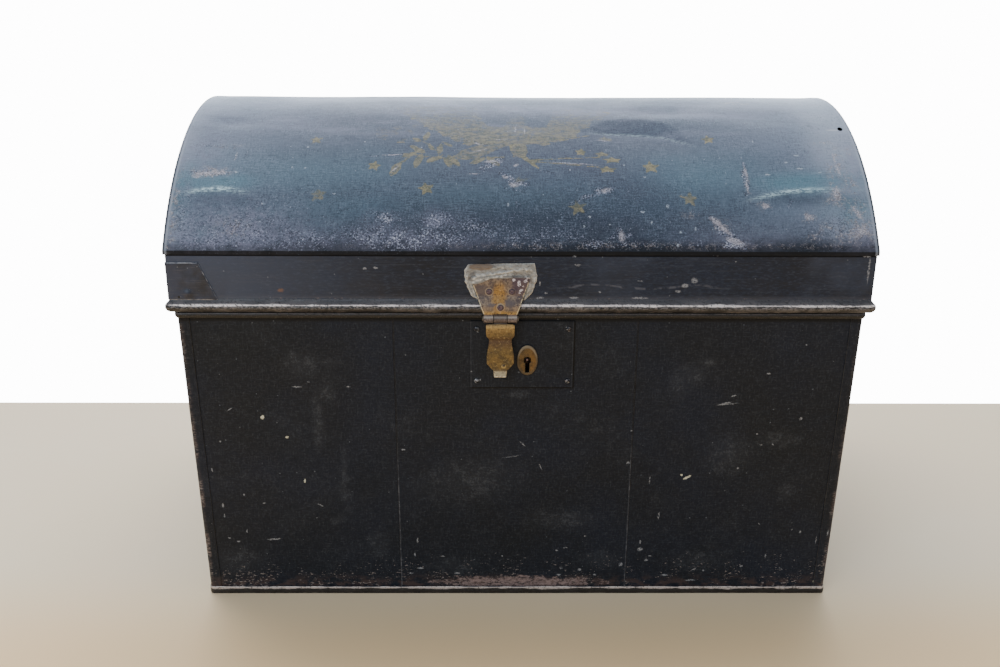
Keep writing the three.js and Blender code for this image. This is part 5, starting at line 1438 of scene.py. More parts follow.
def bead_profile(low, high, depth, start=GAP, fillet=0.0):
    """Closed outline of a half-round bead, from its flat back, which may run out in a fillet above."""
    line = [(start + side, up) for side, up in half_round(low, high, depth)]
    if fillet:
        kept = [point for point in line if point[1] < high - 0.13 * (high - low)]
        side, up = kept[-1]
        for share in (0.25, 0.5, 0.75, 1.0):
            back = (1 - share) ** 2
            kept.append((start + (side - start) * back, up + (high + fillet - up) * (1 - (1 - share) ** 1.2)))
        line = kept
    return line


def long_bead_route(sign):
    """The front (-1) or back (1) length of the rim bead, which turns both corners."""
    end = BAND_HALF_DEPTH - BEAD_RETURN
    route = [(-BAND_HALF_WIDTH, -end, -1, 0)]
    for sign_x, first in ((-1, pi), (1, 1.5 * pi)):
        for step in range(CORNER_STEPS + 1):
            angle = first + step / CORNER_STEPS * pi / 2
            x = sign_x * (BAND_HALF_WIDTH - BEAD_CORNER) + BEAD_CORNER * cos(angle)
            y = -(BAND_HALF_DEPTH - BEAD_CORNER) + BEAD_CORNER * sin(angle)
            route.append((x, y, cos(angle), sin(angle)))
    route.append((BAND_HALF_WIDTH, -end, 1, 0))
    route = fill_route(route, 4 * MM)
    return route if sign < 0 else [(-x, -y, -out_x, -out_y) for x, y, out_x, out_y in route]


def side_bead_route(sign):
    end = BAND_HALF_DEPTH - BEAD_RETURN - GAP
    return fill_route(
        [(sign * BAND_HALF_WIDTH, -end, sign, 0), (sign * BAND_HALF_WIDTH, end, sign, 0)], 5 * MM,
    )


def make_beads():
    paint = bead_paint(
        "rim_bead_paint", BEAD_LOW, BEAD_HIGH, 0.7, (255, 240, 232), colour(22, 20, 22), True, 0.56,
    )
    low, high = BEAD_LOW + 0.3 * MM, BEAD_HIGH - 1.6 * MM
    profile = bead_profile(low, high, BEAD_DEPTH - 0.4 * MM, fillet=BEAD_FILLET)
    routes = {
        "front_rim_bead": long_bead_route(-1),
        "back_rim_bead": long_bead_route(1),
        "left_rim_bead": side_bead_route(-1),
        "right_rim_bead": side_bead_route(1),
    }
    for node, route in routes.items():
        part = sweep(profile, route, closed=False, reach=0.35 * MM, lift=0.28 * MM)
        make_piece(node + "_roll", [part], paint, "lid", node)
    stop_paint = bead_paint("stop_bead_paint", stop_low.z, stop_high.z, 0.62, (36, 35, 37), colour(7, 7, 8))
    low, high = stop_low.z + 0.2 * MM, stop_high.z - 0.2 * MM
    profile = bead_profile(low, high, STOP_DEPTH - 0.3 * MM)
    half_x = stop_high.x - GAP - STOP_DEPTH
    half_y = stop_high.y - GAP - STOP_DEPTH
    route = round_route(half_x, half_y, STOP_CORNER)
    part = sweep(profile, route, closed=True, reach=0.25 * MM, size=0.04, seed=3.0, lift=0.18 * MM)
    make_piece("stop_bead_roll", [part], stop_paint, "trunk_body", "stop_bead")


def make_foot_rim():
    paint = bead_paint(
        "foot_rim_paint", 0, foot_high.z, 0.84, (206, 190, 180), colour(9, 7, 7), dimmed=0.3, spread=2.3,
    )
    lean = 0.14 * MM
    face = -2 * GAP - 2 * SHEET
    outer = GAP + SHEET
    top = foot_high.z
    profile = [
        (face - SHEET, 0), (outer - 0.6 * MM, 0), (outer - 0.15 * MM, 0.5 * MM), (outer, 2 * MM),
        (outer, top / 2), (outer, top - 1.4 * MM), (outer - 0.2 * MM, top - 0.5 * MM),
        (outer - 0.6 * MM, top - 0.15 * MM), (GAP + 0.1 * MM, top - 0.3 * MM), (GAP, top - 1 * MM),
        (GAP, SHEET), (face, SHEET), (face, top - 0.3 * MM), (face - SHEET, top - 0.3 * MM),
    ]
    half_x = FOOT_HALF_WIDTH - outer - lean
    half_y = FOOT_HALF_DEPTH - outer - lean
    route = round_route(half_x, half_y, STOP_CORNER, 5 * MM)
    part = sweep(profile, route, closed=True, reach=0.22 * MM, seed=5.0)
    make_piece("foot_rim_fold", [part], paint, "trunk_body", "foot_rim")


# Frames of the walls and the band: X along, Y up, Z out

WALL_TILT = atan(WALL_SLOPE)
PLATE_OUT = -(SHEET + GAP)


def wall_frame(turn, half):
    upright = Matrix.Rotation(pi / 2 + WALL_TILT, 4, "X")
    return Matrix.Rotation(turn, 4, "Z") @ shifted(0, -half, 0) @ upright


def band_frame(turn):
    upright = Matrix.Rotation(pi / 2, 4, "X")
    return Matrix.Rotation(turn, 4, "Z") @ shifted(0, -BAND_HALF_DEPTH, 0) @ upright


FRONT_WALL = wall_frame(0, WALL_FOOT_HALF_DEPTH)
FRONT_BAND = band_frame(0)
BACK_BAND = band_frame(pi)


def on_wall(u, v):
    """A pixel's place on the leaning front wall, in wall coordinates."""
    ray = sight(u, v)
    depth = WALL_FOOT_HALF_DEPTH + PLATE_OUT
    reach = (-depth - WALL_SLOPE * CAMERA_PLACE.z - CAMERA_PLACE.y) / (ray.y + WALL_SLOPE * ray.z)
    hit = CAMERA_PLACE + reach * ray
    return hit.x + hit.y, hit.z


def on_band(u, v):
    x, z = on_front(u, v)
    return x - BAND_HALF_DEPTH, z


PIXEL = 1.05 * MM


def marks(table, place, unit=PIXEL):
    """Flat ellipses from (pixel across, pixel down, half length, half thickness, turn in degrees if any)."""
    made = []
    for u, v, long, thick, *turn in table:
        made.append((place(u, v), (long * unit, thick * unit), radians(sum(turn))))
    return made


LEFT_CHIPS = [
    (262.3, 417.1, 2.8, 2, 70), (287.1, 437.2, 1.8, 1.6), (304.9, 480.8, 2.8, 1.1, 80),
]
LEFT_SCRATCHES = [
    (297.1, 386.9, 7, 0.9), (348.4, 386.9, 3, 0.9), (229.4, 409.5, 5, 0.6, 35), (274.7, 539, 10, 1.3, 3),
    (238.9, 541.5, 3, 1), (229.4, 538, 2.5, 0.8, -30), (223, 505.5, 1.5, 3), (224.4, 515.7, 1, 3.4),
    (320.6, 505.1, 5, 0.8, -30), (308.6, 381.7, 1.4, 1.2), (220.2, 441.6, 1.2, 1.2),
    (244.1, 494.6, 1.2, 1.4), (264.2, 503.2, 1.6, 1), (247, 531, 1.2, 3), (212, 470, 0.9, 3),
    (214, 546, 2, 2),
]
LEFT_SMUDGES = [
    (343.6, 494.6, 9, 12, 20), (348.4, 509, 4, 6), (338.8, 520.4, 12, 6, 25), (294.8, 356.9, 10, 6),
    (329, 363, 14, 5), (300, 365, 20, 16), (325, 392, 12, 12), (318, 420, 8, 40), (380, 545, 14, 20),
    (240, 560, 30, 16), (345, 470, 5, 30),
]
CENTRE_SCRATCHES = [
    (522.8, 444.1, 6, 0.7, -44), (540.6, 466.9, 5, 0.6, -65), (511.6, 456.5, 14, 0.3, 10),
    (403.2, 449.7, 3, 1), (628, 462.9, 2.4, 2.2), (631.2, 430.7, 1.4, 1.4), (620.8, 564.2, 3, 3),
    (594.5, 574.5, 2, 1.5), (579.4, 569.7, 2.5, 1.8), (557, 550.3, 2, 1), (585, 535.9, 1.5, 1),
    (565, 547.7, 3, 1), (442.3, 556.2, 4, 1), (417.5, 540.2, 1, 4), (415, 554.6, 1, 3),
    (420.7, 568.1, 5, 1.4), (457.4, 573.2, 4, 1.4), (411.2, 572.9, 3, 1.4), (558.6, 574.5, 3, 1.4),
    (474.1, 559.8, 1.4, 1), (502, 555.9, 1.4, 1), (561, 568, 2.5, 2),
]
CENTRE_SMUDGES = [
    (518, 394, 12, 5), (470, 480, 60, 30, 10), (560, 520, 40, 14), (455, 565, 30, 12), (600, 560, 24, 12),
]
RIGHT_CHIPS = [
    (687, 477.4, 5.2, 1.5, 28), (681.6, 475.1, 1.4, 1.4), (814.2, 581.3, 1.8, 1.8),
]
RIGHT_SCRATCHES = [
    (724.3, 403.7, 10, 1.3, 15), (733.8, 396.1, 4, 1, 20), (768.8, 373.7, 3, 1.2), (806.5, 345, 1.5, 1),
    (800.8, 418.7, 2, 2), (757.2, 434, 1.4, 1.2), (773, 444.5, 2, 0.8, -40), (760.6, 444.9, 2.5, 0.8),
    (738, 468.4, 2, 1), (649.7, 480.3, 0.8, 6), (658.8, 515.7, 1, 6), (759.3, 524.3, 2.5, 0.8, -45),
    (640, 549.2, 4, 3), (640, 542, 1.4, 3), (646, 560, 3, 1.6), (693.7, 569.2, 4, 0.8, 35),
    (703.2, 570.6, 1.6, 1.4), (765.4, 555.9, 1, 3), (780.7, 568.3, 4, 0.8, -40), (826.6, 532, 1, 5),
    (664, 575, 5, 1.4), (690, 580, 8, 1), (741, 566, 2, 1.6), (800, 532, 1.6, 2.4), (792, 530, 1.2, 1.6),
    (816, 540, 1, 6), (650, 556, 2.4, 1), (730, 404, 12, 0.5, 8),
]
RIGHT_SMUDGES = [
    (777.8, 497.5, 3.5, 5), (786.4, 491.8, 10, 14), (709, 361.7, 11, 7), (690.8, 375, 18, 14),
    (680, 384, 12, 20), (730, 455, 30, 26, 20), (780, 440, 24, 10), (700, 560, 40, 14),
]
BAND_MARKS = [
    (364.7, 268.7, 2, 1.2), (375.3, 267.6, 2.4, 1), (694.7, 280.3, 3.4, 3), (685.1, 285.7, 3.4, 2.4),
    (678.4, 291.4, 3, 1.4), (641.1, 298.1, 7, 1.2), (577.8, 264.8, 3.5, 1), (574.3, 256.6, 2, 1),
    (573.6, 297.8, 5, 1), (540, 297.8, 4, 1), (636.8, 297.8, 5, 1), (867, 256, 4, 1.4), (868.8, 270, 1, 14),
    (540, 284, 1.2, 2.4), (546, 293, 2, 1), (600, 292, 1.4, 1), (736, 262, 1, 1), (640, 281, 3, 0.8),
    (718, 255, 1.4, 1.4),
]
BAND_RUST = [
    (280.5, 290.2, 3, 2), (285.8, 302, 6, 2),
]
PRIMER_PATCH = (518, 582)
PRIMER_HALF = (88, 8)


# Forms from rings

def rounded_ring(half_width, half_thick, bulge=0.0, corner=0.45 * MM, steps=3):
    """Cross-section of a strip in (across, out), with round corners and an outer face that may bulge."""
    corner = min(corner, half_thick * 0.95)
    ring = []
    for number, (sign_x, sign_y) in enumerate([(1, 1), (-1, 1), (-1, -1), (1, -1)]):
        for step in range(steps + 1):
            angle = number * pi / 2 + step / steps * pi / 2
            x = sign_x * (half_width - corner) + corner * cos(angle)
            y = sign_y * (half_thick - corner) + corner * sin(angle)
            ring.append((x, y))
        if number in (0, 2):
            direction = -1 if number == 0 else 1
            for share in (0.75, 0.5, 0.25, 0, -0.25, -0.5, -0.75):
                x = -direction * share * (half_width - corner)
                ring.append((x, half_thick if number == 0 else -half_thick))
    return [(x, y + bulge * (1 - (x / half_width) ** 2)) for x, y in ring]


def smooth_line(points, spacing=0.8 * MM, rounds=3):
    """A chain of points with its bends rounded, resampled at a spacing."""
    line = np.array(points, float)
    count = max(8, int(np.hypot(*np.diff(line, axis=0).T).sum() / spacing))
    for _ in range(2):
        steps = np.hypot(*np.diff(line, axis=0).T)
        reach = np.concatenate([[0], np.cumsum(steps)])
        even = np.linspace(0, reach[-1], count)
        line = np.stack([np.interp(even, reach, line[:, axis]) for axis in (0, 1)], axis=1)
        for _ in range(rounds):
            line[1:-1] = (line[:-2] + 2 * line[1:-1] + line[2:]) / 4
    return line


def bent_strip(line, half_width, thickness, bulge=None, corner=0.45 * MM):
    """A strip run along a line in (up, out); its half width depends on the height."""
    rings = []
    for index, (up, out) in enumerate(line):
        before = line[max(index - 1, 0)]
        after = line[min(index + 1, len(line) - 1)]
        run = Vector((after[0] - before[0], after[1] - before[1])).normalized()
        normal = (run.y, -run.x)
        if normal[1] < 0 and abs(normal[1]) > abs(normal[0]):
            normal = (-normal[0], -normal[1])
        lift = bulge(up) if bulge else 0.0
        near_end = min(index, len(line) - 1 - index)
        shrink = (0.55, 0.2, 0.0)[min(near_end, 2)] * thickness / 2
        ring = rounded_ring(half_width(up) - shrink, thickness / 2 - shrink, lift, corner)
        rings.append([(x, up + y * normal[0], out + y * normal[1]) for x, y in ring])
    return skin(rings)


def moved(part, matrix):
    points, faces = part
    return [tuple(matrix @ Vector(point)) for point in points], faces


def lathe(profile, sides=24):
    """Profile in (radius, along Z), turned about Z."""
    rings = []
    for radius, along in profile:
        radius = max(radius, 0.01 * MM)
        turns = [2 * pi * side / sides for side in range(sides)]
        rings.append([(radius * cos(turn), radius * sin(turn), along) for turn in turns])
    return skin(rings)


def head_profile(radius, height, seat, dent=0.0, steps=6):
    """Domed rivet head above its seat, from the rim to the middle."""
    profile = [(radius * 0.97, seat)]
    for step in range(steps + 1):
        angle = step / steps * pi / 2
        share = cos(angle)
        sunk = dent * max(0, 1 - share / 0.55)
        profile.append((radius * share, seat + 0.12 * height + 0.88 * height * sin(angle) - sunk))
    return profile


RIVET_RADIUS = 2.6 * MM
RIVET_HEIGHT = 1.3 * MM
RIVET_TAIL = 0.7 * MM


def rivet_part(seat, tail, radius, dent):
    """A rivet from its tail's seat to its head's seat, with a dent in the head if any."""
    shank = 1.3 * MM
    tail_head = 2.1 * MM
    profile = [(0, tail - RIVET_TAIL), (tail_head * 0.8, tail - 0.6 * MM), (tail_head, tail - 0.3 * MM)]
    profile += [(tail_head, tail), (shank, tail), (shank, seat)]
    return lathe(profile + head_profile(radius, RIVET_HEIGHT, seat, dent))


def tube(radius, bore, start, end, sides=28):
    """Tube along X with eased ends, as one closed ring."""
    ease = 0.35 * MM
    profile = [
        (bore, start + ease), (bore + ease, start), (radius - ease, start), (radius, start + ease),
        (radius, end - ease), (radius - ease, end), (bore + ease, end), (bore, end - ease),
    ]
    turns = [2 * pi * side / sides for side in range(sides)]
    rings = [
        [(along, reach * cos(turn), reach * sin(turn)) for reach, along in profile]
        for turn in turns
    ]
    return skin(rings, closed=True)


def flat_plate(name, outlines, depth, bevel):
    """Points and faces of a flat plate with openings: outlines in (x, y), from Z = 0 to its depth."""
    curve = bpy.data.curves.new(name, "CURVE")
    curve.dimensions = "2D"
    curve.fill_mode = "BOTH"
    curve.extrude = depth / 2 - bevel
    curve.bevel_depth = bevel
    curve.bevel_resolution = 2
    curve.offset = -bevel
    for points in outlines:
        spline = curve.splines.new("POLY")
        spline.points.add(len(points) - 1)
        for point, (x, y) in zip(spline.points, points):
            point.co = (x, y, 0, 1)
        spline.use_cyclic_u = True
    holder = new_object(name, curve)
    bpy.context.view_layer.update()
    mesh = bpy.data.meshes.new_from_object(holder.evaluated_get(bpy.context.evaluated_depsgraph_get()))
    bpy.data.objects.remove(holder)
    bpy.data.curves.remove(curve)
    shape = bmesh.new()
    shape.from_mesh(mesh)
    bmesh.ops.remove_doubles(shape, verts=shape.verts, dist=0.01 * MM)
    shape.to_mesh(mesh)
    shape.free()
    points = [(vertex.co.x, vertex.co.y, vertex.co.z + depth / 2) for vertex in mesh.vertices]
    faces = [tuple(polygon.vertices) for polygon in mesh.polygons]
    bpy.data.meshes.remove(mesh)
    return points, faces


def arc_points(centre, radius, first, last, steps):
    angles = [first + (last - first) * step / steps for step in range(steps)]
    return [(centre[0] + radius * cos(a), centre[1] + radius * sin(a)) for a in angles]


# Repair patch on the lid's front left corner

CLEAR_LOW = LID_LOW + 12.6 * MM
CLEAR_HEIGHT = 47 * MM
REPAIR_WIDTH = 48 * MM
REPAIR_WRAP = 26 * MM
REPAIR_TOP_SHARE = 0.65
REPAIR_WRAP_SHARE = 0.8
REPAIR_HEIGHT = 0.82 * CLEAR_HEIGHT
REPAIR_SHEET = 0.8 * MM
REPAIR_SEAT = 0.45 * MM
REPAIR_EASE = 0.6 * MM
BUMP_ALONG = 19 * MM
BUMP_ABOVE = 7 * MM
BUMP_RADIUS = 3.4 * MM
BUMP_HEIGHT = 1.5 * MM
SAG_SIZE = 14 * MM
SAG_DEPTH = 0.35 * MM
SAG_LOWEST = -0.2 * MM


def around_corner(along, out):
    """A place along the band from its front left corner: positive in front, negative on the side."""
    corner = 1.2 * MM
    flat = corner * pi / 4
    if along > flat:
        return -BAND_HALF_WIDTH + corner + along - flat, -BAND_HALF_DEPTH - out, 0, -1
    if along < -flat:
        return -BAND_HALF_WIDTH - out, -BAND_HALF_DEPTH + corner - along - flat, -1, 0
    angle = 1.25 * pi + along / corner
    out_x, out_y = cos(angle), sin(angle)
    centre_x, centre_y = corner - BAND_HALF_WIDTH, corner - BAND_HALF_DEPTH
    return centre_x + (corner + out) * out_x, centre_y + (corner + out) * out_y, out_x, out_y


def make_repair_patch():
    columns, rows = 96, 48
    outer, inner = [], []
    for column in range(columns + 1):
        for row in range(rows + 1):
            a, b = column / columns, row / rows
            left = -REPAIR_WRAP * (1 + (REPAIR_WRAP_SHARE - 1) * b)
            right = REPAIR_WIDTH * (1 + (REPAIR_TOP_SHARE - 1) * b)
            along = left + (right - left) * a
            up = CLEAR_LOW + REPAIR_HEIGHT * b
            ragged = noise.noise(Vector((a * 9, b * 7, 3.0))) * 0.5 * MM
            rim = min(min(a, 1 - a) * (right - left), min(b, 1 - b) * REPAIR_HEIGHT)
            ease = min(1, max(0, rim / REPAIR_EASE))
            off_bump = (along - BUMP_ALONG) ** 2 + (up - CLEAR_LOW - BUMP_ABOVE) ** 2
            bump = BUMP_HEIGHT * exp(-off_bump / BUMP_RADIUS**2)
            sag = SAG_DEPTH * noise.noise(Vector((along / SAG_SIZE, up / SAG_SIZE, 1.0)))
            thick = REPAIR_SHEET * (0.35 + 0.65 * sqrt(ease))
            height = REPAIR_SEAT + thick + (bump + max(sag, SAG_LOWEST)) * ease
            edge = ragged if a in (0, 1) or b in (0, 1) else 0
            x, y, _, _ = around_corner(along + edge * (1 if a == 1 else 0), height)
            outer.append((x, y, up - abs(edge) * (1 if b == 1 else 0)))
            x, y, _, _ = around_corner(along, REPAIR_SEAT)
            inner.append((x, y, up))
    count = len(outer)
    faces = grid_faces(columns + 1, rows + 1, 0, False).tolist()
    faces += grid_faces(columns + 1, rows + 1, count, True).tolist()
    index = np.arange(count).reshape(columns + 1, rows + 1)
    for line in (index[0], index[-1], index[:, 0], index[:, -1]):
        faces += [(a, b, b + count, a + count) for a, b in zip(line[:-1], line[1:])]
    piece = make_piece(
        "corner_repair_plate", [(outer + inner, faces)], patch_paint(), "lid", "corner_repair_patch", 60,
    )


def patch_paint():
    """Black paint on the repair patch, with pale edges, partly worn and partly painted highlight, and a small
    hole at its corner, painted near-black as shade.
    """
    net = Net("patch_paint")
    at = net.along()
    cloud = net.noise(0.03, 6, 0.65)
    tone = cloud.rise(0.35, 0.65).blend((24, 28, 40), (48, 54, 72))
    hairs = at.noise(1.4 * MM, 5, stretch=(0.06, 1, 1))
    tone = tone.coat(hairs.rise(0.52, 0.72) * 0.3, 98, 96, 98)
    level = -BAND_HALF_WIDTH - BAND_HALF_DEPTH
    ragged = at.shaken(5 * MM, 1.2 * MM)
    slant = atan((1 - REPAIR_TOP_SHARE) * REPAIR_WIDTH / REPAIR_HEIGHT)
    middle = (level + REPAIR_WIDTH * (1 + REPAIR_TOP_SHARE) / 2 - 0.6 * MM, CLEAR_LOW + REPAIR_HEIGHT / 2)
    lines = [
        (middle, (0.55 * MM, 22 * MM), slant),
        ((level + 16 * MM, CLEAR_LOW + REPAIR_HEIGHT - 0.5 * MM), (18 * MM, 0.5 * MM), 0),
        ((level + 22 * MM, CLEAR_LOW + 0.5 * MM), (26 * MM, 0.6 * MM), 0),
    ]
    # Pale edges: partly wear, partly painted highlight.
    worn = chips_from(net, ragged, lines).rise(0.8, 1.25, 1, 0)
    broken = at.noise(5 * MM, 6, 0.74).rise(0.36, 0.6, 0.15, 0.9)
    tone = tone.coat(worn * broken, 158, 156, 160)
    # The small hole: painted near-black, as shade.
    hole = at.ellipse((level + 9 * MM, CLEAR_LOW + 3.2 * MM), (1.5 * MM, 1.5 * MM))
    tone = tone.coat(hole.rise(0.7, 1.0, 1, 0), 6, 6, 6)
    pin = ragged.spots(9 * MM, 0.07, 0.4)
    tone = tone.mix(pin * 0.5, SCRATCH)
    relief = net.noise(0.012, 4) + hairs * 0.1
    return net.finish(tone, cloud.rise(0.3, 0.7, 0.34, 0.5), bump=relief, height=0.6 * MM)


# Hasp, at the middle of the front

HASP_X = -20.7 * MM
pivot = joint_place("hasp_hinge")
PIVOT_UP = pivot[2]
PIVOT_OUT = -pivot[1] - BAND_HALF_DEPTH
AT_PIN = shifted(0, PIVOT_UP, PIVOT_OUT)
KNUCKLE = 4.3 * MM
KNUCKLE_BORE = 1.9 * MM
HASP_KNUCKLES = [-16.8 * MM, -6.8 * MM, 6.8 * MM, 16.8 * MM]
LEAF = 1.2 * MM
HASP_SHEET = 1.6 * MM
HASP_RIVET = 3.2 * MM
HASP_RIVETS = ["hasp_rivet_1", "hasp_rivet_2", "hasp_rivet_3"]
LEAF_OUT = 6.9 * MM
HASP_SEAT = 1.8 * MM
HASP_RISE = 36 * MM
HASP_TOP_HALF = 28 * MM
LAPPED = 5 * MM
HASP_LOW_HALF = 16.65 * MM
SOLDER_WIDTH = 75 * MM
SOLDER_HEIGHT = 0.826 * CLEAR_HEIGHT
SOLDER_SHARES = [
    (-0.3, 0), (0.33, 0), (0.43, 0.2), (0.5, 0.58), (0.46, 1), (-0.43, 0.97), (-0.49, 0.81), (-0.48, 0.49),
    (-0.4, 0.12),
]
# Half widths of the hanging leaf, by the drop from its pin, in millimetres
HASP_HALVES = [
    (0, 6.4), (5.4, 6.4), (5.9, 13.6), (6.8, 14.3), (16.2, 14.3), (18.4, 13.7), (20, 12.2), (21.2, 11.4),
    (24, 11.3), (28, 11.7), (32, 12.5), (36, 13.2), (40, 13.75), (47.5, 13.75), (54.0, 8.4), (54.6, 7.0),
    (60, 6.4), (64.6, 5.6),
]
# Bulges of its face: drop from the pin, reach and height, in millimetres
HASP_BULGES = [(37, 7, 0.5), (12, 4, 0.3)]


def leaf_half(up, low_half, top_half):
    """Half width of a leaf on the lid, which goes evenly from its low end to its top."""
    share = min(1, max(0, (up - LID_LOW) / (PIVOT_UP + HASP_RISE - LID_LOW)))
    return low_half + share * (top_half - low_half)


def hasp_top_half(up):
    return leaf_half(up, HASP_LOW_HALF, HASP_TOP_HALF)


def hasp_low_half(up):
    drops, halves = zip(*HASP_HALVES)
    return float(np.interp((PIVOT_UP - up) / MM, drops, halves)) * MM


def hasp_bulge(up):
    drop = (PIVOT_UP - up) / MM
    return sum(rise * MM * exp(-(((drop - middle) / reach) ** 2)) for middle, reach, rise in HASP_BULGES)


# Leaves end just clear of the pin's knuckles, and short tabs reach their own knuckles
LEAF_END = 4.15 * MM
LID_TABS = [(PIVOT_UP + 4.9 * MM, LEAF_OUT), (PIVOT_UP + 1.6 * MM, LEAF_OUT)]


def knuckle_tabs(line, knuckles, odd):
    """Short strips that join a leaf to its own knuckles."""
    tabs = []
    for start, end in list(zip(knuckles, knuckles[1:]))[odd::2]:
        half = (end - start - GAP) / 2
        strip = bent_strip(line, lambda up: half, LEAF - 0.1 * MM)
        tabs.append(moved(strip, shifted((start + end) / 2, 0, 0)))
    return tabs


def knuckle_rings(knuckles):
    """The tubes round a hinge pin, one for each knuckle."""
    rings = []
    for start, end in zip(knuckles, knuckles[1:]):
        rings.append(moved(tube(KNUCKLE, KNUCKLE_BORE, start + GAP / 2, end - GAP / 2), AT_PIN))
    return rings


def lid_leaf_line(top, seat):
    """A leaf's run from its top on the lid, over the rim bead, to its knuckles, as (up, out)."""
    return smooth_line([
        (top, seat), (BEAD_HIGH + 5.7 * MM, seat), (BEAD_HIGH - 3 * MM, LEAF_OUT),
        (PIVOT_UP + LEAF_END, LEAF_OUT),
    ])


def make_hasp():
    place = FRONT_BAND @ shifted(HASP_X, 0, 0)
    upper_line = lid_leaf_line(PIVOT_UP + HASP_RISE + LAPPED, HASP_SEAT)
    upper = [bent_strip(upper_line, hasp_top_half, LEAF)] + knuckle_tabs(LID_TABS, HASP_KNUCKLES, 0)
    lower_line = smooth_line(
        [
            (PIVOT_UP - 2.6 * MM, PIVOT_OUT), (PIVOT_UP - KNUCKLE, PIVOT_OUT),
            (PIVOT_UP - 7.4 * MM, 6.6 * MM), (PIVOT_UP - 19.1 * MM, 6.6 * MM),
            (PIVOT_UP - 22.3 * MM, PIVOT_OUT), (PIVOT_UP - 53.8 * MM, PIVOT_OUT),
            (PIVOT_UP - 56 * MM, 5.6 * MM), (PIVOT_UP - 61.4 * MM, 8.2 * MM),
        ],
        0.5 * MM, 2,
    )
    lower = [bent_strip(lower_line, hasp_low_half, HASP_SHEET, hasp_bulge, 0.6 * MM)]
    rings = knuckle_rings(HASP_KNUCKLES)
    upper = [moved(part, place) for part in upper + rings[::2]]
    lower = [moved(part, place) for part in lower + rings[1::2]]
    top = make_piece("hasp_lid_leaf", upper, hasp_upper_brass(), "lid", "hasp_upper_leaf", 35)
    low = make_piece("hasp_hanging_leaf", lower, hasp_lower_brass(), "hasp", "hasp_lower_leaf", 35)
    pin = moved(pin_part(HASP_KNUCKLES), place @ AT_PIN)
    make_piece("hasp_pin_rod", [pin], dull_steel("hasp_pin_metal"), "lid", "hasp_pin")


def pin_part(knuckles):
    """Hinge pin along X, with a low head at each end."""
    start, end = knuckles[0] - GAP, knuckles[-1] + GAP
    rod = 1.6 * MM
    head = 2.6 * MM
    tall = 1.2 * MM
    profile = [(0, start - tall), (head * 0.7, start - tall * 0.9), (head, start - tall * 0.4), (head, start)]
    profile += [
        (rod, start), (rod, end), (head, end), (head, end + tall * 0.4), (head * 0.7, end + tall * 0.9),
    ]
    profile += [(0, end + tall)]
    return moved(lathe(profile), Matrix.Rotation(pi / 2, 4, "Y"))


def solder_reach(angle):
    """How far the solder's outline lies from its middle in one direction."""
    corners = [
        Vector((across * SOLDER_WIDTH, (up - 0.5) * SOLDER_HEIGHT)) for across, up in SOLDER_SHARES
    ]
    ray = Vector((cos(angle), sin(angle)))
    reach = 0
    for start, end in zip(corners, corners[1:] + corners[:1]):
        run = end - start
        bottom = ray.x * run.y - ray.y * run.x
        if abs(bottom) < 1e-12:
            continue
        along = (start.x * run.y - start.y * run.x) / bottom
        share = (start.x * ray.y - start.y * ray.x) / bottom
        if along > 0 and -1e-9 <= share <= 1 + 1e-9:
            reach = max(reach, along)
    return reach


def lap_edge(across):
    """Where the solder laps over the top of the leaf: lower on the left."""
    return PIVOT_UP + HASP_RISE - 1.6 * MM + 6 * MM * float(smooth_step(across, -25 * MM, -6 * MM))


# Ridges of the solder: places from the leaf's middle and above its pin, height
SOLDER_RIDGES = [
    ([(-29, 37), (-24, 43.5), (-12, 44.5), (4, 47), (16, 49), (30, 49.5)], 2.0),
    ([(-29, 36), (-24, 39), (-12, 40.5), (2, 43.5), (10, 45)], 1.5),
    ([(-33, 45), (-33.5, 36), (-30, 26), (-26, 18), (-21, 10)], 1.6),
    ([(-28, 34), (-25, 24), (-21, 14)], 1.3), ([(33, 46), (34.5, 36), (31, 26), (25, 14)], 1.3),
    ([(-30, 51), (-10, 51.5), (12, 51.2), (30, 51)], 0.9), ([(24, 44), (29, 34), (26, 24), (22, 15)], 1.0),
]


def ridge_rise(across, up):
    """Height that the nearest ridge adds."""
    whole = 0.0
    for points, rise in SOLDER_RIDGES:
        for start, end in zip(points, points[1:]):
            run = ((end[0] - start[0]) * MM, (end[1] - start[1]) * MM)
            away = (across - start[0] * MM, up - PIVOT_UP - start[1] * MM)
            share = min(1, max(0, (away[0] * run[0] + away[1] * run[1]) / (run[0] ** 2 + run[1] ** 2)))
            gap = hypot(away[0] - share * run[0], away[1] - share * run[1])
            whole = max(whole, rise * exp(-((gap / (1.5 * MM)) ** 2)))
    rough = noise.noise(Vector((across / (3 * MM), up / (2 * MM), 9.0)))
    return whole * (0.7 + 1.1 * rough) * MM


def solder_height(across, up, rim):
    """Thickness of the solder: ridged beside the leaf, thin under it, thick over its top edge."""
    beside = abs(across) - hasp_top_half(up)
    clear = max(beside, up - lap_edge(across))
    lump = noise.noise(Vector((across / (6 * MM), up / (6 * MM), 1.0)))
    fine = noise.noise(Vector((across / (2.2 * MM), up / (2.2 * MM), 5.0)))
    held = float(smooth_step(clear, -0.4 * MM, 0.8 * MM))
    height = 0.35 * MM + held * ((0.6 + 0.6 * lump + 0.35 * fine) * MM + ridge_rise(across, up))
    leaf_top = PIVOT_UP + HASP_RISE + LAPPED
    if beside < 1 * MM and up < leaf_top + 1.5 * MM:
        height = max(height, held * (2.75 + 0.3 * lump + 0.2 * fine) * MM)
    return max(0.12 * MM, height) * float(smooth_step(rim, 0, 1.8 * MM)) + 0.05 * MM


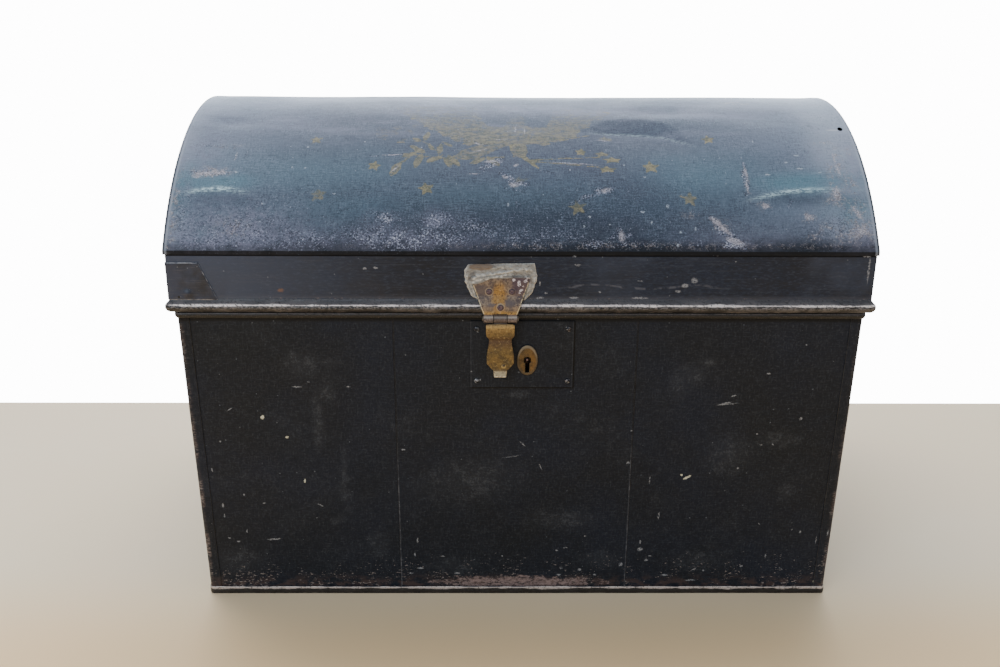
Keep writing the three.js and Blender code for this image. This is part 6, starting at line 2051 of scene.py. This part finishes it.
def make_solder():
    rays, steps = 220, 52
    middle_up = CLEAR_LOW + SOLDER_HEIGHT / 2
    front, back, raised = [], [], []
    for ray in range(rays):
        angle = 2 * pi * ray / rays
        ragged = noise.noise(Vector((cos(angle) * 6, sin(angle) * 6, 0)))
        reach = solder_reach(angle) * (0.98 - 0.035 * abs(ragged))
        for step in range(1, steps + 1):
            away = reach * (step / steps) ** 0.8
            across, up = away * cos(angle), middle_up + away * sin(angle)
            height = solder_height(across, up, reach - away)
            front.append((HASP_X + across, -BAND_HALF_DEPTH - GAP - height, up))
            raised.append(
                ridge_rise(across, up) / (1.6 * MM) + 0.7 * exp(-((reach - away) / (1.2 * MM)) ** 2)
            )
        back.append((
            HASP_X + reach * cos(angle), -BAND_HALF_DEPTH - 0.15 * MM,
            middle_up + reach * sin(angle),
        ))
    centre = len(front) + len(back)
    points = front + back + [(HASP_X, -BAND_HALF_DEPTH - GAP - 0.4 * MM, middle_up)]
    faces = []
    for ray in range(rays):
        following = (ray + 1) % rays
        here, there = ray * steps, following * steps
        faces.append((centre, here, there))
        faces += [(here + s, here + s + 1, there + s + 1, there + s) for s in range(steps - 1)]
        faces.append((here + steps - 1, len(front) + ray, len(front) + following, there + steps - 1))
    faces.append(tuple(range(len(front), len(front) + rays)))
    piece = make_piece("hasp_solder", [(points, faces)], dull_solder(), "lid", "hasp_solder_patch", 60)
    values = raised + [0.0] * (rays + 1)
    piece.data.attributes.new("raised", "FLOAT", "POINT").data.foreach_set("value", values)


def rivet_centre(name):
    low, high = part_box(name)
    return (low.x + high.x) / 2, (low.z + high.z) / 2


def knuckle_metal(net, tone, at):
    """Grey-brown metal of the knuckles, with a painted highlight along the top and painted shade under it."""
    up = net.z - PIVOT_UP
    tube = abs(up).rise(5.2 * MM, 4.8 * MM)
    tone = tone.coat(tube, 92, 80, 76)
    grain = at.noise(2 * MM, 5, 0.7)
    tone = tone.coat(tube * (grain.rise(0.45, 0.6) * 0.6), 150, 132, 122)
    # Painted highlight along the knuckles' top.
    ridge = abs(up - 2.6 * MM).rise(1.4 * MM, 0.3 * MM)
    tone = tone.coat(ridge * 0.65, 190, 176, 160)
    # Painted shade under the knuckles.
    under = tube * up.rise(-1.5 * MM, -4.0 * MM)
    tone = tone.coat(under * 0.7, 40, 34, 32)
    across = abs(net.x - HASP_X)
    middle = across.rise(6.9 * MM, 6.5 * MM)
    tone = tone.coat(tube * middle * 0.45, 66, 54, 52)
    joint = abs(across - 6.8 * MM).rise(0.6 * MM, 0.2 * MM)
    tone = tone.coat(tube * joint * 0.75, 34, 28, 28)
    slot = abs(up - 5.4 * MM).rise(0.8 * MM, 0.3 * MM)
    return tone.coat(slot * middle * 0.85, 30, 22, 20)


def hasp_upper_brass():
    """Brass leaf with purple-brown stain, ringed rivets, pale flecks, and pale edges: partly rubbed, partly
    painted highlight.
    """
    net = Net("hasp_leaf_brass")
    at = net.front()
    torn = at.shaken(6 * MM, 7 * MM)
    cloud = at.noise(8 * MM, 6, 0.7)
    tone = cloud.rise(0.42, 0.56).blend((92, 78, 74), (138, 118, 98))
    middle = torn.ellipse((HASP_X - 1 * MM, PIVOT_UP + 21 * MM), (8 * MM, 17 * MM))
    tone = tone.coat(middle.rise(0.5, 1.2, 0.9, 0), 168, 124, 56)
    low = net.z.rise(PIVOT_UP + 10 * MM, PIVOT_UP + 6 * MM)
    tone = tone.coat(low * 0.7, 186, 144, 66)
    grain = at.noise(2.2 * MM, 6, 0.75, shift=2.0)
    tone = tone.coat(grain.rise(0.52, 0.6) * 0.85, 70, 52, 46)
    tone = tone.coat(grain.rise(0.44, 0.36) * 0.6, 188, 164, 128)
    blots = [
        ((HASP_X - 9 * MM, PIVOT_UP + 14 * MM), (5 * MM, 2.6 * MM), 0.0),
        ((HASP_X + 9 * MM, PIVOT_UP + 16 * MM), (5 * MM, 5 * MM), 0.0),
        ((HASP_X - 18 * MM, PIVOT_UP + 29 * MM), (8 * MM, 6 * MM), 0.0),
    ]
    blot = chips_from(net, torn, blots).rise(0.5, 1.2, 0.8, 0)
    tone = tone.coat(blot, 90, 78, 78)
    for name in HASP_RIVETS:
        near = at.ellipse(rivet_centre(name), (4.4 * MM, 4.4 * MM))
        tone = tone.coat(near.rise(0.8, 1.1, 0.8, 0), 172, 150, 124)
    right = net.x.rise(HASP_X + 6 * MM, HASP_X + 15 * MM)
    high = net.z.rise(PIVOT_UP + 19 * MM, PIVOT_UP + 27 * MM)
    corner = right * high
    tone = tone.coat(corner * 0.75, 74, 56, 72)
    tone = white_flecks(net, tone, at)
    side = abs(net.x - HASP_X)
    reach = net.z - LID_LOW
    slope = (HASP_TOP_HALF - HASP_LOW_HALF) / (PIVOT_UP + HASP_RISE - LID_LOW)
    rim = HASP_LOW_HALF + reach * slope - side
    # Pale edges: partly rubbed, partly painted highlight.
    edge = rim.rise(1.4 * MM, 0.7 * MM) * grain.rise(0.6, 0.48)
    tone = tone.coat(edge * 0.85, 226, 208, 170)
    tone = knuckle_metal(net, tone, at)
    rough = cloud.rise(0.3, 0.7, 0.56, 0.42)
    relief = net.noise(4 * MM, 5) + grain * 0.5
    return net.finish(tone, rough, metal=0.15, bump=relief, height=0.6 * MM)


def hasp_lower_brass():
    """Brass of the hanging leaf: bright at its head, painted lighter at the head's top as highlight, rubbed
    bright at its tab, dull and brown on its neck and belly.
    """
    net = Net("hasp_hanging_brass")
    at = net.front()
    drop = PIVOT_UP - net.z
    cloud = at.noise(9 * MM, 6, 0.62)
    tone = cloud.rise(0.36, 0.6).blend((86, 69, 38), (120, 95, 49))
    neck = drop.rise(17 * MM, 20 * MM) * drop.rise(36 * MM, 26 * MM)
    tone = tone.coat(neck * 0.75, 96, 72, 48)
    shoulder = abs(drop - 24 * MM).rise(4.5 * MM, 0.6 * MM)
    tone = tone.coat(shoulder * 0.5, 74, 54, 46)
    # Head: lighter at its top and darker lower down, as painted highlight.
    head = drop.rise(5.6 * MM, 6.4 * MM) * drop.rise(19 * MM, 14.5 * MM)
    tone = tone.mix(head * 0.8, drop.rise(8 * MM, 16 * MM).blend((172, 137, 78), (124, 96, 51)))
    # Painted highlight along the top of the head's roll.
    ridge = abs(drop - 8.4 * MM).rise(2 * MM, 0.4 * MM)
    tone = tone.coat(ridge * 0.4, 208, 173, 112)
    tab = drop.rise(54.5 * MM, 56.5 * MM)
    tone = tone.coat(tab * 0.75, 196, 174, 134)
    lip = drop.rise(59.6 * MM, 60.8 * MM)
    tone = tone.coat(lip * 0.7, 240, 226, 196)
    fold = abs(drop - 54.2 * MM).rise(1.2 * MM, 0.3 * MM)
    tone = tone.coat(fold * 0.6, 82, 62, 36)
    grain = at.noise(2.2 * MM, 6, 0.75, shift=2.0)
    tone = tone.coat(grain.rise(0.5, 0.6) * 0.75, 78, 58, 38)
    tone = tone.coat(grain.rise(0.44, 0.34) * 0.55, 188, 162, 108)
    tone = knuckle_metal(net, tone, at)
    rough = cloud.rise(0.3, 0.7, 0.5, 0.36)
    relief = net.noise(5 * MM, 4) + grain * 0.4
    return net.finish(tone, rough, metal=0.2, bump=relief, height=0.6 * MM)


def staple_brass():
    """Dull brass, with a rubbed ring and a dark middle on the disc that shows on the leaf."""
    net = Net("staple_brass")
    grain = net.noise(1.6 * MM, 5, 0.7)
    tone = grain.rise(0.4, 0.6).blend((98, 76, 44), (146, 116, 66))
    low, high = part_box("hasp_staple")
    middle = ((low.x + high.x) / 2, SLOT_UP)
    away = net.front().ellipse(middle, (2.6 * MM, 2.6 * MM))
    tone = tone.coat(away.rise(0.5, 0.8, 0, 0.8), 192, 164, 104)
    tone = tone.coat(away.rise(0.25, 0.5, 0.85, 0), 44, 32, 24)
    return net.finish(tone, grain.rise(0.3, 0.7, 0.5, 0.36), metal=0.2, bump=grain, height=0.4 * MM)


def hasp_rivet_metal():
    """Dark rivet heads with a rubbed ring."""
    net = Net("hasp_rivet_metal")
    at = net.front()
    near = chips_from(net, at, [(rivet_centre(name), (HASP_RIVET, HASP_RIVET), 0.0) for name in HASP_RIVETS])
    grain = at.noise(1.6 * MM, 5, 0.7)
    tone = grain.rise(0.4, 0.6).blend((64, 46, 62), (112, 94, 96))
    ring = abs(near - 0.9).rise(0.16, 0.04)
    tone = tone.coat(ring * 0.5, 60, 46, 44)
    return net.finish(tone, 0.5, metal=0.3, bump=grain, height=0.4 * MM)


# Rivets



def make_rivet(node, place, material, body, radius=RIVET_RADIUS, dent=0.0):
    """A round-headed rivet in the place of a CAD rivet, along the outward axis of a frame."""
    back = place.inverted()
    corners = np.array([back @ vertex.co for vertex in frame["nodes"][node].data.vertices])
    low, high = corners.min(0), corners.max(0)
    middle = (low + high) / 2
    part = rivet_part(high[2] - RIVET_HEIGHT, low[2] + RIVET_TAIL, radius, dent)
    shift = place @ shifted(middle[0], middle[1], 0)
    make_piece(node + "_head", [moved(part, shift)], material, body, node, 50)


def make_rivets():
    iron = dull_steel("rivet_iron", black=0.5)
    lock = dull_steel("lock_rivet_iron", colour(176, 176, 180), colour(96, 96, 100), 0.2, 2.6 * MM)
    hasp = hasp_rivet_metal()
    for index in (1, 2, 3, 4):
        make_rivet(f"lock_plate_rivet_{index}", FRONT_WALL, lock, "trunk_body")
    for name in HASP_RIVETS:
        make_rivet(name, FRONT_BAND, hasp, "lid", HASP_RIVET, dent=0.7 * MM)
    for side in ("left", "right"):
        for index in (1, 2):
            make_rivet(f"{side}_hinge_body_rivet_{index}", BACK_BAND, iron, "trunk_body")
            make_rivet(f"{side}_hinge_lid_rivet_{index}", BACK_BAND, iron, "lid")


# Lock on the front

LOCK_WIDTH = 105.7 * MM
LOCK_HEIGHT = 73.5 * MM
LOCK_THICK = 1 * MM
LOCK_LEFT = HASP_X + 22.55 * MM - LOCK_WIDTH / 2
LOCK_HIGH = BODY_HEIGHT - 2.5 * MM
KEY_X = HASP_X + 27.6 * MM
KEY_UP = BODY_HEIGHT - 44.4 * MM
KEY_RADIUS = 3.8 * MM
KEY_SLOT_HALF = 2 * MM
KEY_SLOT_DROP = 13.2 * MM
STAPLE_X = HASP_X + 3.5 * MM
SLOT_UP = PIVOT_UP - 49.3 * MM
SLOT_HALF_WIDTH = 2.4 * MM
SLOT_HALF_HEIGHT = 8.4 * MM
COVER_HALF_WIDTH = 10.6 * MM
COVER_HALF_HEIGHT = 16.3 * MM
COVER_THICK = 1.8 * MM
LOCK_CASE_FACE = -1.9 * MM
LOCK_CASE_DEPTH = 13 * MM
POST_RADIUS = 1.2 * MM
POST_FOOT = 2.4 * MM
POST_FOOT_THICK = 1.5 * MM
LOCK_SCRATCHES = [
    (476, 331, 2, 0.8, -30), (479, 379, 1, 2, -20), (470, 371, 1.2, 1), (566, 326.5, 2.4, 0.7),
    (565, 379.5, 2, 0.8), (477, 379.6, 1, 1.6, -30),
]


def keyhole(room):
    turn = asin((KEY_SLOT_HALF + room) / (KEY_RADIUS + room))
    first, last = 1.5 * pi + turn, 3.5 * pi - turn
    arc = arc_points((KEY_X, KEY_UP), KEY_RADIUS + room, first, last, 22)
    arc.append((KEY_X - KEY_SLOT_HALF - room, KEY_UP + (KEY_RADIUS + room) * sin(last)))
    foot = KEY_UP - KEY_SLOT_DROP - room
    return arc + [(KEY_X - KEY_SLOT_HALF - room, foot), (KEY_X + KEY_SLOT_HALF + room, foot)]


def box_points(left, right, low, high, corner=0.0):
    if not corner:
        return [(left, low), (right, low), (right, high), (left, high)]
    points = []
    for number, (x, y) in enumerate([(right, high), (left, high), (left, low), (right, low)]):
        centre = (x + (corner if x == left else -corner), y + (corner if y == low else -corner))
        points += arc_points(centre, corner, number * pi / 2, (number + 1) * pi / 2, 6)
        last = (number + 1) * pi / 2
        points.append((centre[0] + corner * cos(last), centre[1] + corner * sin(last)))
    return points


def make_lock():
    slot = box_points(
        STAPLE_X - SLOT_HALF_WIDTH, STAPLE_X + SLOT_HALF_WIDTH, SLOT_UP - SLOT_HALF_HEIGHT,
        SLOT_UP + SLOT_HALF_HEIGHT,
    )
    plate = box_points(LOCK_LEFT, LOCK_LEFT + LOCK_WIDTH, LOCK_HIGH - LOCK_HEIGHT, LOCK_HIGH, 1.2 * MM)
    sheet = flat_plate("lock_plate_form", [plate, keyhole(GAP), slot], LOCK_THICK, 0.3 * MM)
    at_plate = FRONT_WALL @ shifted(0, 0, PLATE_OUT + GAP)
    border = (LOCK_LEFT, LOCK_LEFT + LOCK_WIDTH, LOCK_HIGH - LOCK_HEIGHT)
    paint = wall_paint(
        "lock_plate_paint", scratches=marks(LOCK_SCRATCHES, on_wall), low_wear=0.0, border=border,
    )
    face = make_piece("lock_face", [moved(sheet, at_plate)], paint, "trunk_body", "lock_plate", 30)
    oval = [
        (KEY_X + COVER_HALF_WIDTH * cos(a), KEY_UP + COVER_HALF_HEIGHT * sin(a))
        for a in [2 * pi * step / 72 for step in range(72)]
    ]
    cover = flat_plate("escutcheon_form", [oval, keyhole(0)], COVER_THICK, 0.75 * MM)
    at_cover = FRONT_WALL @ shifted(0, 0, PLATE_OUT + LOCK_THICK + 2 * GAP)
    brass = escutcheon_brass()
    parts = [moved(cover, at_cover)]
    made = make_piece("keyhole_cover", parts, brass, "trunk_body", "keyhole_escutcheon", 50)
    back = LOCK_CASE_FACE - GAP - LOCK_CASE_DEPTH
    front = PLATE_OUT + GAP + LOCK_THICK + COVER_THICK / 2
    profile = [
        (0, back - POST_FOOT_THICK), (POST_FOOT, back - POST_FOOT_THICK), (POST_FOOT, back - GAP),
        (POST_RADIUS, back - GAP), (POST_RADIUS, front - 0.5 * MM), (POST_RADIUS * 0.85, front - 0.2 * MM),
        (POST_RADIUS * 0.5, front), (0, front),
    ]
    at_post = FRONT_WALL @ shifted(KEY_X, KEY_UP, 0)
    metal = dull_steel("key_post_metal", colour(176, 146, 138), colour(120, 92, 86))
    post = make_piece("key_post_rod", [moved(lathe(profile), at_post)], metal, "trunk_body", "key_post")


def escutcheon_brass():
    """Brass cover: orange-brown and pitted, its rim painted darker as shade and paler above as highlight."""
    net = Net("escutcheon_brass")
    cloud = net.noise(6 * MM, 6, 0.66)
    tone = cloud.rise(0.38, 0.6).blend((74, 57, 34), (112, 86, 47))
    grain = net.noise(1.6 * MM, 5, 0.75)
    right = net.x.rise(KEY_X, KEY_X + 6 * MM)
    tone = tone.coat(right * 0.35, 126, 90, 44)
    tone = tone.coat(grain.rise(0.54, 0.62) * 0.7, 48, 36, 26)
    tone = tone.coat(grain.rise(0.4, 0.34) * 0.45, 148, 120, 70)
    rim = net.front().ellipse((KEY_X, KEY_UP), (COVER_HALF_WIDTH, COVER_HALF_HEIGHT))
    # Painted shade on the rim, and painted highlight on its upper part.
    edge = rim.rise(0.78, 0.86)
    tone = tone.coat(edge * 0.6, 84, 76, 62)
    above = net.z.rise(KEY_UP - 1 * MM, KEY_UP + 9 * MM)
    tone = tone.coat(edge * above * 0.6, 146, 132, 110)
    rough = cloud.rise(0.3, 0.7, 0.46, 0.32)
    relief = net.noise(4 * MM, 5) + grain * 0.4
    return net.finish(tone, rough, metal=0.4, bump=relief, height=0.5 * MM)


# Back hinges

HINGE_X = 205 * MM
HINGE_KNUCKLES = [-30 * MM, -18 * MM, -6 * MM, 6 * MM, 18 * MM, 30 * MM]
HINGE_HALF = 29.85 * MM
HINGE_TOP_HALF = 22 * MM
HINGE_DROP = 40 * MM


def hinge_lid_half(up):
    return leaf_half(up, HINGE_HALF, HINGE_TOP_HALF)


def hinge_body_half(up):
    rise = max(0, (PIVOT_UP - HINGE_DROP + 3 * MM - up) / (3 * MM))
    return HINGE_HALF - 3 * MM * (1 - sqrt(max(0, 1 - min(1, rise) ** 2)))


def wall_face_out(up):
    """How far out the leaf on the back wall lies at a height, from the band's face."""
    return WALL_FOOT_HALF_DEPTH + WALL_SLOPE * up + PLATE_OUT - BAND_HALF_DEPTH + GAP + LEAF / 2


def make_hinges():
    iron = dull_steel("hinge_iron", black=0.62)
    beside = PIVOT_OUT - KNUCKLE + LEAF / 2
    step_low = BODY_HEIGHT - 2 * KNUCKLE
    foot = PIVOT_UP - HINGE_DROP
    body_line = smooth_line([
        (PIVOT_UP - 3.2 * MM, beside), (BODY_HEIGHT - LEAF, beside), (step_low, wall_face_out(step_low)),
        (foot, wall_face_out(foot)),
    ])
    lid_line = lid_leaf_line(PIVOT_UP + HASP_RISE, GAP + LEAF / 2)
    body_tabs = [(PIVOT_UP, beside), (PIVOT_UP - 4 * MM, beside)]
    for side, sign in (("left", -1), ("right", 1)):
        place = BACK_BAND @ shifted(-sign * HINGE_X, 0, 0)
        below = [bent_strip(body_line, hinge_body_half, LEAF)] + knuckle_tabs(body_tabs, HINGE_KNUCKLES, 0)
        above = [bent_strip(lid_line, hinge_lid_half, LEAF)] + knuckle_tabs(LID_TABS, HINGE_KNUCKLES, 1)
        rings = knuckle_rings(HINGE_KNUCKLES)
        below = [moved(part, place) for part in below + rings[::2]]
        above = [moved(part, place) for part in above + rings[1::2]]
        pin = moved(pin_part(HINGE_KNUCKLES), place @ AT_PIN)
        pieces = [
            (f"{side}_hinge_leaf_low", below, "trunk_body", f"{side}_hinge_body_leaf"),
            (f"{side}_hinge_leaf_high", above, "lid", f"{side}_hinge_lid_leaf"),
            (f"{side}_hinge_rod", [pin], "trunk_body", f"{side}_hinge_pin"),
        ]
        for name, parts, body, node in pieces:
            make_piece(name, parts, iron, body, node, 35)


# Drop handles on the ends

HANDLE_UP = 232 * MM
HANDLE_HALF_WIDTH = 76 * MM
HANDLE_HALF_HEIGHT = 17 * MM
HANDLE_EYE_X = 52 * MM
HANDLE_RIVET_X = 68 * MM
HANDLE_PLATE = 1.2 * MM
HANDLE_CORNER = 14 * MM
HANDLE_OUT = 6.3 * MM
EYE_HALF = 6 * MM
EYE_RADIUS = 4.8 * MM
EYE_BORE = 3.4 * MM
ROD = 3 * MM
HANDLE_DROP = 44 * MM
HANDLE_BEND = 9 * MM


def rounded_route(corners, radii, steps=8):
    """Points of a flat line with its bends rounded."""
    points = [Vector(corners[0])]
    for before, corner, after, radius in zip(corners, corners[1:], corners[2:], radii):
        corner = Vector(corner)
        start = corner + (Vector(before) - corner).normalized() * radius
        end = corner + (Vector(after) - corner).normalized() * radius
        for step in range(steps + 1):
            t = step / steps
            points.append(start * (1 - t) ** 2 + corner * (2 * t * (1 - t)) + end * t**2)
    points.append(Vector(corners[-1]))
    return points


def rod_part(points, radius, sides=18):
    rings = []
    for index, point in enumerate(points):
        before = points[max(index - 1, 0)]
        after = points[min(index + 1, len(points) - 1)]
        run = (after - before).normalized()
        shrink = 0.8 if index in (0, len(points) - 1) else 1
        ring = []
        for side in range(sides):
            turn = 2 * pi * side / sides
            across = radius * shrink * cos(turn)
            ring.append((
                point.x - run.y * across, point.y + run.x * across, radius * shrink * sin(turn),
            ))
        rings.append(ring)
    return skin(rings)


def make_handles():
    plate_metal = dull_steel("handle_plate_iron", black=0.7)
    bail_metal = dull_steel("handle_bail_iron", black=0.4)
    outline = box_points(
        -HANDLE_HALF_WIDTH, HANDLE_HALF_WIDTH, -HANDLE_HALF_HEIGHT, HANDLE_HALF_HEIGHT, HANDLE_CORNER,
    )
    sheet = flat_plate("handle_plate_form", [outline], HANDLE_PLATE, 0.35 * MM)
    end_x = HANDLE_EYE_X + EYE_HALF + ROD
    leg_x = HANDLE_EYE_X - EYE_HALF - 2 * ROD
    corners = [
        (-end_x, 0), (-end_x + 1 * MM, 0), (-leg_x, 0), (-leg_x, -HANDLE_DROP), (leg_x, -HANDLE_DROP),
        (leg_x, 0), (end_x - 1 * MM, 0), (end_x, 0),
    ]
    bends = [0.2 * MM, ROD * 1.5, HANDLE_BEND, HANDLE_BEND, ROD * 1.5, 0.2 * MM]
    bail = rod_part(rounded_route(corners, bends), ROD)
    for side, turn in (("left", -pi / 2), ("right", pi / 2)):
        wall = wall_frame(turn, WALL_FOOT_HALF_WIDTH) @ shifted(0, HANDLE_UP, 0)
        parts = [moved(sheet, wall @ shifted(0, 0, GAP))]
        for x in (-HANDLE_EYE_X, HANDLE_EYE_X):
            eye = tube(EYE_RADIUS, EYE_BORE, x - EYE_HALF, x + EYE_HALF)
            parts.append(moved(eye, wall @ shifted(0, 0, HANDLE_OUT)))
        for x in (-HANDLE_RIVET_X, HANDLE_RIVET_X):
            for y in (-HANDLE_HALF_HEIGHT / 2, HANDLE_HALF_HEIGHT / 2):
                head = lathe([(0, GAP)] + head_profile(RIVET_RADIUS, RIVET_HEIGHT, GAP + HANDLE_PLATE))
                parts.append(moved(head, wall @ shifted(x, y, 0)))
        back = make_piece(f"{side}_handle_back", parts, plate_metal, "trunk_body", f"{side}_handle_plate", 35)
        joint = joint_place(f"{side}_handle_hinge")
        upright = Matrix.Rotation(pi / 2, 4, "X")
        place = Matrix.Rotation(turn, 4, "Z") @ shifted(0, -abs(joint[0]), joint[2]) @ upright
        made = make_piece(
            f"{side}_handle_wire", [moved(bail, place)], bail_metal, f"{side}_handle",
            f"{side}_handle_bail", 35,
        )


# Sheets and small parts that keep their packed form

def soften(node, material, width=0.25 * MM):
    """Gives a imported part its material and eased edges."""
    piece = frame["nodes"][node]
    piece.data.materials.clear()
    piece.data.materials.append(material)
    weld = piece.modifiers.new("weld", "WELD")
    weld.merge_threshold = 0.01 * MM
    bevel = piece.modifiers.new("bevel", "BEVEL")
    bevel.width = width
    bevel.segments = 2
    bevel.limit_method = "ANGLE"
    bevel.angle_limit = radians(35)
    even = piece.modifiers.new("even", "WEIGHTED_NORMAL")
    even.keep_sharp = True


# Easing of the walls, whose edges lie close together
CLOSE = 0.05 * MM
# Distance of the front's seam lines from the edges of its centre plate
SEAM_INSET = 0.8 * MM


def finish_sheets():
    left, right = marks(LEFT_SCRATCHES, on_wall), marks(RIGHT_SCRATCHES, on_wall)
    primer = (on_wall(*PRIMER_PATCH), tuple(half * PIXEL for half in PRIMER_HALF))
    low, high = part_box("front_centre_plate")
    paints = {
        "front_left": wall_paint(
            "front_left_paint", marks(LEFT_CHIPS, on_wall), left, marks(LEFT_SMUDGES, on_wall),
        ),
        "front_centre": wall_paint(
            "front_centre_paint", (), marks(CENTRE_SCRATCHES, on_wall), marks(CENTRE_SMUDGES, on_wall),
            primer, seams=(low.x + SEAM_INSET, high.x - SEAM_INSET),
        ),
        "front_right": wall_paint(
            "front_right_paint", marks(RIGHT_CHIPS, on_wall), right, marks(RIGHT_SMUDGES, on_wall),
        ),
        "left_end": wall_paint("left_end_paint", (), left[:12]),
        "right_end": wall_paint("right_end_paint", (), right[-14:]),
    }
    plain = wall_paint("back_paint", low_wear=0.75)
    for place in ("back_left", "back_centre", "back_right", "left_bottom", "right_bottom"):
        paints[place] = plain
    for place, paint in paints.items():
        soften(place + "_plate", paint, CLOSE)
    soften(
        "lid_front_band",
        band_paint("front_band_paint", marks(BAND_MARKS, on_band), marks(BAND_RUST, on_band)),
    )
    band = band_paint("lid_paint")
    for node in ("lid_back_band", "left_lid_end", "right_lid_end"):
        soften(node, band)
    soften("hasp_staple", staple_brass(), 0.15 * MM)
    iron = dull_steel("lock_iron")
    for node in ("lock_case", "bolt_spring"):
        soften(node, iron, 0.15 * MM)
    brass = old_brass("bolt_brass", colour(176, 146, 84), colour(122, 98, 54), colour(84, 68, 44))
    soften("lock_bolt", brass, 0.2 * MM)


make_camera()
make_stage()
make_dome()
make_beads()
make_foot_rim()
make_repair_patch()
make_solder()
make_hasp()
make_rivets()
make_lock()
make_hinges()
make_handles()
finish_sheets()
